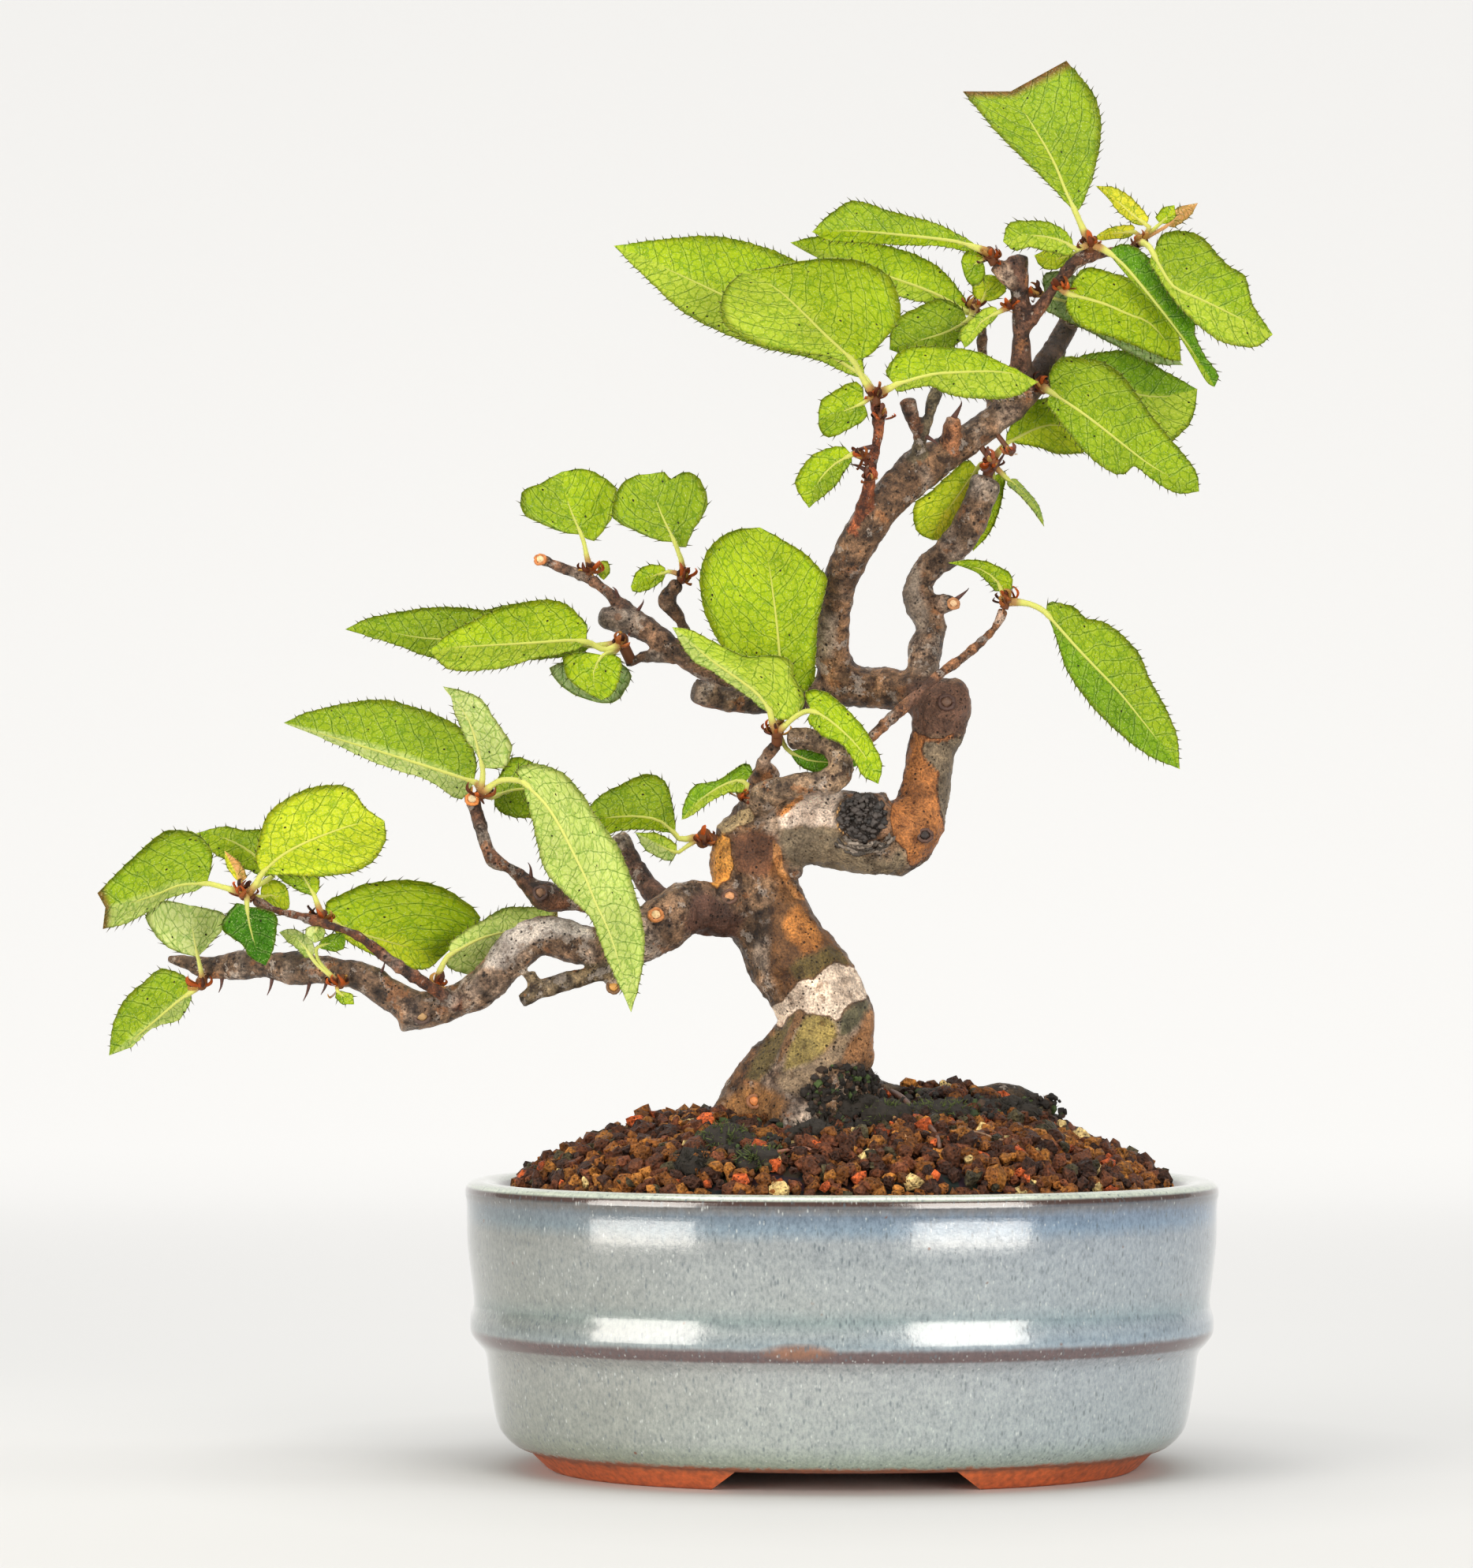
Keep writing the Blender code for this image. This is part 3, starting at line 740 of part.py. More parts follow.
def limb(name, run, extra=0.0, look=None):
    """A round limb through (gx, gz, y, radius) points, with slightly domed ends."""
    centres = [seen(gx, gz, y) for gx, gz, y, _ in run]
    radii = [radius + extra for _, _, _, radius in run]
    widest = max(radii)
    steps = 10 if widest > 5.5 else 7 if widest > 3 else 6 if widest > 1.7 else 5
    count = len(centres)
    ends = (centres[0] - unit(centres[1] - centres[0]) * extra,
            centres[-1] + unit(centres[-1] - centres[-2]) * extra)
    centres[0], centres[-1] = ends
    side = unit(np.cross(centres[1] - centres[0], (0.13, 1.0, 0.07)))
    points = []
    for i in range(count):
        along = unit(centres[min(i + 1, count - 1)] - centres[max(i - 1, 0)])
        side = unit(side - along * np.dot(side, along))
        other = np.cross(along, side)
        for k in range(steps):
            angle = 2 * math.pi * k / steps
            points.append(centres[i] + radii[i] * (math.cos(angle) * side + math.sin(angle) * other))
    faces = []
    for i in range(count - 1):
        for k in range(steps):
            j = (k + 1) % steps
            low = i * steps
            faces.append((low + k, low + j, low + steps + j, low + steps + k))
    first, last = len(points), len(points) + 1
    points.append(centres[0] - unit(centres[1] - centres[0]) * radii[0] * 0.25)
    points.append(centres[-1] + unit(centres[-1] - centres[-2]) * radii[-1] * 0.25)
    top = (count - 1) * steps
    for k in range(steps):
        j = (k + 1) % steps
        faces.append((j, k, first))
        faces.append((top + k, top + j, last))
    return add_object(name, points, faces, look)


def wood(name, extra=0.0, look=None):
    """All limbs of the tree as one body, each extra millimetres thicker."""
    limbs = [limb(name + "_" + part, run, extra) for part, run in LIMBS.items()]
    body = combine(limbs[0], limbs[1:], "UNION", "MANIFOLD")
    body.name = name
    if look:
        body.data.materials.clear()
        body.data.materials.append(look)
    return keep_largest_body(body)


def leaf_rows(shape, bud):
    """Rows of (left edge, middle, right edge) points from inside the bud to the tip."""
    length = sum(math.dist(a, b) for a, b in zip(shape["rib"], shape["rib"][1:]))
    rows = max(2, round(length / ROW_SPACING))
    rib = smooth_run(shape["rib"], rows + 1)
    edges = [smooth_run((shape["rib"][0],) + tuple(shape[side]), rows + 1) for side in ("upper", "lower")]
    y_foot, y_base, y_tip = shape["depth"]
    blade = []
    for i in range(rows + 1):
        y = y_base + (y_tip - y_base) * i / rows
        middle = seen(rib[i][0], rib[i][1], y)
        pair = []
        for edge, lean in zip(edges, shape["fold"]):
            away = y + lean * math.dist(edge[i], rib[i])
            pair.append(seen(edge[i][0], edge[i][1], away))
        blade.append([pair[0], middle, pair[1]])
    for index in (0, rows):
        near = blade[1] if index == 0 else blade[rows - 1]
        spread = unit(near[2] - near[0])
        width = max(STALK_WIDTH / 2, 0.45)
        if np.linalg.norm(blade[index][0] - blade[index][2]) < 2 * width:
            middle = blade[index][1]
            blade[index] = [middle - spread * width, middle, middle + spread * width]
    count = len(shape["stalk"])
    line = [seen(gx, gz, y_foot + (y_base - y_foot) * i / count)
            for i, (gx, gz) in enumerate(shape["stalk"])]
    heart = seen(*bud[:3])
    if np.linalg.norm(line[0] - heart) > bud[3] * 0.6:
        line.insert(0, heart + unit(line[0] - heart) * bud[3] * 0.3)
    stalk = []
    for i, middle in enumerate(line):
        following = line[i + 1] if i + 1 < len(line) else blade[0][1]
        along = unit(following - middle)
        spread = blade[1][2] - blade[1][0]
        spread = unit(spread - along * np.dot(spread, along))
        stalk.append([middle - spread * STALK_WIDTH / 2, middle, middle + spread * STALK_WIDTH / 2])
    return stalk, blade


def leaf_solid(name, shape, bud):
    """A stalk and a toothed blade as one closed ribbon, split alike on both faces."""
    stalk, blade = leaf_rows(shape, bud)
    rows = stalk + blade
    points = []
    for i, (left, middle, right) in enumerate(rows):
        before, after = rows[max(i - 1, 0)][1], rows[min(i + 1, len(rows) - 1)][1]
        normal = unit(np.cross(after - before, right - left))
        thick = (STALK_WIDTH if i < len(stalk) else BLADE_THICKNESS) / 2
        for point in (left, middle, right):
            points.append(point + normal * thick)
        for point in (left, middle, right):
            points.append(point - normal * thick)
    faces = []
    for i in range(len(rows) - 1):
        a, b = i * 6, i * 6 + 6
        for k in (0, 1):
            faces += [(a + k, a + k + 1, b + k), (a + k + 1, b + k + 1, b + k)]
            faces += [(a + k + 3, b + k + 3, a + k + 4), (a + k + 4, b + k + 3, b + k + 4)]
        toothed = len(stalk) <= i < len(rows) - 2
        for k, flip in ((0, False), (2, True)):
            corners = (a + k, b + k, b + k + 3, a + k + 3)
            if toothed:
                step = rows[i + 1][k] - rows[i][k]
                outward = rows[i][k] - rows[i][1] + rows[i + 1][k] - rows[i + 1][1]
                outward = unit(outward - unit(step) * np.dot(outward, unit(step)))
                points.append(rows[i][k] + step * 0.62 + outward * TOOTH_HEIGHT)
                tip = len(points) - 1
                fan = [(corners[0], corners[1], tip), (corners[1], corners[2], tip),
                       (corners[2], corners[3], tip), (corners[3], corners[0], tip)]
            else:
                fan = [corners[:3], (corners[0], corners[2], corners[3])]
            faces += [tuple(reversed(f)) for f in fan] if flip else fan
    faces += [(0, 3, 4), (0, 4, 1), (1, 4, 5), (1, 5, 2)]
    e = (len(rows) - 1) * 6
    faces += [(e, e + 4, e + 3), (e, e + 1, e + 4), (e + 1, e + 5, e + 4), (e + 1, e + 2, e + 5)]
    thing = add_object(name, points, faces)
    turn_outwards(thing)
    return thing


def turn_outwards(thing):
    work = bmesh.new()
    work.from_mesh(thing.data)
    bmesh.ops.recalc_face_normals(work, faces=work.faces)
    work.to_mesh(thing.data)
    work.free()


def bud_solid(name, gx, gz, y, radius):
    """The knob that a shoot's leaves grow from."""
    mesh = bpy.data.meshes.new(name)
    work = bmesh.new()
    bmesh.ops.create_icosphere(work, subdivisions=1, radius=radius * MM)
    work.to_mesh(mesh)
    work.free()
    thing = bpy.data.objects.new(name, mesh)
    bpy.context.scene.collection.objects.link(thing)
    for vert in mesh.vertices:
        vert.co += type(vert.co)(seen(gx, gz, y) * MM)
    return thing


def spray(name, clearance, look):
    """One leafy shoot: its bud and leaves fused, and kept clear of the wood."""
    bud, leaves = SPRAYS[name]
    body = bud_solid(name, *bud)
    blades = [leaf_solid(f"{name}_{i}", shape, bud) for i, shape in enumerate(leaves)]
    combine(body, blades, "UNION", "MANIFOLD")
    cutter = bpy.data.objects.new("clearance", clearance.data.copy())
    bpy.context.scene.collection.objects.link(cutter)
    combine(body, [cutter], "DIFFERENCE", "MANIFOLD")
    keep_largest_body(body)
    body.data.materials.clear()
    body.data.materials.append(look)
    return body


def stand_on_ground(things):
    """Moves everything so that the box's bottom centre is the origin."""
    bpy.context.view_layer.update()
    corners = np.array([v.co for thing in things for v in thing.data.vertices])
    low, high = corners.min(axis=0), corners.max(axis=0)
    for thing in things:
        thing.location = (-(low[0] + high[0]) / 2, -(low[1] + high[1]) / 2, -low[2])


def main():
    for thing in list(bpy.data.objects):
        bpy.data.objects.remove(thing)
    glaze = material("glaze", (0.42, 0.52, 0.58), 0.18)
    bark = material("bark", (0.24, 0.15, 0.11), 0.6)
    green = material("leaf_green", (0.33, 0.5, 0.08), 0.45)
    earth = material("soil_grains", (0.2, 0.09, 0.05), 0.9)
    plastic = material("screen_plastic", (0.03, 0.03, 0.03), 0.5)
    screens = [screen("screen_left", -HOLE_OFFSET, plastic), screen("screen_right", HOLE_OFFSET, plastic)]
    things = screens + [pot(glaze), soil(earth), wood("tree", 0.0, bark)]
    clearance = wood("clearance_wood", GAP)
    things += [spray(name, clearance, green) for name in SPRAYS]
    bpy.data.objects.remove(clearance)
    stand_on_ground(things)


main()
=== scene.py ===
"""Looks of the bonsai: glazed pot, soil grains, moss, bark and toothed leaves.

Lengths in the tables are millimetres from the middle of the pot's foot, and are turned into
metres of the row frame as each mesh is made. gx and gz are where a point shows from the
front against the upright plane through the middle of the pot; y is its depth behind it.
"""
import math

import bpy
import numpy as np
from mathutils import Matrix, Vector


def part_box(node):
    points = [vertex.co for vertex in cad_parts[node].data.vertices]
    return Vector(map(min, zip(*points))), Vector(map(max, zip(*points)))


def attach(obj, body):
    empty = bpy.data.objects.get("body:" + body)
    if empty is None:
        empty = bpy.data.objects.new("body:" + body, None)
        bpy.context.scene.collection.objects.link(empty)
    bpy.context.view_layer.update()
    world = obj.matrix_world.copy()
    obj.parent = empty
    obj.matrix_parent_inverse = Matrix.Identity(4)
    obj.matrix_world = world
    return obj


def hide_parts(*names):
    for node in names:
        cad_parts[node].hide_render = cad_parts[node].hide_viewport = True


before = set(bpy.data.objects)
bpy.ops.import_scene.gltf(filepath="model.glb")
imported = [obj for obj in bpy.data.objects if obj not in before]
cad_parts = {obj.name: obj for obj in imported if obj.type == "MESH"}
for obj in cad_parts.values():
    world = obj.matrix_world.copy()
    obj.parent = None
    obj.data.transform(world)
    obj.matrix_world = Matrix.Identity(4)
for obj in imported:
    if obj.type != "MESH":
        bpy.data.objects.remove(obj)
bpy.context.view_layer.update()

MM = 0.001
POT_LOW, POT_HIGH = (np.array(corner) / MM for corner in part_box("pot"))
POT_MIDDLE = np.array(((POT_LOW[0] + POT_HIGH[0]) / 2, (POT_LOW[1] + POT_HIGH[1]) / 2, POT_LOW[2]))

# Driving dimensions, in millimetres, and counts
POT_LENGTH = POT_HIGH[0] - POT_LOW[0]
ARCH_RATIO = (POT_HIGH[1] - POT_LOW[1]) / POT_LENGTH
POT_HEIGHT = POT_HIGH[2] - POT_LOW[2]
POT_SQUARENESS = 2.15
FOOT_HEIGHT = 3.4
FOOT_ARCH_TOP = 20.0
FOOT_ARCH_GROUND = 24.0
FOOT_INNER = 44.0
HOLE_OFFSET = 30.0
HOLE_RADIUS = 6.0
SOIL_EDGE = 50.0
EYE_DISTANCE = 1000.0
EYE_X = -19.5
EYE_Z = 106.0
AIM_Z = 126.6
LENS = 123.4
BLADE_THICKNESS = 0.32
ROW_STEP = 0.6
COLUMNS = 7
SPINE_STEP = 1.4
WOOD_VOXEL = 0.54
GRAIN_COUNT = 3900
POT_STEPS = 160
LIMB_KNOTS = 24
LIMB_STRIDE = 400
CUT_X = 3.9
CUT_Z = 120.4

# Outer side of the pot from the foot line up to the rim, as (half length, height)
POT_OUTSIDE = (
    (56.0, 3.4), (60.0, 4.2), (62.6, 6.3), (64.0, 9.0), (65.3, 16.0), (66.0, 21.3), (67.5, 23.3),
    (68.8, 25.3), (68.8, 28.3), (68.2, 31.0), (69.15, 39.0), (69.5, 43.0), (69.6, 49.3), (69.95, 51.0),
    (69.3, 52.6), (67.2, 53.2), (64.6, 52.6), (63.3, 50.6),
)
POT_INSIDE = ((62.4, 30.0), (60.0, 16.0), (57.0, 10.5), (52.0, 8.6))


def points_of(run):
    """Points from a run of numbers: commas part the points, and blanks the numbers of each."""
    return np.array([[float(word) for word in point.split()] for point in run.split(",")])


def rows_of(text):
    """The rows of a text table, parted by semicolons, each as its fields, parted by bars."""
    return [[field.strip() for field in row.split("|")] for row in text.split(";")]


# Bark colour of the limbs that name none, linear
BROWN = (0.138, 0.076, 0.042)

# Every limb of the tree: its name, a run of (gx, gz, y, radius), and its bark's colour, linear
LIMBS = [(points_of(run), points_of(*tone)[0] if tone else BROWN) for name, run, *tone in rows_of("""
trunk | -9 60 0 12, -7 67 0 11.3, -5 73 -1 10.4, -3.4 78.5 -1 9.7, -3.2 84 -2 8.8, -5.8 89.5 -2 8.5,
 -9.8 95 -1 8.2, -13 101 0 7.9, -15.8 107 1 7.6, -17.2 113 1 7.2, -16 118.5 1 5.8, -15 122.5 1 4.2 |
 0.147 0.088 0.048;
trunk_turn | -17 112.5 1 6.2, -8 117.8 0 6.5, 0 117.8 -1 7.2, 6 117.3 -2 7.8, 11 117.6 -2 7.6,
 14.2 120.5 -1 5.4, 15.5 125 1 4.4, 16.3 130 2 4.5, 17.4 135 2 4.9, 18.8 141 2 5.6, 18.2 145.4 3 3.6 |
 0.184 0.12 0.072;
old_cut | 5 119.5 -5 5.6, 5 120 -10.6 4.9;
upper_trunk | 18 142 3 4.2, 13 143.6 4 3.8, 7 144.6 7 3.9, 1.5 145.3 8 4.2, -1.3 149 7 3.7,
 -1.8 154 5 3.2, -1 160 2 3.2, 0.8 166.5 -1 3.3, 4 173 -3 3.6, 8 178.8 -3 3.7, 13 183.8 0 4,
 18 187.3 2 3.6, 24 191 4 3, 30 195.5 4 2.9, 35 200.2 4 2.8, 38.2 205 5 2.4, 41 210 7 2.1,
 43 213.3 8 1.9 | 0.158 0.09 0.048;
stub | 34 201.5 3 2.4, 33.6 206 0 2, 33.5 214 -1 1.9, 33.1 221 -2 1.9, 33 225 -2 2.2 | 0.092 0.044 0.027;
stub_left_head | 33 219.5 -2 1.7, 30.6 221.8 -2.6 1.6, 28.7 223.6 -3 1.7;
stub_right_twig | 34 211.5 -1 1.4, 36.4 214.3 -1.6 1.3, 38.9 218 -2.3 1.2, 41.9 222 -3 1.3,
 44 224.2 -3.6 1.5, 46.4 225.2 -3.6 1.5, 50.3 225.8 -2.2 1, 54.3 226.4 -1.6 1.1 | 0.129 0.056 0.03;
hidden_twig | 29 195 5 1.8, 27.4 201 9 1.3, 26.4 207 9 1.2, 26.2 211.5 8 1.1, 25.3 214.2 7 1.2;
right_branch | 14 144 4 2.8, 15.3 148.5 5 2.8, 15.6 152 7 3.1, 16.8 155.5 8 2.7, 15 159.3 9 3.1,
 14.4 163.3 10 2.9, 16.5 167 10 3, 20 169.8 9 3, 23.6 174.3 8 3.3, 25.4 178.5 8 2.9, 27.2 183.4 8 2.7 |
 0.156 0.096 0.057;
right_branch_cut | 16 160.2 9 1.9, 20.6 160.3 5.5 1.7;
tan_twig | -2 132.3 -7 1.5, 2 132.9 -8 1.2, 5 134.8 -9 1.1, 8.4 138 -8 1.1, 12.2 141.4 -7 1.1,
 17.8 146.6 -5 1, 23 150.4 -3 1, 27.7 154.6 -1.4 1, 29.4 157 -1.2 1, 30.3 159.3 -1.2 1.1 |
 0.221 0.104 0.048;
upper_left_twig | 3.2 173 -4 1.7, 3.9 177.6 -6 1.4, 5.1 181.9 -7 1.1, 5.6 186.1 -8 1.3, 6.7 190.3 -9 1.1,
 7 194 -10 1.3, 6.5 197 -10 1.2 | 0.184 0.052 0.018;
grey_twig | 13.8 185.5 -1 1.9, 14.7 190.3 -3 1.4, 16.1 194 -4 1.2, 17.1 198 -4 1.2, 18.2 200.4 -4 1.2 |
 0.101 0.08 0.048;
grey_twig_arm | 14.9 191 -3 1.3, 13.3 194.6 -5 1.3, 12.4 198.2 -5.5 1.6 | 0.11 0.048 0.024;
bud_spur | 20 188.8 1 1.9, 21 194.8 -1.5 1.7 | 0.184 0.08 0.036;
curled_spur | -16 121.5 -2 3.4, -13.6 124.7 -6 2.8, -9.5 126.1 -8 2.4, -5.5 126.6 -9 2.3,
 -1.6 127.2 -9 2.5, 0 129.6 -8.6 2.5, -1.5 133 -7.4 2.3, -5.6 134.9 -6.4 2.2, -9.4 135 -6 2.1 |
 0.221 0.152 0.096;
back_knob | -15.4 121 1 2.6, -15.2 126.8 -0.5 2.3, -12.6 129.5 -0.6 2;
pale_shoot | -15.2 127.5 -1.5 1.4, -14.4 131 -3.4 1.2, -12 134 -5 1.3;
middle_branch | 1 145.3 8 3.6, -6 142.8 9 3.1, -12 142.3 10 3, -17 143.8 11 2.6, -22.5 146.6 12 2.2,
 -29 150 13 2.2, -34.7 154.4 15 2.3, -38.5 156.5 16 2.5, -44.8 157.8 17 1.9 | 0.138 0.08 0.048;
dead_stub | -13 142 10 2.6, -20 142.2 8 2.4, -27.4 144 6 2.3 | 0.12 0.08 0.051;
middle_upper_twig | -38 156.8 16 1.9, -42 161 17.5 1.4, -47 164.9 19 1.2, -51.5 166.6 20 1.1,
 -56 168.5 21 1.2 | 0.147 0.076 0.045;
middle_lower_twig | -29 149.6 13 1.3, -33 150.3 14 1.2, -36.6 150.2 15 1.1, -40.2 149 16 1.2;
riser_twig | -27.6 150.6 13 1.5, -29.2 155.4 12 1.2, -30.6 158.2 11 1.2, -32.6 160.6 11 1.6,
 -31.2 163 10 1.4, -30 164.2 10 1.3;
left_branch | -17 104.5 0 5.6, -22 103 -4 5.3, -28 103.2 -8 5, -33 100.8 -11 5.2, -38 97.5 -12 4.5,
 -44 96 -11 3.8, -50 97.2 -9 3.7, -55 98.5 -8 3.7, -59.3 96.8 -8 4, -63 92.4 -8 3.8, -67 88.6 -7 3.4,
 -72 86.2 -5 3.2, -77 84.6 -4 3.5, -82 84.2 -4 3.4 | 0.18 0.11 0.065;
left_branch_end | -79.5 84.8 -4 3.2, -84 87.4 -4 3, -88 90.2 -4 2.9, -94 91.8 -3 2.8, -100 92.2 -1 3,
 -106 92.8 1 2.6, -112 92.8 3 2.7, -118 92.3 5 2.3, -122 93.5 6 1.4, -125.4 94.2 6 0.9 | 0.129 0.08 0.048;
grey_lower_twig | -40.5 94.5 -12.5 2.2, -44 91.8 -13 1.8, -51.8 89.7 -12 1.7, -56 88.2 -11 1.6,
 -59.6 86.3 -10 1.6 | 0.129 0.096 0.054;
grey_twig_fork | -56.4 88 -11 1.2, -58 91.3 -10 1.1 | 0.129 0.096 0.054;
riser | -38 99 -8 2.4, -43 103.4 -6 2, -50 104.8 -5 2.1, -54.8 105.6 -5 3, -57.4 107.2 -5 2.5,
 -61.2 110.6 -5 1.3, -64.6 112.4 -6 1.6, -66.2 115.6 -6 1.3, -67.6 120.4 -6 1.3, -68.6 123.4 -6 1.6 |
 0.138 0.064 0.036;
dark_stub | -31 102.5 -5 2.6, -36.3 108 0 2, -41.6 116.8 3 1.8 | 0.083 0.044 0.03;
thin_twig | -71.6 85.8 -8 1.5, -75 88 -10 1.2, -82.6 92.8 -12 1.2, -88 97 -12 1.1, -91 98.9 -12 1.1,
 -95 100.2 -12 1, -99.6 101.7 -11 1, -104.3 102.8 -10 0.9, -107.4 104 -10 0.9, -109.4 105.2 -10 1 |
 0.12 0.04 0.015;
left_root | -6.5 81 0 5, -10.6 74 0 7, -14.5 69 0 7, -18 64 -1 6.4, -24 58 -3 5, -30 51 -4 3 |
 0.156 0.08 0.036;
right_root | -3 71 2 7, 4 65.5 4 6, 10 59 6 4.8, 16 51 8 2.6 | 0.074 0.04 0.021;
front_root | -8 70 -3 8, -9 62 -9 5.6, -10 52 -13 3 | 0.092 0.048 0.024;
back_root | -5 70 4 8, -4 62 12 5.4, -3 52 18 3;
surface_root | 2 69 5 4, 9 68.3 8 2.8, 17 68 10 2.3, 25 68.4 11 2.3, 31 68.4 12 2.7, 36 66.6 13 2.3,
 40 60 14 1.8 | 0.055 0.036 0.018;
scar_knob | -11 110.8 -5 2.2, -7.6 110.2 -6.5 1.5;
low_cut | -41 93 -12 1.6, -42.5 88.8 -12.5 1.3
""")]


def leaf(look, stalk, rib, upper, lower, depth, fold=((0.2, 0.2),)):
    """One leaf: its edges go on to the rib's tip unless the leaf is torn."""
    if "torn" not in look:
        upper, lower = (np.vstack((edge, rib[-1:])) for edge in (upper, lower))
    return {"look": look.split(), "stalk": stalk, "rib": rib, "upper": upper, "lower": lower,
            "depth": depth[0], "fold": fold[0]}


def shoots_of(text):
    """Shoots from a text table: a row of two fields starts a shoot, and those that follow are its
    leaves."""
    shoots = {}
    for first, *fields in rows_of(text):
        fields = [points_of(field) for field in fields]
        if len(fields) == 1:
            leaves = []
            shoots[first] = (fields[0][0], leaves)
        else:
            leaves.append(leaf(first, *fields))
    return shoots


def coloured_runs(text):
    """Rows of a colour, a number and a run of points from a text table."""
    return [(points_of(colour)[0], float(rise), points_of(outline))
            for colour, rise, outline in rows_of(text)]


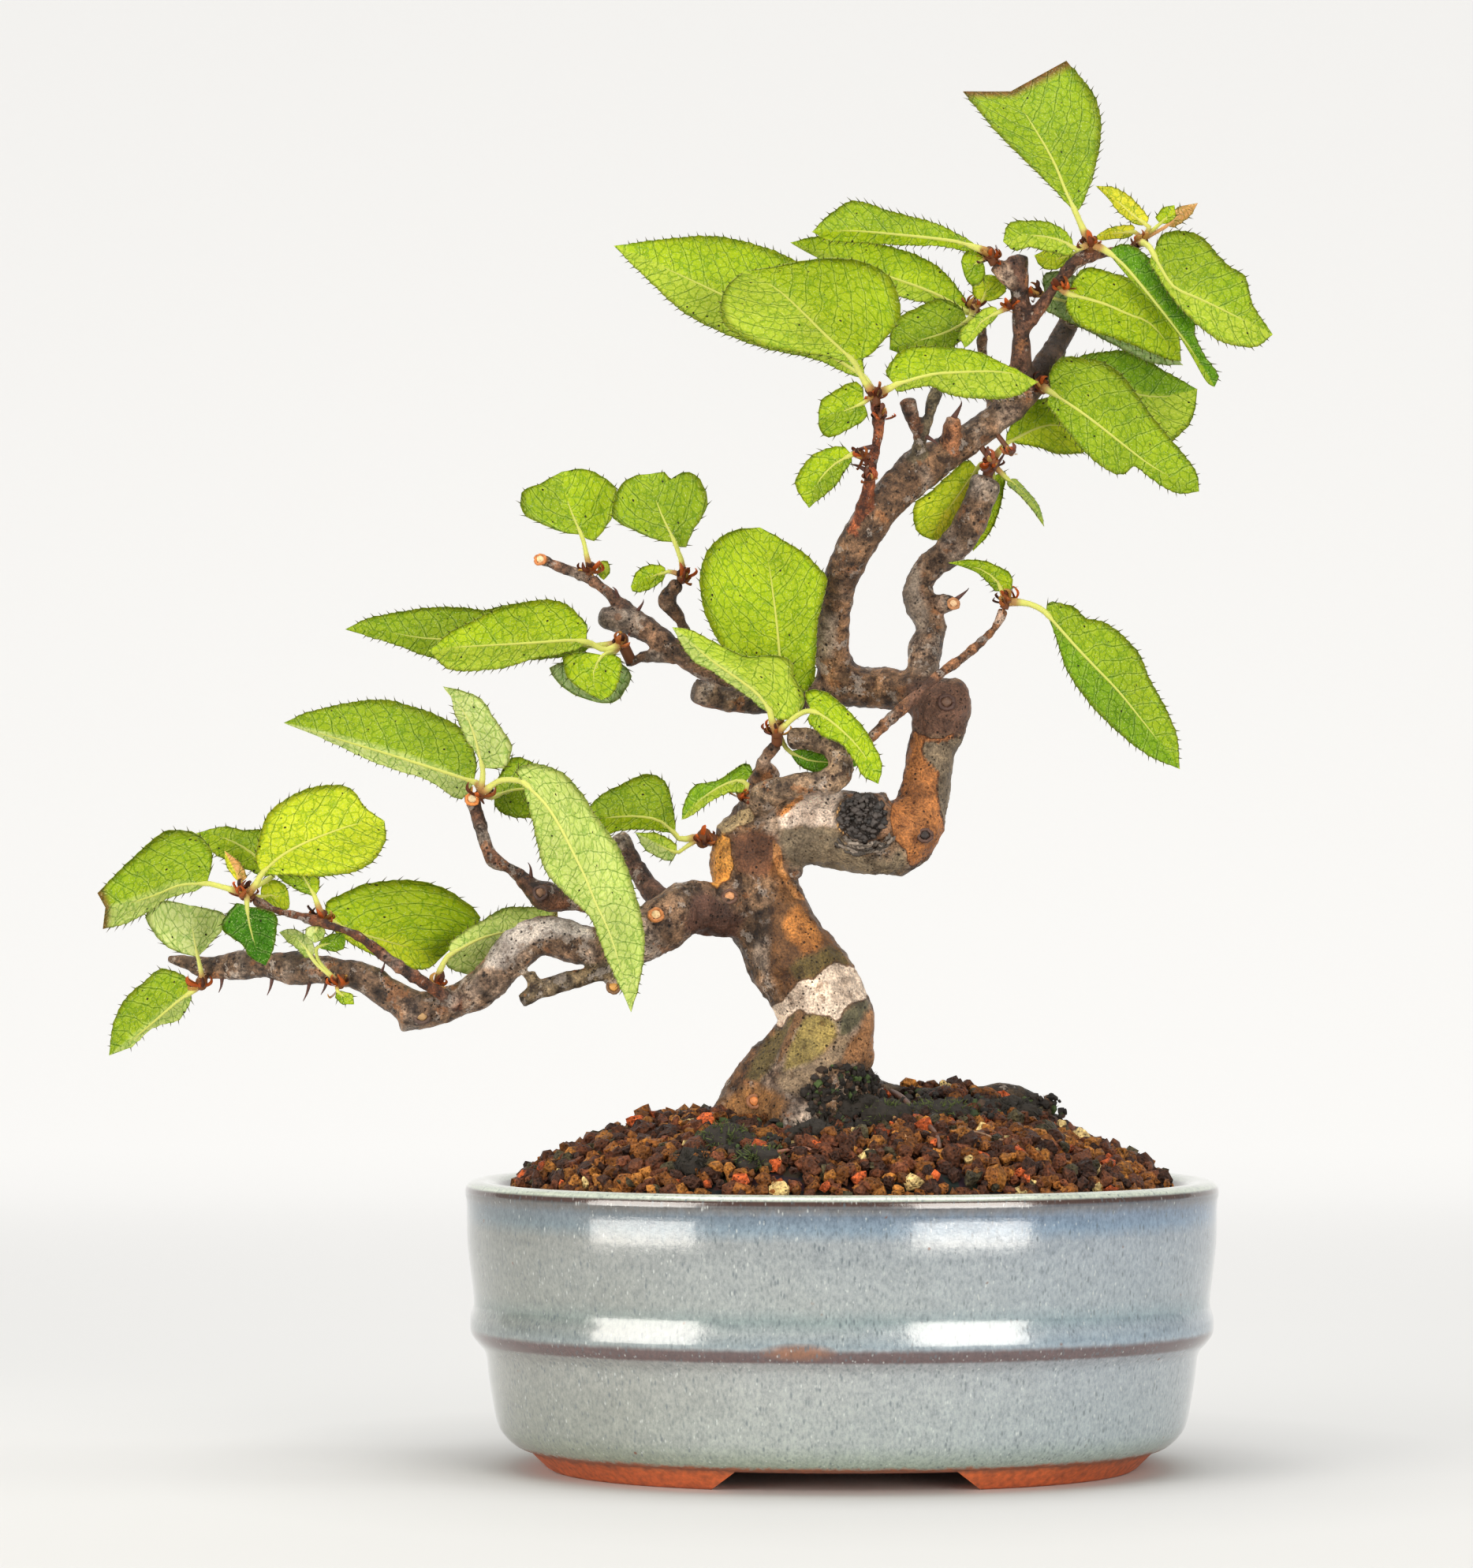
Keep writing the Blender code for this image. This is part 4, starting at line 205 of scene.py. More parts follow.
# Every leafy shoot: its name and its bud as (gx, gz, y, radius), then a row for each leaf. That row
# holds the look, the stalk, the rib, the upper and the lower edge; the y at the stalk's foot, at the
# blade's base and at its tip; and, where it isn't 0.2 and 0.2, how far each edge leans away from the
# front for each millimetre that it shows beside the rib. The look names the tones of the upper and
# the lower half, then "back" where the underside shows and "torn" where the tip is cut and brown
# The halves' tones are partly the leaves' own greens and partly painted light: a half that catches the
# light has a paler tone, one turned from it a darker.
SPRAYS = shoots_of("""
low_tip | -119 89.6 3 1.8;
mid pale | -119 89.4, -120.4 88.4 | -120.8 88, -124 85.7, -130.6 80.1, -136.2 76.1 | -122 90.6,
 -126.4 92.1, -129.9 89.5, -133.4 86.2, -135.3 82 | -121.4 85.6, -123.4 82.8, -127.8 81.4, -132 77.9 |
 3 3 14 | 0.25 0.8;
frost frost back | -118.9 90.4, -119.3 92.8 | -119.7 94.4, -120.6 99, -121.2 104 | -124.9 96.1,
 -128.2 99.4, -129.2 102.6, -126.5 104.8 | -117.4 97, -115.3 99.4, -114.8 102.2, -117.4 103.2 | 2 0 -5;
low_twig | -111 106.2 -10 1.6;
mid pale torn | -111.4 106.4, -116.5 107.8 | -118 108.1, -123.1 107.8, -127.8 105.9, -132.5 104.5,
 -136.9 103.6 | -117.2 112, -117.4 114.6, -120 117.2, -123.1 117.9, -125.9 117.6, -130.1 114.4,
 -138.4 106.3 | -120 106.9, -125.4 105.4, -128.2 103.4, -132.5 101, -137.4 99.6 | -10 -10 -16 | 0.15 0.6;
lemon lemon | -110.2 106.4, -108.7 108.3 | -107.8 110, -104.3 113.2, -100 115.6, -94.8 117.7, -90.1 119.2,
 -85 119.7 | -108.9 112.4, -108.3 116.3, -106.6 121, -103.8 123.3, -101 125, -96.7 126.2, -93 126.2,
 -90.6 125, -88.5 122 | -106 109.8, -101.9 109.7, -96.7 109.5, -90.6 110.4, -87.1 112.5, -85 116 |
 -10.5 -11 -22 | -0.1 0.2;
mid bright | -110.4 106.8, -107 108.6 | -105.6 109.8, -110 114, -115 116.6, -120 117.5 | -104.8 113,
 -106.5 117.6, -111.8 118, -115 118.6 | -108 109.6, -110.4 110.8, -113.7 112.1, -117.4 114.4 | -9 -6 1;
lemon lemon | -109.8 105.8, -108.8 105.7 | -108 105.6, -105.5 105.9, -102.6 104.4 | -107.6 107.8,
 -105.2 108.6, -103.2 107.2 | -106.8 104.6, -105 103.4, -103.2 103.2 | -9 -7.4 -6;
dark dark | -110.6 105.6, -110.6 104.4 | -110.6 103.8, -110 100, -108.8 96, -107.1 92.8 | -112.5 104.2,
 -115.3 100.3, -113.2 98, -111.3 96.7, -110 94.5 | -108.6 103.4, -105.3 102.3, -105.2 99.6, -105.7 96 |
 -11.5 -13 -11;
yellow pink | -111.2 106.6, -111.4 107.6 | -111.7 108.2, -113 111, -114.8 114.2 | -113 109.2,
 -114.5 111.8 | -110.8 109.4, -112.2 112.2 | -10 -10 -11;
low_twig_side | -96.8 102 -9.4 1.5;
bright mid | -96.8 102.4, -97.6 104.6 | -97.9 105.6, -100.3 109.7, -103 113, -105.6 115.6 | -97.2 108,
 -98.2 112, -100.6 115 | -99 106, -102 107.4, -105.2 110, -106.6 113 | -9.4 -9.4 -8.4 | 0 0;
bright lemon | -96.4 101.8, -95.6 101.4 | -94.8 101, -90.3 99, -82 96.6, -74.5 94.2 | -96 104.2,
 -92.5 106.2, -88.7 107.8, -81.2 108.7, -76 107.8, -71.6 105.8, -67.3 101.6, -70.4 98.4 | -94 99,
 -90 96.4, -85 94, -80 92.4, -76.8 92.4 | -9 -6.5 7 | 0.3 -0.3;
frost pale | -96.9 101.6, -97.2 100.8 | -97.4 100.3, -98 98.7, -98 97 | -99.2 99.8, -99.6 98.4 |
 -96.3 99.6, -96.4 98 | -9.6 -10.8 -11.2;
low_branch_front | -93.2 89.7 -7.4 1.5;
frost pale | -93.4 89.8, -96.6 92.2, -97.8 93.4 | -98.6 94.4, -100 96.6, -102 98.3, -104.6 99 | -98 95.6,
 -99.2 98.2, -102.6 99.6 | -99.6 94.4, -101.2 96, -103.4 97.8 | -7.4 -8.6 -7;
moss moss | -94 90.2, -97 93.4, -97.7 95.2 | -97.4 96.3, -95 97, -92.2 97.6 | -96.6 97.6, -94.5 98.6,
 -92.8 98.6 | -96.6 95.9, -94.2 95.6, -92.6 96.2 | -7.6 -9.4 -9;
light bright | -93.4 89.2, -93.8 88.6 | -93.8 88.2, -92.4 87, -90.6 85.6 | -92.6 88, -91 87.3 | -94 87,
 -92.8 85.8 | -7.4 -8 -8;
elbow | -75 89.2 -4.6 1.6;
pale frost back torn | -75 89.6, -74.8 91.5, -73.6 94 | -72.6 95, -67 97.9, -61.9 99.2, -56 100.4,
 -52.8 101.8 | -72.9 96.8, -69.9 99.3, -66.1 101.5, -62.9 103.4, -60.7 103.6, -56.5 103.7, -52.8 104 |
 -73.4 93, -70.8 91.6, -67.5 91.6, -63 93, -57 96.6, -53 99.8 | -4.6 -3 4 | 0.2 0.1;
left_riser | -66.9 125 -7 1.7;
mid frost | -67 125.4, -67.7 126.6 | -68.4 127, -74.4 129, -83.1 131.8, -90.1 133.9, -97.2 136.1,
 -103.8 138 | -68 130.6, -69.4 135.1, -71.8 137.5, -76 139.6, -80.7 141.2, -85 142.2, -90.1 141.9,
 -94.8 141, -99.6 139.8 | -69.7 124.8, -71.6 124, -77 127.4, -83.5 129.5, -88.3 131.3, -94.8 134.4 |
 -7 -4 12 | 0.25 0.6;
frost frost back | -67.1 125.6, -66.7 128.2 | -66.8 129.6, -68.3 135.6, -70.1 139.8, -74.2 144.8 |
 -68 132.3, -70.1 135.6, -72 140.3, -73 144 | -64.6 129.6, -62.4 130, -61.5 133.6, -63.1 136.5, -65 139.3,
 -67.8 142.8 | -8 -9.5 -15 | 0.3 0.3;
pale pale | -66.2 125.4, -63.6 127.2, -60.6 127.3 | -59 126.8, -55.1 122.9, -52.3 118.6, -49.9 113.9,
 -47.6 109.2, -45.7 104.5, -43.3 99.4, -41.4 93.7, -39.8 88.1, -39.1 84.1 | -60.6 129.2, -57.9 130.2,
 -54.6 129.8, -51.3 128.1, -48 124.3, -45.7 120.5, -42.9 116.8, -40.5 112.5, -37.7 103.6, -36.7 97,
 -37.5 90.4 | -58.9 124.8, -57.7 121, -55.6 112.1, -53.7 108.8, -49.9 105, -46.6 101.7, -43.8 94.7,
 -41.4 89.5 | -8 -14 -28 | 0.3 0.3;
mid mid | -66.4 124.6, -65.4 124.2 | -64.6 124.2, -61 125.5, -55 125.5, -48.6 123 | -63.6 128, -61 131.4,
 -57 130.3, -52 127 | -64.2 122.4, -62 120.8, -57.5 120.4, -52 121 | -6 -3.5 6 | 0.4 0.3;
trunk_left | -25.6 116.5 -1.2 2.3;
mid bright | -27.4 116.6, -29.9 116.3 | -30.8 117.2, -33.9 119.8, -38.2 120.6, -43 120.4, -49 120 |
 -31.2 121, -31.8 124.3, -33 127.1, -35.6 128.4, -38.6 127.6, -41.4 126.2, -45 124.2 | -32.4 117.6,
 -36 118.2, -41.4 118, -44.3 117.2 | -1.6 -2.5 -6 | 0.3 0.3;
light frost back | -27.2 116, -29.6 114.4 | -30.6 113.8, -34 115.2, -38.4 117.6 | -31 115.4, -34 117.2 |
 -32 112.4, -36 114.2 | -1.6 -3.6 -5;
trunk_top | -18.4 124.6 -4 1.5;
moss light | -18.2 124.9, -17.6 126 | -17.8 127, -20 127.2, -23.5 125.6, -27 123, -29.7 120 | -16.6 129,
 -17.9 130.4, -20.3 129, -23 127.2, -27.2 126.2, -29.2 122.9 | -18.4 125.2, -21.2 125, -24.5 123.3,
 -28.3 120.5 | -5 -6 -10.5 | 0.3 0.4;
curl | -11.9 136.4 -6.6 1.9;
light pale | -12.2 136.6, -12.8 138 | -13.2 140, -15.5 143.3, -19.8 146.6, -24.5 149.9, -28.7 153.6,
 -31.5 155.8 | -11.8 138.6, -8 139.5, -7 143, -8.9 146.6, -9.4 149.4, -12.7 150.6, -17.4 150.3,
 -21.2 151.8, -24.5 153.4, -28.2 155.3 | -14.4 140.4, -17.4 143, -20.7 145.3, -24.5 148, -27.8 149.9 |
 -7 -9 -11 | 0.1 0.5;
bright bright | -11.6 137, -11 140.6 | -11 143, -11.5 150.8, -12 156.5, -12.7 162.1, -13.6 168.2,
 -15.1 174.4 | -14.5 145, -19 149, -22.6 153, -25.2 158.3, -26.2 164, -25.4 168.7, -23 172, -19.8 173.8 |
 -7 143.8, -5.2 146, -4.9 150, -4.4 157, -2.8 164.2, -4.2 166.8, -7.1 169.6, -9.9 171.4 | -6 -3.5 -7 |
 0.05 0.05;
bright bright | -11 137, -9 138.8, -7 140 | -5.6 140.2, -3.3 139.3, 0 136.7, 2.8 133.9, 5.2 130.6,
 6.9 126.6 | -6.6 143.6, -3.3 143.8, 0 141.4, 2.8 138.6, 5.2 135.3, 7.4 130.4 | -6 138.2, -3.3 135.6,
 0 134.1, 2.4 131.1, 4.2 128.2 | -8 -11 -17;
deep deep | -11.6 135.8, -10.6 133.8 | -9.6 132.6, -6 131, -2 130.6, 3 130 | -7.6 133, -4 132.4,
 0.6 132.6 | -8.6 131, -6 129.2, -1 128.8 | -5 -3 -2.6 | 0 0;
middle_tip | -46.6 166.8 18.6 1.6;
mid bright | -46.9 167, -47.5 169.5, -47.9 171.5 | -48.4 173, -49.8 176.2, -51 179.5, -52.1 184.8 |
 -51.7 173.6, -55 174.8, -58.7 176.7, -59.6 179, -59 181.4, -55.9 182.6 | -46.3 172, -44.2 174.2,
 -42.2 177.6, -42 181.4, -44.1 183.5, -47.6 185.2 | 18.6 19 24;
light lemon | -46.2 167, -45.6 167.4 | -45.2 167.2, -44.4 166.6, -44.2 164.6 | -45 168, -43.4 167.8,
 -43.2 166 | -45.4 166, -45 165.2 | 19 21 21.5 | 0 0;
middle_twig | -29.6 165.4 9.4 1.5;
mid mid | -29.5 165.8, -29.7 168, -30.4 170 | -31 171.6, -33.8 177.6, -35.2 181.9, -35.6 184.4 |
 -34.3 172.2, -38.5 173.9, -42.3 176.2, -42.3 179, -41.2 182, -38.5 183.9 | -29.3 170.6, -27.7 173.9,
 -25.8 176.7, -25.1 180, -27 184, -30 184.6, -31.6 183, -33 184.6 | 9.4 10 16;
bright bright | -30 165.6, -31.8 166.2 | -32.6 166, -35.5 165.2, -39.2 163.4 | -33.2 167, -35.7 167.3,
 -38 166.1 | -33.2 164.8, -35.7 163, -38.4 162.4 | 10 12 13;
middle_left | -40.9 153.1 14.2 2;
bright light | -41.6 152.4, -44.1 151.6, -46.6 152.8 | -47.6 153.1, -50.3 153.4, -57.3 152.9, -64.4 152.5,
 -71.4 152.1, -76.8 151.4 | -47.4 156, -49.3 158.3, -51.7 160.2, -55 160.8, -60.1 160.2, -64.4 159,
 -68.6 156.9, -72.4 155.1 | -49 151.8, -54 150.6, -57.3 150.1, -62 148.5, -66.7 147.9, -72.8 148 |
 13 10 2 | 0.15 0.4;
mid mid | -42 152.6, -45 152.4 | -46.6 152.4, -60 153.3, -74.7 153.6, -79.9 154.1, -85.5 155.1,
 -92.4 155.4 | -49 155.6, -55 159.4, -61 160, -66.7 158.9, -70.5 159.4, -76.1 159.4, -80.8 158.8,
 -87.9 157.4 | -49 150.8, -58 149.8, -70 149.6, -76.6 150.3, -83.2 152.7 | 14 14 20 | 0 0.2;
bright bright | -41.8 152, -43.4 151 | -44.4 150.6, -46 148, -46 145, -44.6 142.2 | -48.5 151, -51.7 150,
 -50.8 146.4, -48 144 | -42.4 150.6, -41 149.4, -41.3 146.6, -42.7 143.4 | 13 11 8;
blue blue back | -41.4 152, -42.4 151 | -43.2 150.2, -46 147.5, -47 144, -45.6 141.8 | -48 150, -54 148.4,
 -53 146, -50 143.5 | -41 149, -39.2 146.8, -40.5 143.8, -42.5 141.9 | 13.6 13 11 | 0 0;
right_twig | 30.9 160.9 -1.4 1.5;
bright mid | 30.6 161.2, 30.2 162 | 29.9 162.6, 28.6 164.9, 25 167, 19.9 167.8 | 31.6 163, 31.5 165.6,
 29.6 166.9, 26.8 168, 23.5 168.3 | 28.9 162.6, 27.4 164.2, 25.4 165.9, 22.5 167.1 | -1.6 -2.4 -8;
mid moss | 31.4 160.6, 34.8 160.2, 37.2 159.2 | 38.2 158.4, 43.7 152.2, 47.5 148.2, 51.7 143.8,
 55.5 139.1, 59.2 134.4, 63 129.4 | 38.8 160.4, 43.2 159.5, 45.6 157.4, 49.8 156.2, 55 151.3, 57.6 145.6,
 59.7 141.9, 62.3 135.8 | 38.8 157, 40.2 153.6, 42.3 147.5, 47 140.9, 52.2 135.8, 57.3 132 | -1.6 -3 -14;
right_branch_top | 27.6 186.2 8 1.8;
lemon yellow | 27.2 186.4, 26.2 186.2 | 25.4 185.4, 22.3 181, 19 176.4, 17 172 | 23.4 186.8, 20.2 184.2,
 17 181.2, 13.8 178.6, 14.1 173.9 | 25.6 183.4, 25.2 181, 23.5 177.4, 20.6 172.6 | 9.5 12.4 15 | 0 0;
bright mid | 27.9 186.2, 28.2 185 | 28.4 184, 27.4 179, 25.6 174, 24.6 170 | 30.6 184.6, 30.1 180.9,
 29.1 176.7, 27.2 172.9 | 26.8 183, 25.2 178, 23.8 173.4 | 10 13 14 | 0 0;
bright light | 28.4 186, 30.4 184 | 31.2 183.2, 33.8 180.9, 36.2 178.1, 37.8 174.6 | 32.4 183.4,
 34.6 181.2, 36.8 178.3 | 31 182.4, 33.2 180.5, 35.6 177.8 | 8 9 10 | 4 -4;
bright lemon | 28 186.8, 29.9 189.2 | 30.6 190, 33.2 191.3, 36.3 192.8, 40 193.5, 49 192 | 31.2 192.2,
 33 195.4, 36 198, 42 198.4, 46.6 195.6 | 32 190.2, 37 189.4, 40 188.3, 45.3 188.6 | 8.6 9.6 13 | 0 0;
upper_left_twig | 6.2 199.2 -10 1.8;
bright light | 5.8 199.8, 5 201.4 | 4.4 202.4, -5 208.5, -13 213.3, -21.7 217.6, -34.7 223.7, -42.4 227 |
 3.6 207, 0 214, -5 221, -8.8 224.2, -14.9 226.8, -23.8 228.7, -33.3 228.1, -38 227.5 | 2 202.8,
 -4.6 205.8, -14.4 208, -22.4 211, -29.5 214.8, -35.6 220.4 | -9 -6 8 | 0.2 0.3;
bright light | 5.8 199.6, 4.4 201.6, 3 204.2 | 2.2 205.6, -3.6 211, -7.4 214.8, -12.1 219, -18 222.3 |
 5 206.4, 8.1 209.6, 10 212, 11 214.8, 9.5 220.4, 4.8 223.7, -2 224.6, -8.3 223.9, -12.6 223 | 0.6 205.4,
 -2.7 206.4, -7.4 207, -14.4 208.2, -21 211.6, -22.4 215.3, -21.2 219.4 | -10.5 -13.5 -22 | 0.15 0.2;
bright light | 6.8 199.4, 9.1 200.4 | 10 201, 16.1 202.8, 20.8 203.3, 30.1 203.4, 36.7 201.5 | 8.5 203.6,
 11.4 207.3, 15.7 208.2, 24.6 207.3, 30.1 205, 33 203.7 | 10.6 199.8, 16.1 200.9, 19 199.8, 22.7 198.8,
 31.5 198.7 | -10.5 -12 -9;
bright mid | 5.6 198.8, 4.8 198.2 | 4.2 197.7, 1 196.3, -4.2 194.8 | 3.8 200.6, 2 201.4, -1.3 199.7,
 -3.6 197.9 | 4.6 195, 1.1 192.7, -2 191.3, -3.8 192.6 | -10.5 -11.5 -14;
upper_left_side | 3.8 187.9 -8.8 1.3;
bright mid | 3.4 188, 2.6 188.2 | 2 188, -1.5 186, -4.5 182.5, -6 178 | 0.1 189.4, -3.6 188.7, -6.4 186.6,
 -8.4 182.6 | 1.8 186.8, 0.4 184.6, -1.4 182, -4.1 179.8 | -9 -9.4 -11.5;
upper_middle | 24.9 215.8 6.6 1.5;
bright light | 24.8 215.4, 24.2 214.8 | 23.4 214.6, 19.4 217.1, 15.2 219, 9 221.2, -9.5 227.6 |
 23.4 216.4, 21.3 219.5, 18 223, 12.4 225.8, 4 227.8, -4 228.6 | 21 215.6, 17.5 216.4, 13.8 216.8,
 8 218.6, 2 221.6, -6 225.6 | 6 5 9 | 0.1 0.1;
mid mid | 24.6 215, 24.2 213.8 | 23.6 213, 20 211, 15 209.4, 9 207.6 | 22 215.6, 18.5 217, 14.3 215.4,
 10 212.6 | 23.4 210.8, 20 207.6, 14 206.2 | 5 3 0;
lemon lemon | 25.2 216, 26 216.4 | 26.4 216.8, 27 218.6, 28 221.6 | 25 217.4, 24.6 219.4, 25.4 221.2 |
 28 216.8, 30.4 218.2, 30.4 220.4 | 6 5 4 | 0 0;
stub_side | 31 215.6 -1.6 1.1;
light light | 30.7 215.4, 30 214.9 | 29.4 214.6, 26 212.6, 23 207.9 | 28.6 215.4, 26.4 214.9, 22.4 211 |
 29 213.6, 26.6 211.6, 24.2 208.8 | -2 -3 -5;
stub_back | 36 218.2 0.4 1.2;
blue blue back | 36.4 218.2, 37.2 218 | 38 217.6, 44 215.8, 52 211.5, 63.7 204.7 | 38 221.6, 42 221.8,
 48 219, 56 213 | 37.6 215.4, 41 213.6, 46 211.2, 52 208, 58 205.2 | 0.6 1.6 4 | 0 0;
stub_twig | 41 219.4 -3.6 1.1;
bright bright | 41.2 219.2, 41.8 218.4 | 42.4 218, 48.7 216.3, 53.6 214.2, 58 212.2, 63.4 205.4 |
 43.4 220.4, 45.7 222.8, 51.3 221.6, 56.9 219.4, 60 216.1, 62.6 211 | 42 216.2, 42.8 213.9, 45.7 211.6,
 53.2 209, 60.7 206 | -3.8 -3.4 -2 | 0 0.2;
stub_head | 27.7 225.4 -3.6 1.8;
mid bright | 27.2 225.8, 25.9 226.4 | 25 226.7, 20.8 227.9, 11.4 229, 2 229.8, -5.4 229.6 | 24.6 227.6,
 20.4 229.8, 17.1 231.3, 9.1 233.4, 2.5 235.3, -2 232.8 | 23.6 226, 18.5 227, 11.4 227.2, 4 227.6,
 -2 228 | -4 -5 -10 | 0.3 0.5;
bright mid | 27.3 225, 26.8 224.6 | 26.4 224.3, 24.8 223.5, 22.6 222.8 | 26.4 226.8, 24.2 226.4,
 22.6 224.8 | 26.8 222, 26 219.9, 23.9 219.9 | -3 -2 -1 | 0 0;
top | 46.4 227.4 -5.2 1.8;
mid mid torn | 46.1 228, 45 230.4, 44.2 232.2 | 43.7 233.4, 41.8 237.5, 39.9 242.2, 37.1 247.3,
 31.7 255.8 | 42.6 234.4, 39.9 237.5, 36.2 241.2, 29.6 247.8, 26.8 251.1, 22.8 255.8 | 44.6 234,
 45.6 236.5, 47 240.3, 48.4 248.3, 47.2 254.9, 42.1 261.6 | -5.4 -6 4 | 0.25 0.25;
mid light | 45.6 227, 44.2 226.4 | 43.4 226.6, 41.2 227.9, 37.3 228.8, 33.5 228.8, 30.2 227.8 | 43 228,
 41.4 230, 38.6 231.3, 34.7 231.6, 31.3 231 | 42.4 225.2, 38.6 226, 35 226.8, 32.4 226.2 | -6 -7 -9;
lemon lemon | 45.8 226.8, 44.4 226 | 43.6 225.6, 40 224.4, 36 225.2 | 42.6 226.4, 39 226.4 | 42.6 224.2,
 39.9 222.6, 37.4 223.2 | -3 0 1.4 | 0 0;
deep mid | 47.2 227.2, 48.8 226.4 | 49.8 225.8, 52.5 223.6, 56 219.6, 60.5 214, 65 208, 67.5 204,
 69.6 200.6 | 51.4 227, 54 227, 57 225, 60.9 221.3, 62.3 218, 65.7 214, 66 210, 68 206, 70.2 202.8 |
 50.6 224.7, 54 220.6, 58 216.4, 62.4 211, 65 207, 68 201.8 | -5.6 -5.6 -12;
apex | 55.8 227.9 -2 1.6;
mid light | 56.2 227.6, 57.4 226.9 | 58.2 225.6, 59.8 222.6, 62.2 219.2, 67 217, 72 214.6, 80.5 210.4 |
 60.2 229.2, 64.9 229.5, 67.7 228.1, 71.9 223.4, 75.2 221.2, 76.9 215.6 | 57.6 223.9, 59.4 221,
 61.6 217.6, 65.8 213, 71 209.2, 77 208.2 | -4 -9.5 -16 | 0.2 0.1;
yellow yellow | 56 228.4, 57.6 230 | 56.8 231, 54.6 232.6, 51.5 235.3, 47.5 238.2 | 57.2 232.2,
 54.6 235.4, 51 237.8 | 55.4 230.9, 52.5 232.8, 49.5 236.2 | -1.6 -2 0;
yellow yellow | 55.6 228.8, 55 229.4 | 54.6 229.6, 50.5 229.2, 47.3 228.4 | 54.4 230.7, 51 230.5,
 48.5 229.5 | 54 228.7, 51 228.3, 48.5 228 | -1 0 1.4;
bright lemon | 56.4 228.6, 59 230.6 | 59.6 231.2, 61 232.6, 62.2 234.6 | 58.8 232.2, 60.2 234 |
 60.9 231.2, 62.3 232.6 | -1.6 -2 -3;
pink pink | 56.6 228.4, 60 230.2 | 60.8 230.8, 63.4 233, 66.6 235 | 60.6 232, 63.2 234.2 | 62 230.6,
 65 232.6 | -1.4 -1 1;
trunk_right | 37.8 200.6 1 1.7;
mid mid | 37.9 200.4, 38.6 200 | 39.2 199.6, 43.8 196.6, 47.5 193.9, 51.3 190.9, 55.1 187.9, 58.8 185.3,
 66.7 181.1 | 38.9 203, 41.2 206, 46 205.8, 49.8 204.7, 53.2 201.8, 58 195, 62.2 189.8, 66 184.9 |
 38.4 197.6, 40.6 194.6, 43 191.4, 45.4 188.6, 49.8 185.1, 52.8 184.5, 54.8 185.9, 58.1 183.4,
 62.6 180.9 | 0 -1 -14 | 0.15 0.2;
moss light | 38.4 201, 40.2 202 | 41.2 202.2, 48 201.5, 56.2 199, 62 199, 66.4 200.2 | 42.6 205, 46 206.6,
 52.8 207.3, 56.9 205.6, 60.7 203.3 | 43 199.5, 48 195.5, 54 191.5, 59.5 189.6, 64.1 192.8, 65.8 196.2 |
 2 5 10 | 0.2 0.2
""")


# How the glaze's colour changes up the pot: height as a share of the pot's, and tint
GLAZE_BANDS = (
    (0.09, (0.95, 1.05, 0.8)), (0.17, (1.04, 1.06, 0.98)), (0.4, (1.04, 1.02, 0.98)),
    (0.45, (0.85, 0.78, 0.76)), (0.5, (0.85, 0.95, 1.0)), (0.54, (1.0, 1.04, 1.04)),
    (0.58, (0.78, 0.9, 0.88)), (0.63, (0.96, 0.98, 0.95)), (0.84, (1.0, 1.0, 1.0)),
    (0.885, (0.66, 0.82, 0.98)), (0.925, (0.5, 0.6, 0.74)), (0.95, (0.4, 0.36, 0.36)),
)

# Colours of the halves of a blade, linear: partly the leaves' own greens and partly painted sheen and
# shade, a half tilted to the light being given a paler tone and one turned away a darker
TONES = {
    "dark": (0.055, 0.2, 0.002), "deep": (0.1, 0.25, 0.004), "moss": (0.18, 0.32, 0.006),
    "mid": (0.27, 0.38, 0.01), "bright": (0.36, 0.48, 0.008), "light": (0.43, 0.54, 0.04),
    "lemon": (0.54, 0.62, 0.02), "pale": (0.49, 0.58, 0.15), "frost": (0.57, 0.65, 0.23),
    "under": (0.42, 0.5, 0.15), "blue": (0.36, 0.46, 0.2), "yellow": (0.66, 0.62, 0.03),
    "pink": (0.72, 0.36, 0.13),
}

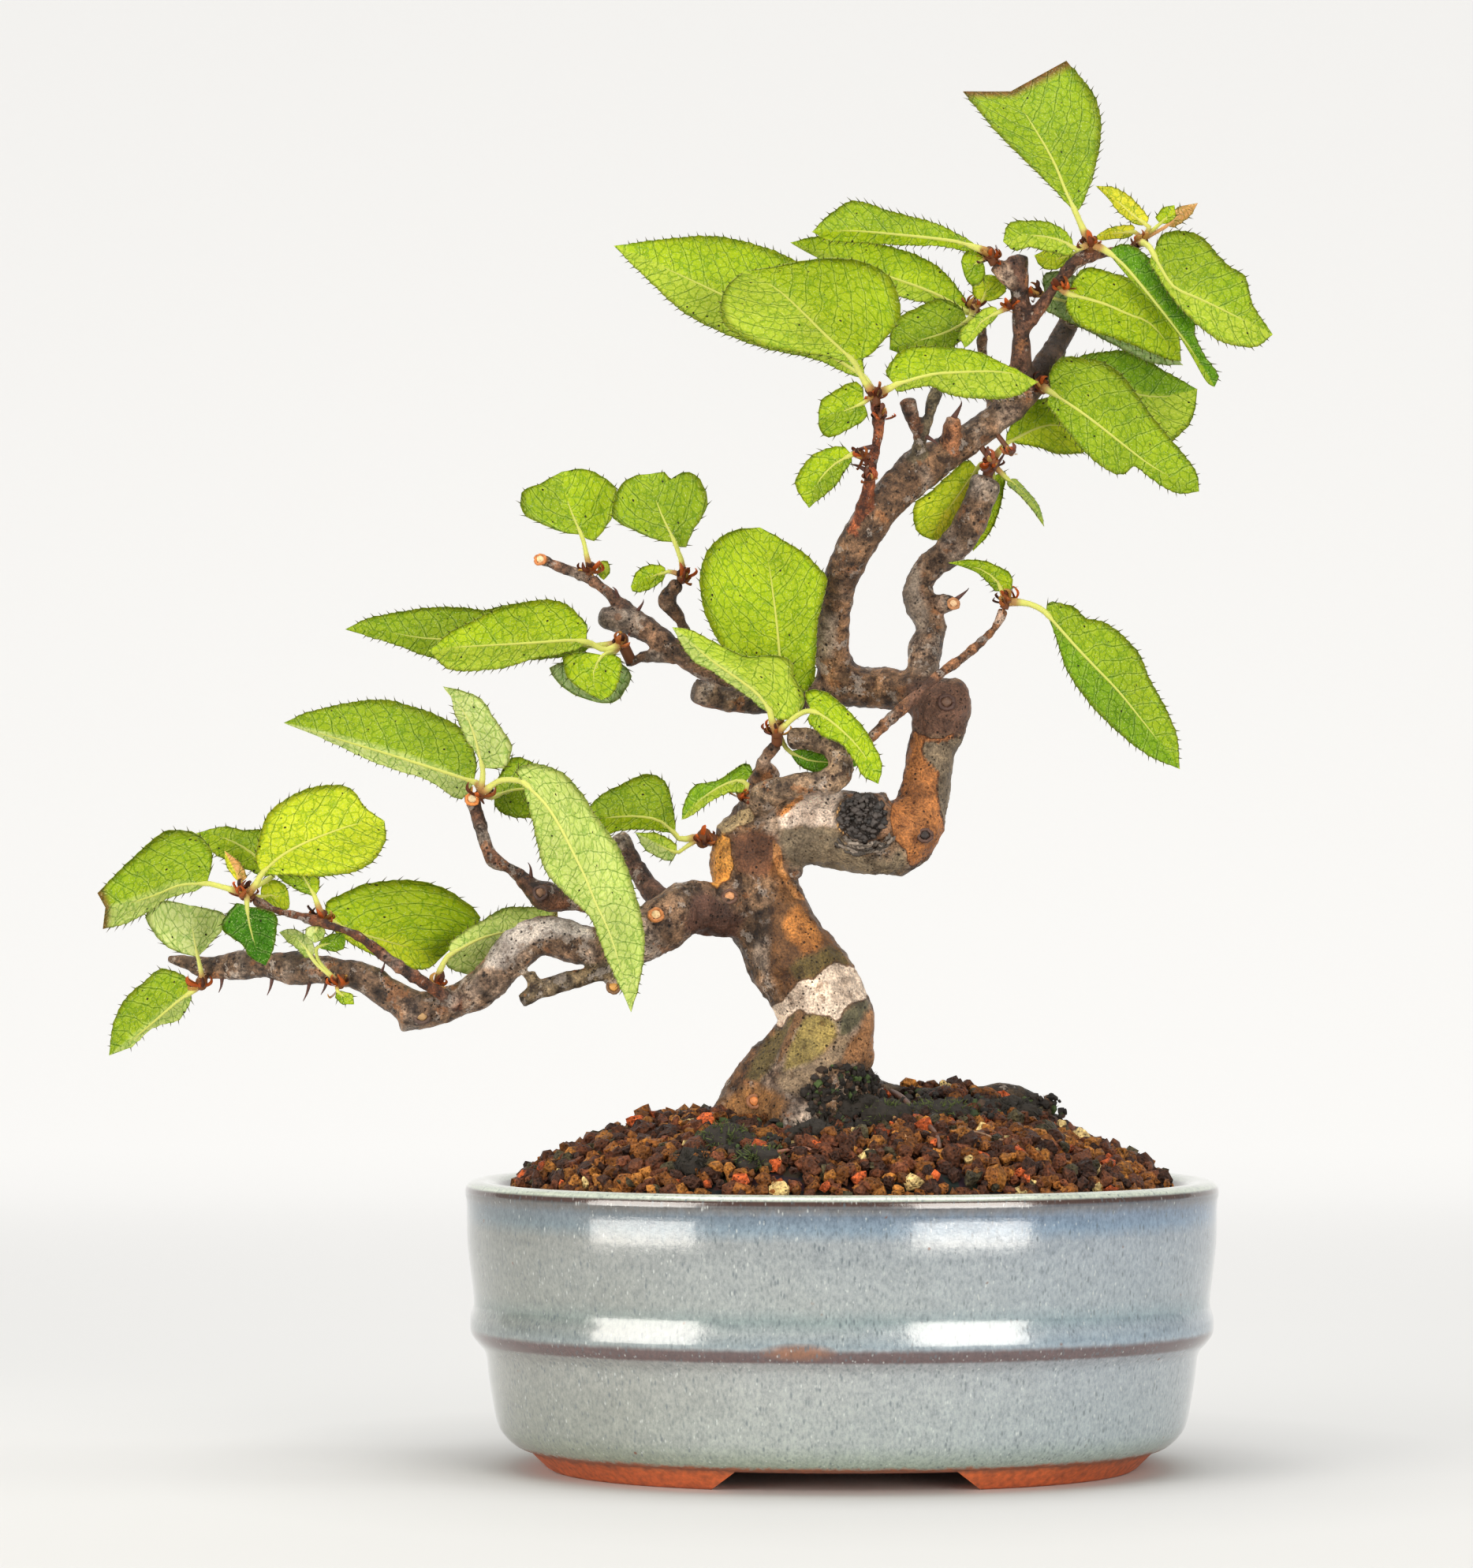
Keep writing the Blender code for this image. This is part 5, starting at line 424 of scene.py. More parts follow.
# The bark's patches as seen from the front, in four layers, each laid over the one before; the
# first two have soft edges: colour, how far the patch stands out or is sunk, outline as (gx, gz)
ZONES = coloured_runs("""
0.29 0.22 0.165 | 0 | -4.2 150, -1.5 150.5, -1 154, -0.8 158, -3.2 158.5, -4.6 154.5;
0.3 0.235 0.18 | 0 | 12.4 155.5, 15.5 155, 16.2 159, 14.5 163.5, 15.2 167.5, 12.6 166.5, 11.6 161;
0.05 0.03 0.02 | 0 | 36 200, 40 204, 44 212, 41 213, 36.5 206.5, 34 203;
0.184 0.084 0.03 | 0 | -12.5 117, -10.9 111.1, -9.4 108.2, -6.8 104.9, -3.2 99.6, -0.4 96, -0.1 92.9,
 -3.4 91.7, -6.9 90.1, -9.8 87.3, -12.2 87.3, -13.5 94.2, -13.1 100.8, -12 108.2, -14.8 111.8, -15 115.5;
0.106 0.05 0.033 | 0 | -27.7 106, -24.5 107, -20.8 103.8, -17.9 101.6, -19.4 97.9, -22.3 95.7, -26 96.4,
 -28.9 99.3;
0.147 0.06 0.027 | 0.1 | -20.4 117, -15.7 118.1, -12 117, -11.3 113.3, -12 110.4, -15.7 109.3,
 -19.4 110.4, -20.1 113.3;
0.193 0.148 0.093 | 0 | -11.3 118.6, -6.5 119, -1 118.7, -0.1 116.7, 2.2 114.3, 5.6 112.9, 9.2 112.6,
 11 114.3, 12.2 113.1, 12.2 110.5, 6.3 109, -2.5 109.9, -9.1 111.1, -10.7 113.3, -11.6 116.2;
0.138 0.068 0.042 | 0 | 12.2 145.1, 16.6 146.6, 24.2 145.1, 24.5 140.4, 23.2 136, 19.5 135.5, 14.8 135.7,
 12.2 138.2;
0.248 0.176 0.108 | 0 | -10.6 69.3, -12 71.5, -10.6 73.4, -8.1 74, -4.8 75.6, -2.5 77.3, -0.7 79.4,
 1.6 79.5, 1 77, -0.7 74.8, -4 71.8, -6.6 69.7, -8.7 68.8;
0.221 0.104 0.033 | 0 | -22.7 67.1, -20.8 69.3, -17.2 70.6, -13.5 70, -9.8 67.8, -11.3 64.1, -15 61.2,
 -17.9 62.7, -20.8 64.9;
0.331 0.16 0.066 | 0 | 4.8 85.3, 6.3 83.9, 6.8 78.8, 6.3 74.8, 4.1 74.4, 1.6 74.8, 0.1 75.1, 1.3 78.1,
 3.1 81, 4.1 83.2
""")
# The last wash, the pale grey strip along the top of the left branch, is a painted highlight, not a patch
# of the bark's own colour.
WASHES = coloured_runs("""
0.5 0.198 0.045 | -0.12 | -9.8 102.9, -8.2 103.9, -6.6 101.6, -4.8 99.3, -3.8 97, -5 95.1, -7.2 94.9,
 -8.7 97, -10.1 97.9, -11 100.5;
0.138 0.096 0.027 | 0 | -2.5 96.4, -0.7 95.5, 1.9 93.2, 1 92.9, -1 93.6, -3.2 92.3, -5 90.7, -8.4 90.1,
 -9.8 92.3, -8.1 94.1, -5.1 94.7;
0.265 0.2 0.06 | -0.05 | -6.3 83.5, -4.3 83.8, -2.5 83.4, -1 82.2, -0.7 80, -1.9 78.4, -3.1 77, -4.8 75.7,
 -6.8 74.5, -8.7 74, -10.7 73.4, -10.1 75.9, -9.5 78.2, -8.7 80, -7.8 81.6, -7.2 82.8;
0.097 0.088 0.048 | 0 | 4.8 86.6, 3.4 86.1, 0.6 84.5, -0.6 82.2, -0.6 79.8, 0.9 79.7, 2.5 81.2, 4.1 83.5,
 5.1 85.1;
0.115 0.084 0.03 | 0 | -9 84.1, -11.6 81.4, -13.6 79.5, -15.4 77.3, -16.6 74.4, -17.8 71.8, -15.4 71.2,
 -13.4 73.8, -11.9 76.2, -10.7 78.5, -9.2 81.2, -8.1 82.6;
0.71 0.575 0.475 | -0.12 | -11.7 120.2, -9.8 122.2, -8.4 123.4, -7.3 124.2, -5.4 124.6, -2.8 125,
 0.1 124.9, -0.6 123.4, -1.2 121.8, -1.3 120.2, -0.9 118.6, -3.2 119, -5.4 118.6, -6.5 119.2, -9.1 118.6,
 -11.3 118.4;
0.48 0.42 0.37 | 0.1 | -66.5 92.5, -65.5 97, -62 100.6, -57 101.5, -52 101.5, -47 100.5, -46 97.8,
 -52 98.2, -57 97.6, -60 95.6, -62.5 92.3
""")
PATCHES = coloured_runs("""
0.77 0.62 0.49 | -0.25 | -13.4 85, -11.4 86.1, -9.8 87.8, -8.1 89.8, -6.6 90.4, -5 90.5, -3.2 92.3,
 -1 93.5, 0.9 93, 3.7 92, 5.3 89.1, 4.8 86.7, 3.4 86.3, 1.9 85.7, 0.6 84.7, -0.1 83.2, -0.9 82.5,
 -1.5 82.8, -2.2 83.4, -3.7 83.6, -6.6 83.8, -7.3 84.5, -8.4 84.5, -10.1 83.2, -11.7 81.4, -13.1 83.2;
0.66 0.3 0.06 | -0.2 | -23.5 118.6, -24.8 117.5, -26.6 115.2, -27.4 111.8, -27.7 108.6, -25.4 108.4,
 -23.2 107.4, -20.8 108.9, -20 111.5, -20.3 113.6, -20.7 115.3, -20.8 116.5, -22 117.3, -22.7 116.7;
0.368 0.14 0.039 | -0.1 | 13.1 136.8, 11.9 131.2, 11.7 128, 11 124.6, 9.8 124, 9.2 119.9, 10.1 116.1,
 12.2 114, 12.8 111.2, 13.9 111.1, 15.4 112, 18.1 114.6, 19.2 118.4, 18.5 122.1, 17.6 125.8, 18.1 128.7,
 16.9 130.2, 15.3 131.2, 14.8 133.1, 15.3 135;
0.184 0.14 0.09 | 0 | 15.4 134.6, 18.1 134.3, 22.5 135.5, 21.9 129.4, 20.3 122.8, 19.2 118.4, 18.6 121.9,
 17.8 125.8, 18.2 128.7, 16.9 130.3, 15.4 131.3, 15 133.1;
0.386 0.28 0.144 | 0.4 | -24.1 118.4, -22.5 119.7, -20.7 120.6, -18.6 121.7, -16.9 122.4, -16 121.1,
 -16.4 119.7, -18.6 118.7, -20.7 117.3, -22.6 116.7, -22 117.7;
0.405 0.16 0.054 | 0.1 | 14.5 135.9, 16.6 135, 18.8 135, 21 136, 20.8 135.2, 18.9 134.3, 16.6 134.3,
 14.5 135.2
""")
MARKS = coloured_runs("""
0.017 0.011 0.008 | -0.25 | -0.4 121.4, 0.3 123.4, 1.9 124.6, 4.3 124.9, 6.6 124.2, 8.1 122.1, 8.4 119.9,
 7.8 117.8, 6.3 116.4, 4.3 115.8, 1.9 116.4, 0.3 117.8, -0.4 119.6;
0.5 0.206 0.054 | 0.1 | -11.6 120.8, -10.1 122.5, -8.2 124.2, -7.2 124.6, -7 124, -9.2 122.1, -11 120.2;
0.5 0.224 0.072 | 0.1 | -12.6 116.1, -11.3 114.9, -10.9 111.1, -9.8 109.2, -8.1 106.7, -6.6 104.8,
 -8.4 105.2, -10.1 107.9, -11.9 109.9, -12.8 112.9;
0.184 0.096 0.042 | 0.15 | -8.4 84.4, -6.9 84.1, -7.9 81.7, -9.2 79.5, -10.3 77.2, -11 74.8, -12 74.5,
 -11.4 77.3, -10.3 80.3, -9.1 82.6
""")

# Roots that cross the soil: colour, radius and line as (gx, gz)
ROOT_HAIRS = coloured_runs("""
0.5 0.26 0.11 | 0.4 | 7.3 65.7, 9 65.3, 10.4 63.4, 11.6 61.2, 12.8 59.3;
0.15 0.075 0.05 | 0.7 | 9.2 69.3, 12.2 67.1, 14.5 65, 16.3 63, 17.8 60.6, 18.3 58.8;
0.4 0.34 0.24 | 0.2 | -4.5 62.4, -4 64.1, -2.5 65, -0.7 64.9;
0.3 0.17 0.08 | 0.35 | 0 71, 3 70.2, 6 70.6, 9 69.6;
0.3 0.12 0.07 | 0.5 | -17 59, -13 58.4, -9 59, -5 58;
0.3 0.17 0.09 | 0.28 | 24 62, 29 60.4, 34 61.2, 39 59.4
""")

# Clumps of dark moss and root crumbs: middle as (gx, gz), reach along x, y and z, and spikes
CLUMPS = (
    ((-21.5, 61.5), (5.5, 4, 4), 420), ((-26.5, 57.5), (5, 4, 3), 260), ((-15, 58), (5, 3.5, 2.5), 240),
    ((2, 67.5), (6.5, 4, 4), 520), ((-4.5, 62.5), (6, 4, 2.5), 260), ((9, 66), (5, 4, 3.5), 320),
    ((18, 66.5), (7, 4, 2.2), 320), ((30, 67), (7, 4, 2.2), 320), ((37, 66.5), (3, 3, 3), 160),
    ((3.5, 72), (3.5, 3, 3), 260),
)

# Colours of the moss's spikes at their roots and tips, and of the crumbs, linear
SPIKE_TONES = (((0.01, 0.009, 0.006), (0.035, 0.03, 0.018)), ((0.02, 0.014, 0.008), (0.1, 0.055, 0.025)),
               ((0.01, 0.02, 0.005), (0.13, 0.17, 0.03)))
CRUMB_TONES = ((0.016, 0.012, 0.009), (0.05, 0.028, 0.016), (0.04, 0.065, 0.016))

# Dark crumbs heaped on the foot, the roots and the soil: middle as (gx, gz), reach along x and z,
# and number
CRUMBS = ((0.5, 68.3, 7.5, 6.2, 330), (-18, 61.3, 9, 3.4, 190), (14, 67, 8, 2.6, 120),
          (27, 66.6, 10, 2, 130), (38, 66, 4, 3, 60))

# Cut ends and scars: middle as (gx, gz), radius, colour of the ring and of the heart
SCARS = points_of("""
-20.8 105.6 1.25 0.13 0.06 0.035 0.6 0.28 0.12, 19.6 141.8 1.4 0.07 0.03 0.02 0.12 0.06 0.035,
15.6 117 1.2 0.09 0.04 0.025 0.025 0.015 0.012, -34.5 102.2 1.2 0.6 0.22 0.06 0.85 0.6 0.3,
-42.4 88.8 1.1 0.2 0.1 0.04 0.75 0.38 0.09, -16.2 67.6 1.2 0.3 0.12 0.05 0.65 0.22 0.06,
-56.1 168.4 1 0.6 0.2 0.05 0.8 0.62 0.36, -68.7 123.8 1.1 0.72 0.24 0.05 0.85 0.7 0.42,
43 213 1.5 0.12 0.07 0.05 0.45 0.33 0.22, -78 83.4 1.3 0.09 0.05 0.035 0.4 0.24 0.1,
-56 106.3 1.2 0.08 0.04 0.03 0.25 0.13 0.07, 20.9 160.2 1 0.45 0.2 0.08 0.75 0.5 0.28
""")

# Golden beads of callus round the old cut, by their turn about it in degrees
CALLUS = tuple(range(140, 236, 8)) + (-40, -25, -12, 4, 20, 30)

# Red bud scales on the bark: middle as (gx, gz), depth and radius
SCALES = ((7.3, 195, -11, 1.3), (27.8, 187, 3, 1.0), (31.6, 188.4, 2, 0.9), (5.4, 183.5, -9, 0.8),
          (19.5, 141.2, 1, 0.8))

# Thorn-like scales on the bark: gx and gz of the root, gx and gz of the tip, and depth
THORNS = points_of("""
-105.7 90 -106.8 87.3 1, -98.8 89.4 -100.1 86.2 -3, -115.5 90.4 -115.8 87.8 3,
-95.9 89.3 -96.8 87.4 -3, -41 161.6 -42.6 163.3 16, 17.9 196 15.8 194.8 -3, 18.4 197.3 18.5 199 -3,
21 196 22.4 198 -1, 3.2 184.8 1.6 186.2 -7, 4.9 190 2.2 188.8 -9, 16.4 191 18 189.6 -5,
-56 110 -58.3 112 -6, -48.4 105 -48.9 107.8 -6, 45 225.4 45.8 228.4 -3.6, 21 161 23.8 163.1 4,
29.5 188 31 189.5 6, -38.5 158.5 -36.8 161 14, -86 91 -85 93.8 -6, 2 137 4.5 135.5 -9
""")


def seen(gx, gz, y):
    """Real places, in millimetres from the pot's middle, of points that show at gx, gz at depth y:
    each lies on the straight line from the eye through its place on the upright plane."""
    stretch = (EYE_DISTANCE + y) / EYE_DISTANCE
    return np.stack((EYE_X + (gx - EYE_X) * stretch, y * np.ones_like(gx * 1.0),
                     EYE_Z + (gz - EYE_Z) * stretch), axis=-1)


def shown_at(points):
    """The gx and gz at which real points show: seen() turned round."""
    stretch = (EYE_DISTANCE + points[:, 1]) / EYE_DISTANCE
    return (EYE_X + (points[:, 0] - EYE_X) / stretch, EYE_Z + (points[:, 2] - EYE_Z) / stretch)


def smooth_run(points, count):
    """count points evenly spaced along a Catmull-Rom curve: on each stretch between two knots,
    a cubic whose slope at a knot is half the step between that knot's neighbours."""
    knots = np.array(points, dtype=float)
    padded = np.vstack((2 * knots[0] - knots[1], knots, 2 * knots[-1] - knots[-2]))
    t = np.linspace(0, 1, 16, endpoint=False)[None, :, None]
    a, b, c, d = (padded[i:len(knots) - 1 + i][:, None, :] for i in range(4))
    dense = 0.5 * (2 * b + (c - a) * t + (2 * a - 5 * b + 4 * c - d) * t ** 2
                   + (3 * b - a - 3 * c + d) * t ** 3)
    dense = np.vstack((dense.reshape(-1, knots.shape[1]), knots[-1:]))
    reach = reach_along(dense)
    wanted = np.linspace(0, reach[-1], count)
    return values_at(wanted, reach, dense)


def full_turn(steps):
    """Evenly spaced angles round a circle."""
    return np.linspace(0, 2 * math.pi, steps, endpoint=False)


def lengths(vectors):
    """The length of each vector."""
    return np.linalg.norm(vectors, axis=-1)


def reach_along(run):
    """How far along a run each of its points lies."""
    return np.concatenate(([0], np.cumsum(lengths(np.diff(run, axis=0)))))


def values_at(stations, reach, run):
    """What a run's columns are at stations along it."""
    return np.stack([np.interp(stations, reach, column) for column in run.T], axis=1)


def unit(vectors):
    """Vectors shortened or stretched to a length of 1."""
    return vectors / np.maximum(np.linalg.norm(vectors, axis=-1, keepdims=True), 1e-9)


def lattice_noise(points, size, seed=0):
    """Value noise from -1 to 1: a random value at each corner of a cubic lattice of that size,
    blended between the corners by 3t2 - 2t3 along each axis."""
    place = points / size
    cell = np.floor(place).astype(np.int64)
    share = place - cell
    share = share * share * (3 - 2 * share)
    total = np.zeros(len(points))
    for corner in range(8):
        offset = np.array((corner & 1, corner >> 1 & 1, corner >> 2 & 1))
        key = (cell + offset) * np.array((73856093, 19349663, 83492791))
        mixed = np.bitwise_xor.reduce(key, axis=1) ^ (seed * 2654435761 & 0x7FFFFFFF)
        mixed = ((mixed ^ (mixed >> 13)) * 1274126177) & 0x7FFFFFFF
        mixed = ((mixed ^ (mixed >> 11)) * 668265263) & 0x7FFFFFFF
        weight = np.prod(np.where(offset, share, 1 - share), axis=1)
        total += weight * (mixed / 0x3FFFFFFF - 1)
    return total


def make_mesh(name, points, faces, uv=None, tint=None, smooth=True):
    """A mesh object from millimetre points and an array, or list of arrays, of faces."""
    groups = [np.asarray(g) for g in (faces if isinstance(faces, list) else [faces]) if len(g)]
    mesh = bpy.data.meshes.new(name)
    places = (np.asarray(points) + POT_MIDDLE) * MM
    corners = np.concatenate([g.ravel() for g in groups]).astype(np.int32)
    sizes = np.concatenate([np.full(len(g), g.shape[1]) for g in groups])
    starts = np.concatenate(([0], np.cumsum(sizes)[:-1])).astype(np.int32)
    mesh.vertices.add(len(places))
    mesh.vertices.foreach_set("co", places.astype(np.float32).ravel())
    mesh.loops.add(len(corners))
    mesh.loops.foreach_set("vertex_index", corners)
    mesh.polygons.add(len(sizes))
    mesh.polygons.foreach_set("loop_start", starts)
    if uv is not None:
        layer = mesh.uv_layers.new(name="blade")
        layer.uv.foreach_set("vector", np.asarray(uv)[corners].astype(np.float32).ravel())
    if tint is not None:
        add_tint(mesh, "tint", tint)
    mesh.update(calc_edges=True)
    mesh.validate()
    set_smooth(mesh, smooth)
    return in_scene(name, mesh)


def set_smooth(mesh, smooth=True):
    """Shades all faces of a mesh smooth or flat."""
    mesh.polygons.foreach_set("use_smooth", np.full(len(mesh.polygons), smooth))


def in_scene(name, data):
    """A new object with that data, linked to the scene."""
    thing = bpy.data.objects.new(name, data)
    bpy.context.scene.collection.objects.link(thing)
    return thing


def add_tint(mesh, name, values):
    """A colour attribute on a mesh's points; alpha is 1 where none is given."""
    if values.shape[1] == 3:
        values = np.hstack((values, np.ones((len(values), 1))))
    layer = mesh.color_attributes.new(name, "FLOAT_COLOR", "POINT")
    layer.data.foreach_set("color", values.astype(np.float32).ravel())


def settle(thing, finish, replaced=None):
    """Gives an added piece its material and the CAD node whose place it takes."""
    thing.data.materials.clear()
    thing.data.materials.append(finish)
    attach(thing, "root")
    if replaced:
        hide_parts(replaced)


def grid_faces(rows, columns, closed=False):
    """Quads between neighbouring points of a rows by columns grid, numbered row by row."""
    row, column = np.meshgrid(np.arange(rows - 1), np.arange(columns - (not closed)), indexing="ij")
    a = row * columns + column
    b = row * columns + (column + 1) % columns
    return np.stack((a, b, b + columns, a + columns), axis=-1).reshape(-1, 4)


class Builder:
    """Gathers points, faces, uv and tint of many small surfaces into one mesh."""

    def __init__(self):
        self.points, self.faces, self.uv, self.tint, self.count = [], [], [], [], 0

    def add(self, points, faces, tint, uv=None):
        """Takes in a surface, with one colour for all its points or one for each."""
        points = points.reshape(-1, 3)
        self.points.append(points)
        self.faces.append(faces + self.count)
        self.tint.append(np.broadcast_to(tint, (len(points), 3)))
        self.uv.append(np.zeros((len(points), 2)) if uv is None else uv)
        self.count += len(points)

    def finish(self, name, smooth=True):
        """All that was gathered, as one object."""
        return make_mesh(name, np.vstack(self.points), self.faces, np.vstack(self.uv),
                         np.vstack(self.tint), smooth)


def tube(centres, radii, sides, side_hint=(0.13, 1.0, 0.07)):
    """Points of a round tube: a circle of the given radius about each centre, in the plane
    square to the run there, turned as little as can be from one ring to the next."""
    along = unit(np.gradient(centres, axis=0))
    side = np.cross(along[0], side_hint)
    frames = []
    for step in along:
        side = side - step * np.dot(side, step)
        side = side / max(np.linalg.norm(side), 1e-9)
        frames.append(side)
    frames = np.array(frames)
    other = np.cross(along, frames)
    angle = full_turn(sides)[None, :, None]
    return centres[:, None] + radii[:, None, None] * (np.cos(angle) * frames[:, None]
                                                      + np.sin(angle) * other[:, None])


def capped_faces(rows, sides):
    """Side quads of a tube with its two ends closed to added end points, numbered last."""
    last = rows * sides
    ring = np.arange(sides)
    turned = np.roll(ring, -1)
    low = np.stack((turned, ring, np.full(sides, last)), axis=1)
    high = np.stack((ring + last - sides, turned + last - sides, np.full(sides, last + 1)), axis=1)
    return grid_faces(rows, sides, closed=True), low, high


def add_tube(work, centres, radii, sides, tint):
    """A closed tube in a Builder: its end points stand a quarter radius past its end rings."""
    rings = tube(centres, radii, sides)
    ends = np.array((centres[0] - unit(centres[1] - centres[0]) * radii[0] * 0.25,
                     centres[-1] + unit(centres[-1] - centres[-2]) * radii[-1] * 0.25))
    points = np.vstack((rings.reshape(-1, 3), ends))
    quads, low, high = capped_faces(len(centres), sides)
    colours = tint
    if np.ndim(tint) == 2:
        colours = np.vstack((np.repeat(tint, sides, axis=0), tint[:1], tint[-1:]))
    first = work.count
    work.add(points, quads, colours)
    work.faces += [low + first, high + first]


def nodes_of(name, roughness=0.5):
    """A new material with its node tree and its Principled shader."""
    made = bpy.data.materials.new(name)
    made.use_nodes = True
    web = made.node_tree
    shader = web.nodes["Principled BSDF"]
    feed(shader, "Roughness", roughness)
    return made, web, shader


def place_of(web):
    """Places in the frame, in metres."""
    return web.nodes.new("ShaderNodeTexCoord").outputs["Object"]


def colour_of(web):
    """The colour that the mesh gives."""
    return tint_of(web).outputs["Color"]


def tint_of(web, name="tint"):
    """The node of a colour attribute."""
    node = web.nodes.new("ShaderNodeVertexColor")
    node.layer_name = name
    return node


def feed(node, name, value):
    """Gives a node's input a socket or a plain value."""
    if isinstance(value, bpy.types.NodeSocket):
        node.id_data.links.new(value, node.inputs[name])
    else:
        node.inputs[name].default_value = value


def new_value(kind, output, given, **settings):
    """The output of a new node, in the node tree of the first socket that it is given."""
    web = next(value for value in given.values() if isinstance(value, bpy.types.NodeSocket)).id_data
    node = web.nodes.new("ShaderNode" + kind)
    for name, value in settings.items():
        setattr(node, name, value)
    for name, value in given.items():
        feed(node, name, value)
    return node.outputs[output]


def parts_of(place):
    """The x, y and z of places."""
    node = place.id_data.nodes.new("ShaderNodeSeparateXYZ")
    feed(node, 0, place)
    return node.outputs


def ramp(source, stops):
    """A colour ramp on a value: stops are (place, grey or colour)."""
    node = source.id_data.nodes.new("ShaderNodeValToRGB")
    elements = node.color_ramp.elements
    while len(elements) < len(stops):
        elements.new(0.5)
    for element, (place, colour) in zip(elements, stops):
        element.position = place
        element.color = (colour,) * 3 + (1,) if isinstance(colour, (int, float)) else (*colour, 1)
    feed(node, "Fac", source)
    return node.outputs["Color"]


def rising(source, low, high):
    """Nothing up to the low value and all from the high one on."""
    return ramp(source, ((low, 0.0), (high, 1.0)))


def dots(place, scale, inner, outer):
    """A round dot in each cell, fading from its inner to its outer radius."""
    return ramp(cells(place, scale), ((inner, 1.0), (outer, 0.0)))


def mix(kind, factor, first, second):
    """A colour mix; each of factor, first and second is a socket or a plain value."""
    first, second = ((*given, 1) if isinstance(given, tuple) else given for given in (first, second))
    return new_value("Mix", 2, {0: factor, 6: first, 7: second}, data_type="RGBA", blend_type=kind,
                     clamp_factor=True)


def tinted(base, tint):
    """A colour multiplied by another."""
    return mix("MULTIPLY", 1.0, base, tint)


def over(mask, base, colour):
    """A colour laid over another where the mask is 1."""
    return mix("MIX", mask, base, colour)


def calc(operation, *given):
    """One math step on sockets or numbers."""
    return new_value("Math", 0, dict(enumerate(given)), operation=operation)


def times(*given):
    """A product of two values."""
    return calc("MULTIPLY", *given)


def plus(*given):
    """A sum of two values."""
    return calc("ADD", *given)


def minus(*given):
    """A difference of two values."""
    return calc("SUBTRACT", *given)


def divided(*given):
    """A ratio of two values."""
    return calc("DIVIDE", *given)


def scaled(value, factor, added):
    """A value times a factor, plus what is added."""
    return calc("MULTIPLY_ADD", value, factor, added)


def stretched(place, stretch):
    """Places multiplied by a stretch along x, y and z."""
    return new_value("VectorMath", 0, {0: place, 1: stretch}, operation="MULTIPLY")


def distance(place, middle):
    """How far places lie from a middle."""
    return new_value("VectorMath", "Value", {0: place, 1: middle}, operation="DISTANCE")


def noise(place, scale, detail=4.0, roughness=0.55):
    """Cloudy noise, from 0 to 1."""
    return new_value("TexNoise", "Fac", {"Vector": place, "Scale": scale, "Detail": detail,
                                         "Roughness": roughness})


def cells(place, scale, feature="F1", output="Distance"):
    """A pattern of cells, each round a random point."""
    return new_value("TexVoronoi", output, {"Vector": place, "Scale": scale}, feature=feature)


def bump(shader, height, strength, depth):
    """Bends a shader's normals by a height."""
    feed(shader, "Normal", new_value("Bump", "Normal", {"Height": height, "Strength": strength,
                                                        "Distance": depth}))


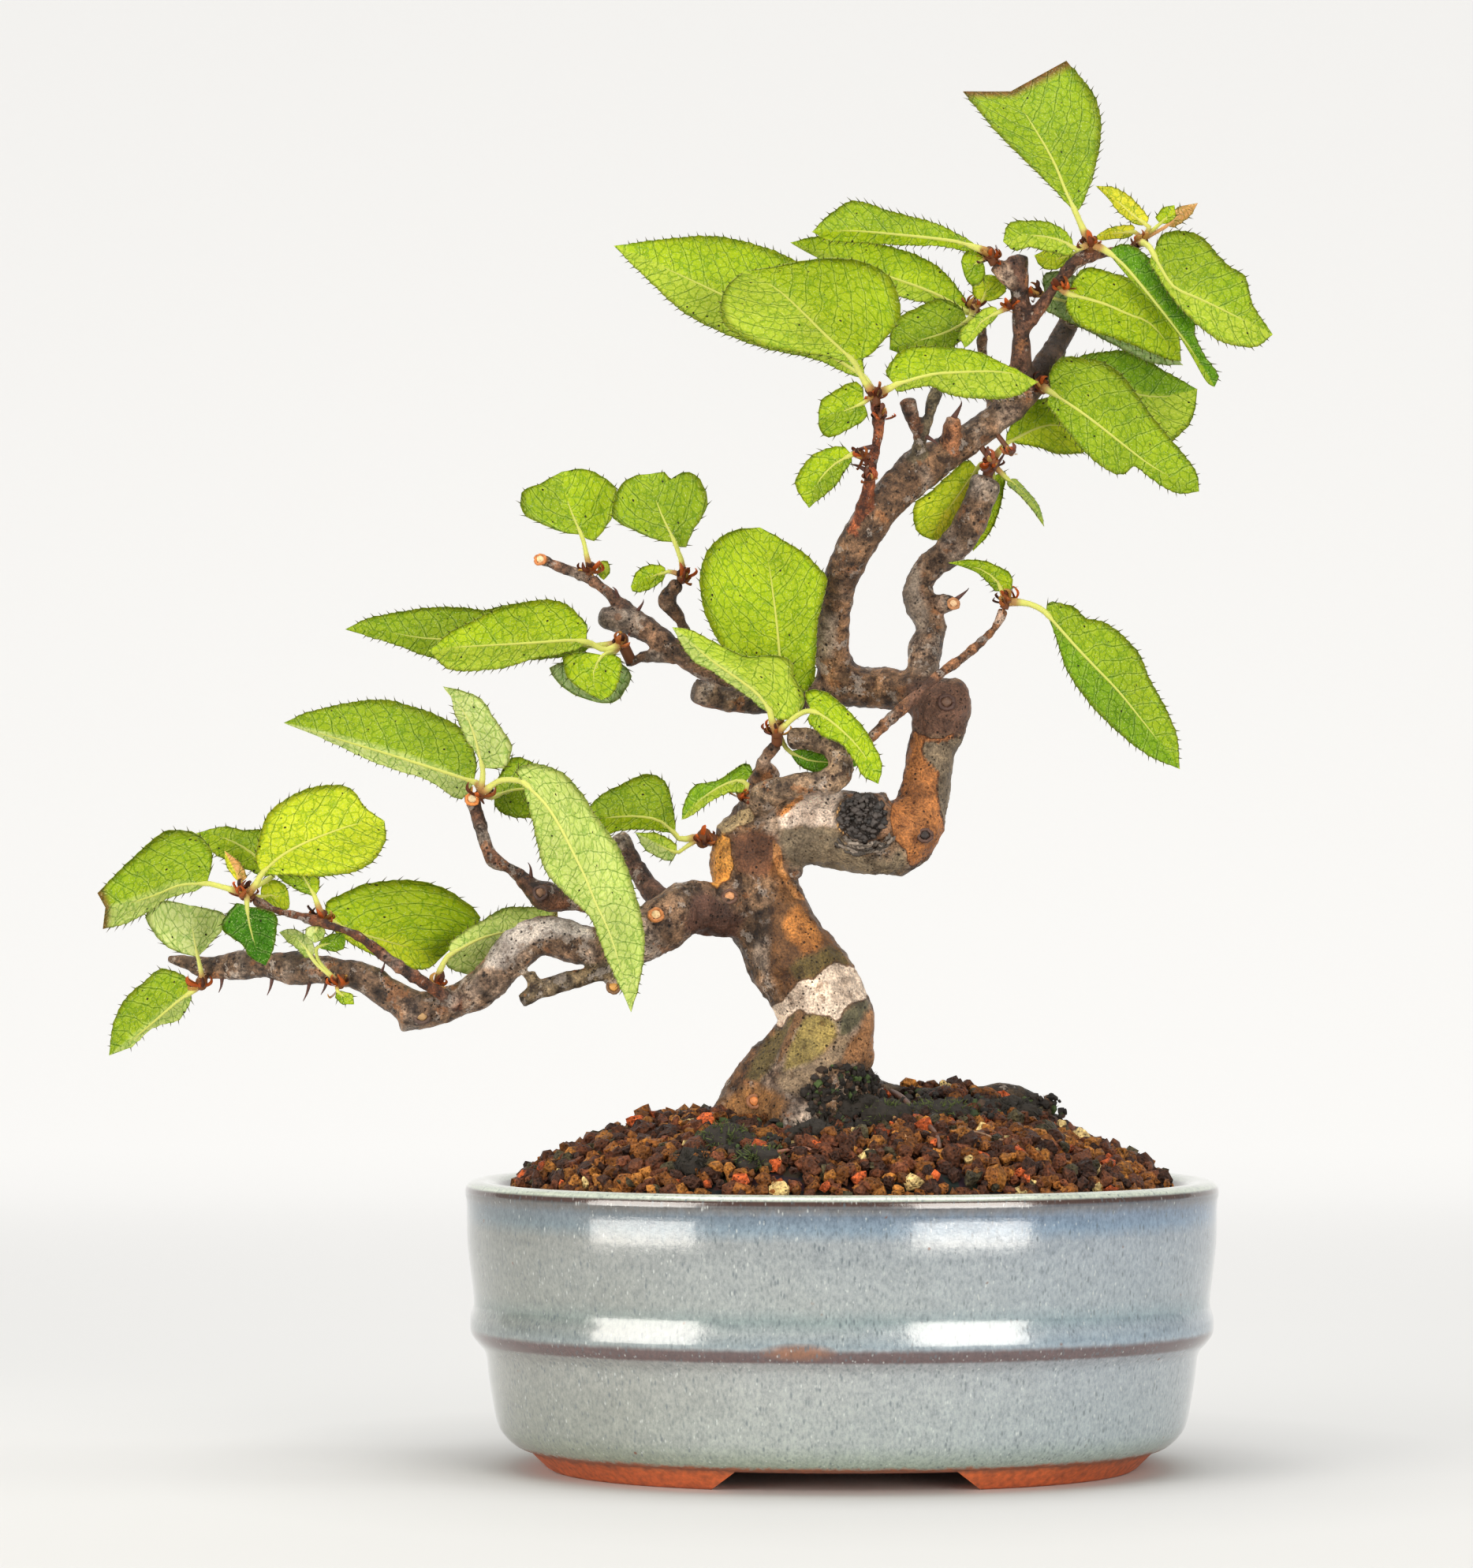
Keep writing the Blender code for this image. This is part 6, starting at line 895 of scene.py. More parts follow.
def leaf_material():
    """Blade finish from its uv, in millimetres along and across the rib: side veins bend forward
    from the rib every 3.4 mm; between them a net, small raised cells, dark specks and pin holes."""
    made, web, shader = nodes_of("leaf", 0.5)
    uv = web.nodes.new("ShaderNodeUVMap")
    uv.uv_map = "blade"
    flat = uv.outputs["UV"]
    along, across = parts_of(flat)[:2]
    reach = calc("ABSOLUTE", across)
    side = calc("SIGN", across)
    wander = times(noise(flat, 0.22, 2.0), 2.2)
    forward = times(reach, 0.62)
    curve = times(times(reach, reach), 0.035)
    phase = minus(minus(along, forward), curve)
    phase = plus(plus(phase, wander), times(side, 0.85))
    wave = calc("PINGPONG", phase, 1.7)
    vein = ramp(wave, ((0.0, 1.0), (0.07, 0.4), (0.13, 0.0)))
    shade = ramp(wave, ((0.1, 0.0), (0.24, 1.0), (0.5, 0.0)))
    bent = new_value("VectorMath", 0, {0: flat, 1: noise(flat, 0.9, 3.0)})
    net = ramp(cells(bent, 0.62, "DISTANCE_TO_EDGE"), ((0.0, 1.0), (0.09, 0.0)))
    pebble = cells(flat, 2.1)
    grain = noise(flat, 2.4, 3.0, 0.7)
    patches = noise(flat, 0.13, 4.0)
    base = tinted(colour_of(web), ramp(patches, ((0.3, (0.88, 0.92, 0.8)), (0.7, (1.1, 1.06, 1.15)))))
    base = tinted(base, ramp(pebble, ((0.05, (1.1, 1.07, 1.25)), (0.45, (1.0, 1.0, 1.0)),
                                      (0.8, (0.84, 0.9, 0.7)))))
    base = tinted(base, ramp(grain, ((0.32, (0.9, 0.94, 0.85)), (0.66, (1.07, 1.05, 1.1)))))
    base = mix("MULTIPLY", times(net, 0.75), base, (0.42, 0.62, 0.3))
    base = mix("MULTIPLY", times(vein, 0.9), base, (0.4, 0.6, 0.28))
    base = over(times(shade, 0.1), base, (0.68, 0.8, 0.3))
    # Painted sheen: pale blotches laid into the blade's colour where the noise is high.
    painted_sheen = ramp(noise(flat, 3.4, 2.0), ((0.6, 0.0), (0.68, 0.4)))
    base = over(painted_sheen, base, (0.66, 0.72, 0.34))
    specks = dots(flat, 0.5, 0.08, 0.12)
    chance = rising(noise(flat, 0.3, 1.0), 0.53, 0.57)
    base = over(times(specks, chance), base, (0.02, 0.018, 0.006))
    holes = dots(flat, 1.15, 0.07, 0.13)
    base = mix("MULTIPLY", times(holes, 0.75), base, (0.25, 0.4, 0.1))
    feed(shader, "Base Color", base)
    height = plus(times(vein, -0.7), times(net, -0.5))
    height = plus(height, times(pebble, -0.5))
    bump(shader, height, 0.7, 0.0003)
    feed(shader, "Subsurface Weight", 0.1)
    feed(shader, "Subsurface Radius", (0.6, 1.0, 0.1))
    feed(shader, "Subsurface Scale", 0.0006)
    feed(shader, "Specular IOR Level", 0.15)
    return made


def blade_grid(shape):
    """Middle surface of a blade. Row i joins the i-th points of the rib and both edges, which are
    evenly spaced runs; column s goes from the upper edge, s = -1, to the lower, s = 1. Depth is the
    rib's plus the fold for each millimetre across, plus a shallow hollow s2 - s4 and a margin wave."""
    knots = shape["rib"]
    length = np.sum(lengths(np.diff(knots, axis=0)))
    rows = max(8, int(length / ROW_STEP))
    rib = smooth_run(knots, rows + 1)
    upper, lower = (smooth_run(np.vstack((knots[:1], shape[side])), rows + 1)
                    for side in ("upper", "lower"))
    t = np.linspace(0, 1, rows + 1)
    s = np.linspace(-1, 1, 2 * COLUMNS + 1)
    away = np.abs(s)[None, :, None]
    edge = np.where(s[None, :, None] < 0, upper[:, None], lower[:, None])
    place = rib[:, None] + away * (edge - rib[:, None])
    across = lengths(edge - rib[:, None])
    reach = np.abs(s)[None, :] * across
    lean = np.where(s < 0, shape["fold"][0], shape["fold"][1])[None, :]
    y_base, y_tip = shape["depth"][1:]
    seed = abs(knots[0, 0] * 1.7 + knots[-1, 1]) % 6.28
    hollow = 0.1 * across * (s ** 2 - s ** 4)[None, :] * 4
    swing = t[:, None] * length / 1.6 + seed + 1.3 * (s > 0)[None, :]
    wave = 0.035 * across * (s ** 4)[None, :] * np.sin(swing)
    bow = 0.03 * length * np.sin(math.pi * t)[:, None]
    y = y_base + (y_tip - y_base) * t[:, None] + lean * reach + hollow + wave - bow
    middle = seen(place[..., 0], place[..., 1], y)
    return middle, t * length, np.where(s < 0, -1, 1)[None, :] * reach, s, t


def grow_leaf(work, shape, bud):
    """One leaf in a Builder: two faces 0.3 mm apart along the blade's normal with a rim between
    them, a round stalk running on as the raised rib, and a tooth with a dark hair every 1.4 mm."""
    words = shape["look"]
    middle, u, v, s, t = blade_grid(shape)
    rows, columns = middle.shape[:2]
    normal = unit(np.cross(np.gradient(middle, axis=0), np.gradient(middle, axis=1)))
    if normal[..., 1].mean() > 0:
        normal = -normal
    ramping = (u / SPINE_STEP) % 1
    for column, neighbour in ((0, 1), (-1, -2)):
        outward = unit(middle[:, column] - middle[:, neighbour])
        width = lengths(middle[:, column] - middle[:, columns // 2])
        tooth = 0.3 * ramping * (width > 1) * (t > 0.06) * (t < 0.95)
        middle[:, column] += outward * tooth[:, None]
    thickness = BLADE_THICKNESS * (0.55 + 0.45 * (1 - s ** 2))[None, :, None]
    half_upper, half_lower = (np.array(TONES[word]) for word in words[:2])
    tone = np.where((s < 0)[None, :, None], half_upper, half_lower) * np.ones((rows, columns, 1))
    flat = middle.reshape(-1, 3)
    blotch = (1 + 0.14 * lattice_noise(flat, 6.0, 3)).reshape(rows, columns, 1)
    tone = tone * blotch
    margin = np.clip((np.abs(s) - 0.93) / 0.07, 0, 1)[None, :, None]
    tone = tone * (1 - 0.55 * margin) + np.array((0.12, 0.1, 0.01)) * 0.55 * margin
    if "torn" in words:
        brown = np.clip((t - 0.93) / 0.05, 0, 1)[:, None, None]
        tone = tone * (1 - brown) + np.array((0.2, 0.09, 0.025)) * brown
    reverse = tone * 0.35 + np.array(TONES["under"]) * 0.65
    if "back" in words:
        reverse = np.array(TONES["mid"]) * blotch
    faces = grid_faces(rows, columns)
    uv = np.stack(np.broadcast_arrays(u[:, None], v), axis=-1).reshape(-1, 2)
    shift = normal * thickness / 2
    turned = np.cross(np.gradient(middle, axis=0), np.gradient(middle, axis=1))
    same = np.sum(turned * normal, axis=-1).mean() > 0
    first = work.count
    work.add(middle + shift, faces[:, ::-1] if same else faces, tone.reshape(-1, 3), uv)
    work.add(middle - shift, faces if same else faces[:, ::-1], reverse.reshape(-1, 3), uv)
    index = np.arange(rows * columns).reshape(rows, columns)
    rim = np.concatenate((index[:, 0], index[-1, 1:], index[-2::-1, -1], index[0, -2:0:-1]))
    after = np.roll(rim, -1)
    back_first = rows * columns
    band = np.stack((rim, after, after + back_first, rim + back_first), axis=1) + first
    work.faces.append(band if same else band[:, ::-1])
    grow_stalk(work, shape, bud, middle[:, columns // 2], half_upper, "pink" in words)
    grow_spines(work, middle, u)


def grow_stalk(work, shape, bud, rib, tone, red):
    """The stalk and rib: a tube from the bud, 1.2 mm thick, that thins as (1 - t)^0.8 along the blade."""
    count = len(shape["stalk"])
    y_foot, y_base = shape["depth"][:2]
    line = np.array([seen(gx, gz, y_foot + (y_base - y_foot) * i / count)
                     for i, (gx, gz) in enumerate(shape["stalk"])])
    heart = seen(*bud[:3])
    if np.linalg.norm(line[0] - heart) > bud[3] * 0.6:
        line = np.vstack((heart + unit(line[0] - heart) * bud[3] * 0.3, line))
    blade = rib[::3]
    stalk_length = np.sum(np.linalg.norm(np.diff(np.vstack((line, blade[:1])), axis=0), axis=1))
    stalk = smooth_run(np.vstack((line, blade[:2])), max(5, int(stalk_length / 0.8)))[:-1]
    run = np.vstack((stalk, blade[1:]))
    small = min(1.0, 0.45 + len(blade) / 24)
    thin = np.linspace(1, 0, len(blade) - 1) ** 0.8
    radii = np.concatenate((np.full(len(stalk), 0.55), 0.1 + 0.24 * thin)) * small
    radii[:3] = radii[:3] * np.array((1.7, 1.4, 1.15))
    pale = np.array((0.66, 0.66, 0.17)) if not red else np.array((0.7, 0.35, 0.15))
    share = np.linspace(0, 1, len(run))[:, None]
    colour = pale * (1 - 0.5 * share) + tone * 0.55 * share
    colour[:2] = (0.45, 0.25, 0.09)
    add_tube(work, run, radii, 8, colour)
    grow_hairs(work, run[:len(stalk) + 2], radii[:len(stalk) + 2])


def grow_hairs(work, run, radii):
    """Short pale hairs on a stalk: three-sided spikes 0.45 mm long, turned 137.5 degrees from one
    to the next and set 0.25 mm apart."""
    reach = reach_along(run)
    stations = np.arange(0.4, reach[-1], 0.25)
    if not len(stations):
        return
    place, along = (values_at(stations, reach, values)
                    for values in (run, np.gradient(run, axis=0)))
    along = unit(along)
    side = unit(np.cross(along, (0.13, 1.0, 0.07)))
    turn = (np.arange(len(stations)) * math.radians(137.5))[:, None]
    out = side * np.cos(turn) + np.cross(along, side) * np.sin(turn)
    root = place + out * np.interp(stations, reach, radii)[:, None] * 0.8
    add_spikes(work, root, root + out * 0.5 + along * 0.2, 0.07, (0.75, 0.7, 0.4), (0.8, 0.75, 0.5))


def add_spikes(work, root, tip, width, low, high):
    """Three-sided spikes from root to tip, each row its own, with low and high end colours."""
    along = unit(tip - root)
    side = unit(np.cross(along, (0.31, 0.23, 1.0)))
    other = np.cross(along, side)
    ring = [root + (side * math.cos(a) + other * math.sin(a)) * width for a in (0.3, 2.4, 4.5)]
    corners = np.stack(ring + [tip], axis=1)
    base = np.arange(len(root))[:, None] * 4
    faces = np.concatenate([base + np.array(f) for f in ((0, 1, 3), (1, 2, 3), (2, 0, 3), (0, 2, 1))])
    work.add(corners, faces, np.tile(np.array((low, low, low, high)), (len(root), 1)))


def grow_spines(work, middle, u):
    """A dark hair on each tooth: its base lies in the rim and its tip stands 0.95 mm out and
    0.75 mm forward."""
    columns = middle.shape[1]
    stations = np.arange(SPINE_STEP, u[-1] * 0.97, SPINE_STEP)
    for column, neighbour in ((0, 1), (columns - 1, columns - 2)):
        place, inner, rib, slope = (
            values_at(stations, u, values)
            for values in (middle[:, column], middle[:, neighbour], middle[:, columns // 2],
                           np.gradient(middle[:, column], axis=0)))
        keep = lengths(place - rib) > 1.0
        if not keep.any():
            continue
        forward, outward = unit(slope[keep]), unit(place - inner)[keep]
        root = place[keep] - outward * 0.1
        add_spikes(work, root, root + outward * 1.05 + forward * 0.75, 0.155,
                   (0.1, 0.1, 0.015), (0.035, 0.02, 0.01))


# Middle lines of all limbs, 60 points to a limb, as (gx, gz, depth, radius) and as places
LIMB_LINES = np.vstack([smooth_run(run, 60) for run, tone in LIMBS])
WOOD = seen(*LIMB_LINES.T[:3])


def grow_bud(work, bud, draw):
    """A bud: a small egg on a neck from the nearest wood, wrapped in 13 pointed scales, each bowed
    over it by t(1 - t) along its length and bent back at its tip."""
    heart = seen(*bud[:3])
    radius = bud[3]
    root = WOOD[lengths(WOOD - heart).argmin()]
    add_tube(work, np.linspace(root, heart, 6), np.full(6, min(0.55 * radius, 1.1)), 10,
             (0.15, 0.055, 0.025))
    angle = np.linspace(0, math.pi, 9)
    lean = unit(draw.normal(size=3) * 0.3 + np.array((0, 0, 1.0)))
    centres = heart + lean * (-np.cos(angle) * radius * 0.85)[:, None]
    radii = np.maximum(np.sin(angle) * radius * 0.66, 0.05)
    add_tube(work, centres, radii, 12, (0.16, 0.06, 0.025))
    hues = ((0.62, 0.12, 0.02), (0.2, 0.05, 0.02), (0.42, 0.12, 0.03), (0.62, 0.32, 0.08),
            (0.09, 0.03, 0.018))
    for number in range(13):
        out = unit(draw.normal(size=3) * np.array((1, 0.8, 0.5)) - np.array((0, 0.5, 0)))
        side = unit(np.cross(out, lean + 0.01))
        length = draw.uniform(1.5, 3.3) * min(1.0, 0.5 + radius / 3)
        width = draw.uniform(0.4, 0.75) * min(1.0, 0.5 + radius / 3)
        t = np.linspace(0, 1, 8)[:, None, None]
        s = np.linspace(-1, 1, 5)[None, :, None]
        bend = unit(out * 0.6 + lean * 0.8 + draw.normal(size=3) * 0.4)
        spine = (heart + out * radius * 0.35 - lean * radius * 0.4
                 + (out * (t * (1 - t)) * 1.6 + bend * t) * length)
        blade = spine + side * s * width * (1 - t) ** 0.7 * (0.6 + 1.1 * t) - out * (s ** 2) * 0.25
        thick = unit(np.cross(side, bend)) * 0.1
        colour = np.array(hues[number % len(hues)]) * draw.uniform(0.8, 1.2)
        faces = grid_faces(8, 5)
        work.add(blade + thick, faces, colour)
        work.add(blade - thick, faces[:, ::-1], colour * 0.6)


def shoot(name, finish):
    """One leafy shoot in place of its solid."""
    bud, leaves = SPRAYS[name]
    work = Builder()
    draw = np.random.default_rng(sum(name.encode()))
    for shape in leaves:
        grow_leaf(work, shape, bud)
    grow_bud(work, bud, draw)
    settle(work.finish(name + "_leaves"), finish, name)


def nearest_limb(points):
    """Radius, depth and bark colour of the limb nearest to each point, and the point's place along
    that limb: the nearest knot's own plus what the point lies ahead of it."""
    knots, tones, starts, ahead = [], [], [], []
    for number, (run, tone) in enumerate(LIMBS):
        rows = smooth_run(run, LIMB_KNOTS)
        knots.append(rows)
        tones.append(np.tile(tone, (LIMB_KNOTS, 1)))
        centres = seen(*rows.T[:3])
        starts.append(reach_along(centres) + number * LIMB_STRIDE)
        ahead.append(unit(np.gradient(centres, axis=0)))
    knots, tones, starts, ahead = (np.concatenate(g) for g in (knots, tones, starts, ahead))
    centres = seen(*knots.T[:3])
    nearest = np.empty(len(points), dtype=int)
    for start in range(0, len(points), 20000):
        part = points[start:start + 20000]
        gap = lengths(part[:, None] - centres[None]) - knots[None, :, 3]
        nearest[start:start + 20000] = gap.argmin(axis=1)
    along = starts[nearest] + np.sum((points - centres[nearest]) * ahead[nearest], axis=1)
    return knots[nearest, 3], centres[nearest, 1], tones[nearest], along


def outline_distance(gx, gz, outline):
    """Distance to an outline, below zero inside it: the nearest point of each side is the foot of
    the square on it, and inside means that a ray crosses the sides an odd number of times."""
    nearest = np.full(len(gx), 1e9)
    inside = np.zeros(len(gx), dtype=bool)
    for (x0, z0), (x1, z1) in zip(outline, np.roll(outline, -1, axis=0)):
        dx, dz = x1 - x0, z1 - z0
        along = np.clip(((gx - x0) * dx + (gz - z0) * dz) / (dx * dx + dz * dz), 0, 1)
        nearest = np.minimum(nearest, np.hypot(gx - x0 - along * dx, gz - z0 - along * dz))
        crosses = (z0 > gz) != (z1 > gz)
        inside ^= crosses & (gx < x0 + (gz - z0) * dx / (dz if dz else 1e-9))
    return np.where(inside, -nearest, nearest)


def lay_patches(points, depth, layer):
    """For each point the colour of the layer's nearest patch with its distance, below zero inside,
    and how far the point is raised. Patches end 1.5 mm behind the limb's middle."""
    gx, gz = shown_at(points)
    values = np.tile((0.2, 0.15, 0.1, 9.0), (len(points), 1))
    raised = np.zeros(len(points))
    behind = points[:, 1] - depth - 1.5
    for colour, rise, outline in layer:
        low, high = np.min(outline, axis=0) - 2.5, np.max(outline, axis=0) + 2.5
        near = np.flatnonzero((gx > low[0]) & (gx < high[0]) & (gz > low[1]) & (gz < high[1]))
        gap = np.maximum(outline_distance(gx[near], gz[near], outline), behind[near])
        closer = gap < values[near, 3]
        chosen = near[closer]
        values[chosen, :3] = colour
        values[chosen, 3] = gap[closer]
        raised[near] += rise * np.clip(0.5 - gap / 0.6, 0, 1)
    return values, raised


def bark_material():
    """Bark: each limb's colour broken by pale grey flecks, partly the bark's grey scales and partly painted
    highlights, then four layers of patches, the first two with soft edges and the others ragged and darkly
    outlined, one soft wash being a painted highlight along the top of the left branch; black pits and
    specks over all."""
    made, web, shader = nodes_of("bark", 0.5)
    place = place_of(web)
    coarse = noise(place, 520, 6.0, 0.7)
    fine = noise(place, 2400, 4.0, 0.65)
    broad = noise(place, 170, 4.0, 0.55)
    scales = noise(place, 330, 6.0, 0.65)
    base = tinted(colour_of(web), ramp(coarse, ((0.39, (0.22, 0.17, 0.15)), (0.49, (0.9, 0.86, 0.82)),
                                                (0.64, (1.95, 1.85, 1.75)))))
    # Pale grey flecks: partly the bark's grey scales, partly painted highlights.
    base = over(ramp(scales, ((0.575, 0.0), (0.59, 0.55))), base, (0.4, 0.34, 0.29))
    base = over(ramp(noise(place, 210, 5.0, 0.6), ((0.6, 0.0), (0.625, 0.6))), base, (0.3, 0.12, 0.04))
    ragged = times(minus(coarse, 0.5), 1.2)
    crust = ramp(coarse, ((0.36, (0.5, 0.43, 0.38)), (0.46, (1.0, 1.0, 1.0)), (0.66, (1.4, 1.38, 1.34))))
    within = None
    for name, sharp in (("zones", -0.7), ("washes", -1.0), ("patches", -4.0), ("marks", -3.0)):
        layer = tint_of(web, name)
        edge = plus(layer.outputs["Alpha"], ragged)
        mask = scaled(edge, sharp, 0.5)
        patch = tinted(layer.outputs["Color"], crust)
        base = over(mask, base, patch)
        if name == "patches":
            outline = ramp(calc("ABSOLUTE", edge), ((0.0, 0.85), (0.22, 0.0)))
            base = mix("MULTIPLY", outline, base, (0.3, 0.18, 0.1))
            within = calc("MAXIMUM", mask, 0.0)
    base = tinted(base, ramp(broad, ((0.36, (0.55, 0.52, 0.5)), (0.5, (1.0, 1.0, 1.0)),
                                     (0.64, (1.45, 1.42, 1.38)))))
    base = mix("MULTIPLY", 0.9, base, ramp(fine, ((0.36, 0.5), (0.5, 1.0), (0.64, 1.55))))
    pits = dots(place, 640, 0.1, 0.19)
    crowd = rising(noise(place, 200, 2.0), 0.46, 0.52)
    pits = times(pits, crowd)
    specks = dots(place, 1250, 0.14, 0.25)
    sparse = rising(noise(place, 330, 2.0), 0.48, 0.56)
    pits = calc("MAXIMUM", pits, times(specks, sparse))
    base = over(times(pits, 0.92), base, (0.012, 0.008, 0.007))
    feed(shader, "Base Color", base)
    height = scaled(fine, 0.5, coarse)
    height = scaled(calc("MINIMUM", within, 1.0), -0.3, height)
    height = scaled(pits, -0.8, height)
    bump(shader, height, 0.9, 0.0007)
    feed(shader, "Roughness", ramp(fine, ((0.35, 0.28), (0.6, 0.6))))
    feed(shader, "Specular IOR Level", 0.42)
    return made


def bake(thing):
    """Puts in place of a thing's mesh what its modifiers make of it."""
    bpy.context.view_layer.update()
    mesh = bpy.data.meshes.new_from_object(thing.evaluated_get(bpy.context.evaluated_depsgraph_get()))
    thing.modifiers.clear()
    thing.data = mesh
    return mesh


def tree(finish):
    """The wood: every limb a dense tube along its smooth run, grown together by a voxel skin,
    relaxed, then raised by noise - lumps, plates and grit up to half a millimetre high - and by
    its patches."""
    work = Builder()
    for knots, tone in LIMBS:
        length = np.sum(lengths(np.diff(knots[:, :3], axis=0)))
        rows = smooth_run(knots, max(6, int(length / 0.8)))
        centres = seen(*rows.T[:3])
        add_tube(work, centres, rows[:, 3], 28 if rows[:, 3].max() > 3 else 16, np.ones(3))
    thing = work.finish("tree_bark")
    skin = thing.modifiers.new("skin", "REMESH")
    skin.mode = "VOXEL"
    skin.voxel_size = WOOD_VOXEL * MM
    relax = thing.modifiers.new("relax", "SMOOTH")
    relax.iterations = 5
    relax.factor = 0.6
    mesh = bake(thing)
    count = len(mesh.vertices)
    places = np.empty(count * 3, dtype=np.float32)
    normals = np.empty(count * 3, dtype=np.float32)
    mesh.vertices.foreach_get("co", places)
    mesh.vertex_normals.foreach_get("vector", normals)
    points = places.reshape(-1, 3) / MM - POT_MIDDLE
    normals = normals.reshape(-1, 3)
    radius, depth, tone, along = nearest_limb(points)
    thick = np.clip((radius - 1.0) / 4, 0.2, 1)
    skew = along + 0.8 * lattice_noise(points, 3.0, 27)
    skew = np.stack((skew, 0 * skew, 0 * skew), axis=1)
    rings, bands = lattice_noise(skew, 1.1, 28), lattice_noise(skew, 4.5, 29)
    rise = (0.55 * lattice_noise(points, 6.0, 21) + 0.45 * lattice_noise(points, 2.8, 22)
            - 0.35 * np.abs(lattice_noise(points * np.array((1.4, 1.4, 0.7)), 1.6, 23))
            + 0.14 * lattice_noise(points, 0.9, 24)) * thick
    rise += (0.16 * rings + 0.2 * bands) * np.clip(1.6 - radius / 4, 0.15, 1)
    while mesh.color_attributes:
        mesh.color_attributes.remove(mesh.color_attributes[0])
    for name, layer in (("zones", ZONES), ("washes", WASHES), ("patches", PATCHES), ("marks", MARKS)):
        values, raised = lay_patches(points, depth, layer)
        add_tint(mesh, name, values)
        rise += raised
    streak = lattice_noise(points * np.array((1, 1, 0.4)), 2.0, 11)
    broad = lattice_noise(points, 7.0, 12)
    grey = np.clip(0.9 * bands + 0.5 * broad - 0.35 + 0.3 * streak, 0, 0.8)[:, None]
    shade = (tone * (1 + 0.3 * streak + 0.4 * rings)[:, None] * (1 - grey)
             + np.array((0.34, 0.29, 0.245)) * grey)
    add_tint(mesh, "tint", np.clip(shade, 0.01, 0.95))
    points = points + normals * rise[:, None]
    mesh.vertices.foreach_set("co", ((points + POT_MIDDLE) * MM).astype(np.float32).ravel())
    set_smooth(mesh)
    mesh.update()
    settle(thing, finish, "tree")


def on_wood(gx, gz):
    """The front of the frontmost limb that shows at gx, gz: a round limb's surface stands
    sqrt(r2 - d2) before its middle, d being the distance off its run."""
    run_x, run_z, depth, radius = LIMB_LINES.T
    off = np.hypot(run_x - gx, run_z - gz)
    front = depth - np.sqrt(np.maximum(radius ** 2 - off ** 2, 0)) + np.where(off > radius + 0.6, 99, 0)
    return seen(gx, gz, front.min() if front.min() < 50 else depth[off.argmin()])


def round_cut(reach, angle):
    """Where a point shows that lies at a reach and an angle from the middle of the old cut."""
    return CUT_X + reach * math.cos(angle), CUT_Z + reach * math.sin(angle)


def bark_details(finish):
    """Callus beads and crumbs on the old cut, red bud scales, ringed scars and cut ends,
    thorn-like scales, and root hairs that cross the soil."""
    draw = np.random.default_rng(9)
    work = Builder()
    form, sides = grain_form()
    for turn in CALLUS:
        angle = math.radians(turn + draw.uniform(-4, 4))
        reach = 4.5 + draw.uniform(-0.35, 0.3)
        heart = seen(*round_cut(reach, angle), -10.2)
        size = draw.uniform(0.1, 0.26)
        work.add(heart + form * size * np.array((0.8, 0.8, 1.5)), sides, (0.6, 0.32, 0.1))
    for number in range(240):
        angle, reach = draw.uniform(0, 2 * math.pi), 4.4 * math.sqrt(draw.random())
        gx, gz = round_cut(reach, angle)
        heart = seen(gx, gz, 0.28 * math.hypot(gx - 5, gz - 120) - 11.8)
        shade = draw.uniform(0.012, 0.075)
        lump = form * (0.15 + 0.6 * draw.random() ** 2.5) * draw.uniform((0.7, 0.35, 0.6), (1.6, 0.7, 1.3))
        lump *= draw.uniform(0.7, 1.2, (len(form), 1))
        work.add(heart + lump, sides, (shade, shade * 0.8, shade * 0.7))
    for number in range(60):
        angle, reach = math.radians(draw.uniform(225, 325)), draw.uniform(5.0, 7.0)
        gx, gz = round_cut(reach, angle)
        run = np.array([(gx + step * math.sin(angle), gz - step * math.cos(angle))
                        for step in (-0.7, -0.2, 0.3, 0.8)])
        run = np.array([on_wood(x, z) for x, z in run + draw.normal(size=(4, 2)) * 0.12])
        shade = draw.choice((0.07, 0.14, 0.3))
        add_tube(work, run, np.array((0.16, 0.36, 0.34, 0.14)), 6, (shade, shade * 0.82, shade * 0.66))
    for scale in SCALES:
        grow_bud(work, scale, draw)
    circle = np.linspace(0, 2 * math.pi, 17)
    for gx, gz, radius, *colours in SCARS:
        rim, core = colours[:3], colours[3:]
        heart = on_wood(gx, gz) + np.array((0, 0.1, 0))
        loop = heart + radius * np.stack((np.cos(circle), 0.3 * np.sin(circle), 0.92 * np.sin(circle)),
                                         axis=1)
        loop += draw.normal(size=loop.shape) * 0.06
        add_tube(work, loop, np.full(17, radius * 0.3), 8, rim)
        work.add(heart + form * radius * np.array((0.85, 0.3, 0.8)), sides, core)
    for root_x, root_z, tip_x, tip_z, y in THORNS:
        root, tip = seen(root_x, root_z, y), seen(tip_x, tip_z, y)
        root = WOOD[lengths(WOOD - root).argmin()]
        bend = root * 0.3 + tip * 0.7 + np.array((0.35, -0.2, 0.15))
        run = smooth_run((root, bend, tip), 9)
        add_tube(work, run, np.linspace(0.65, 0.06, 9), 7, (0.09, 0.03, 0.02))
    for colour, radius, line in ROOT_HAIRS:
        run = smooth_run([on_soil(gx, gz) for gx, gz in line], 24)
        run[:, 2] += 0.4 * np.sin(np.linspace(0, 9, 24))
        add_tube(work, run, np.linspace(radius, radius * 0.55, 24), 8, colour)
    settle(work.finish("bark_details"), finish)


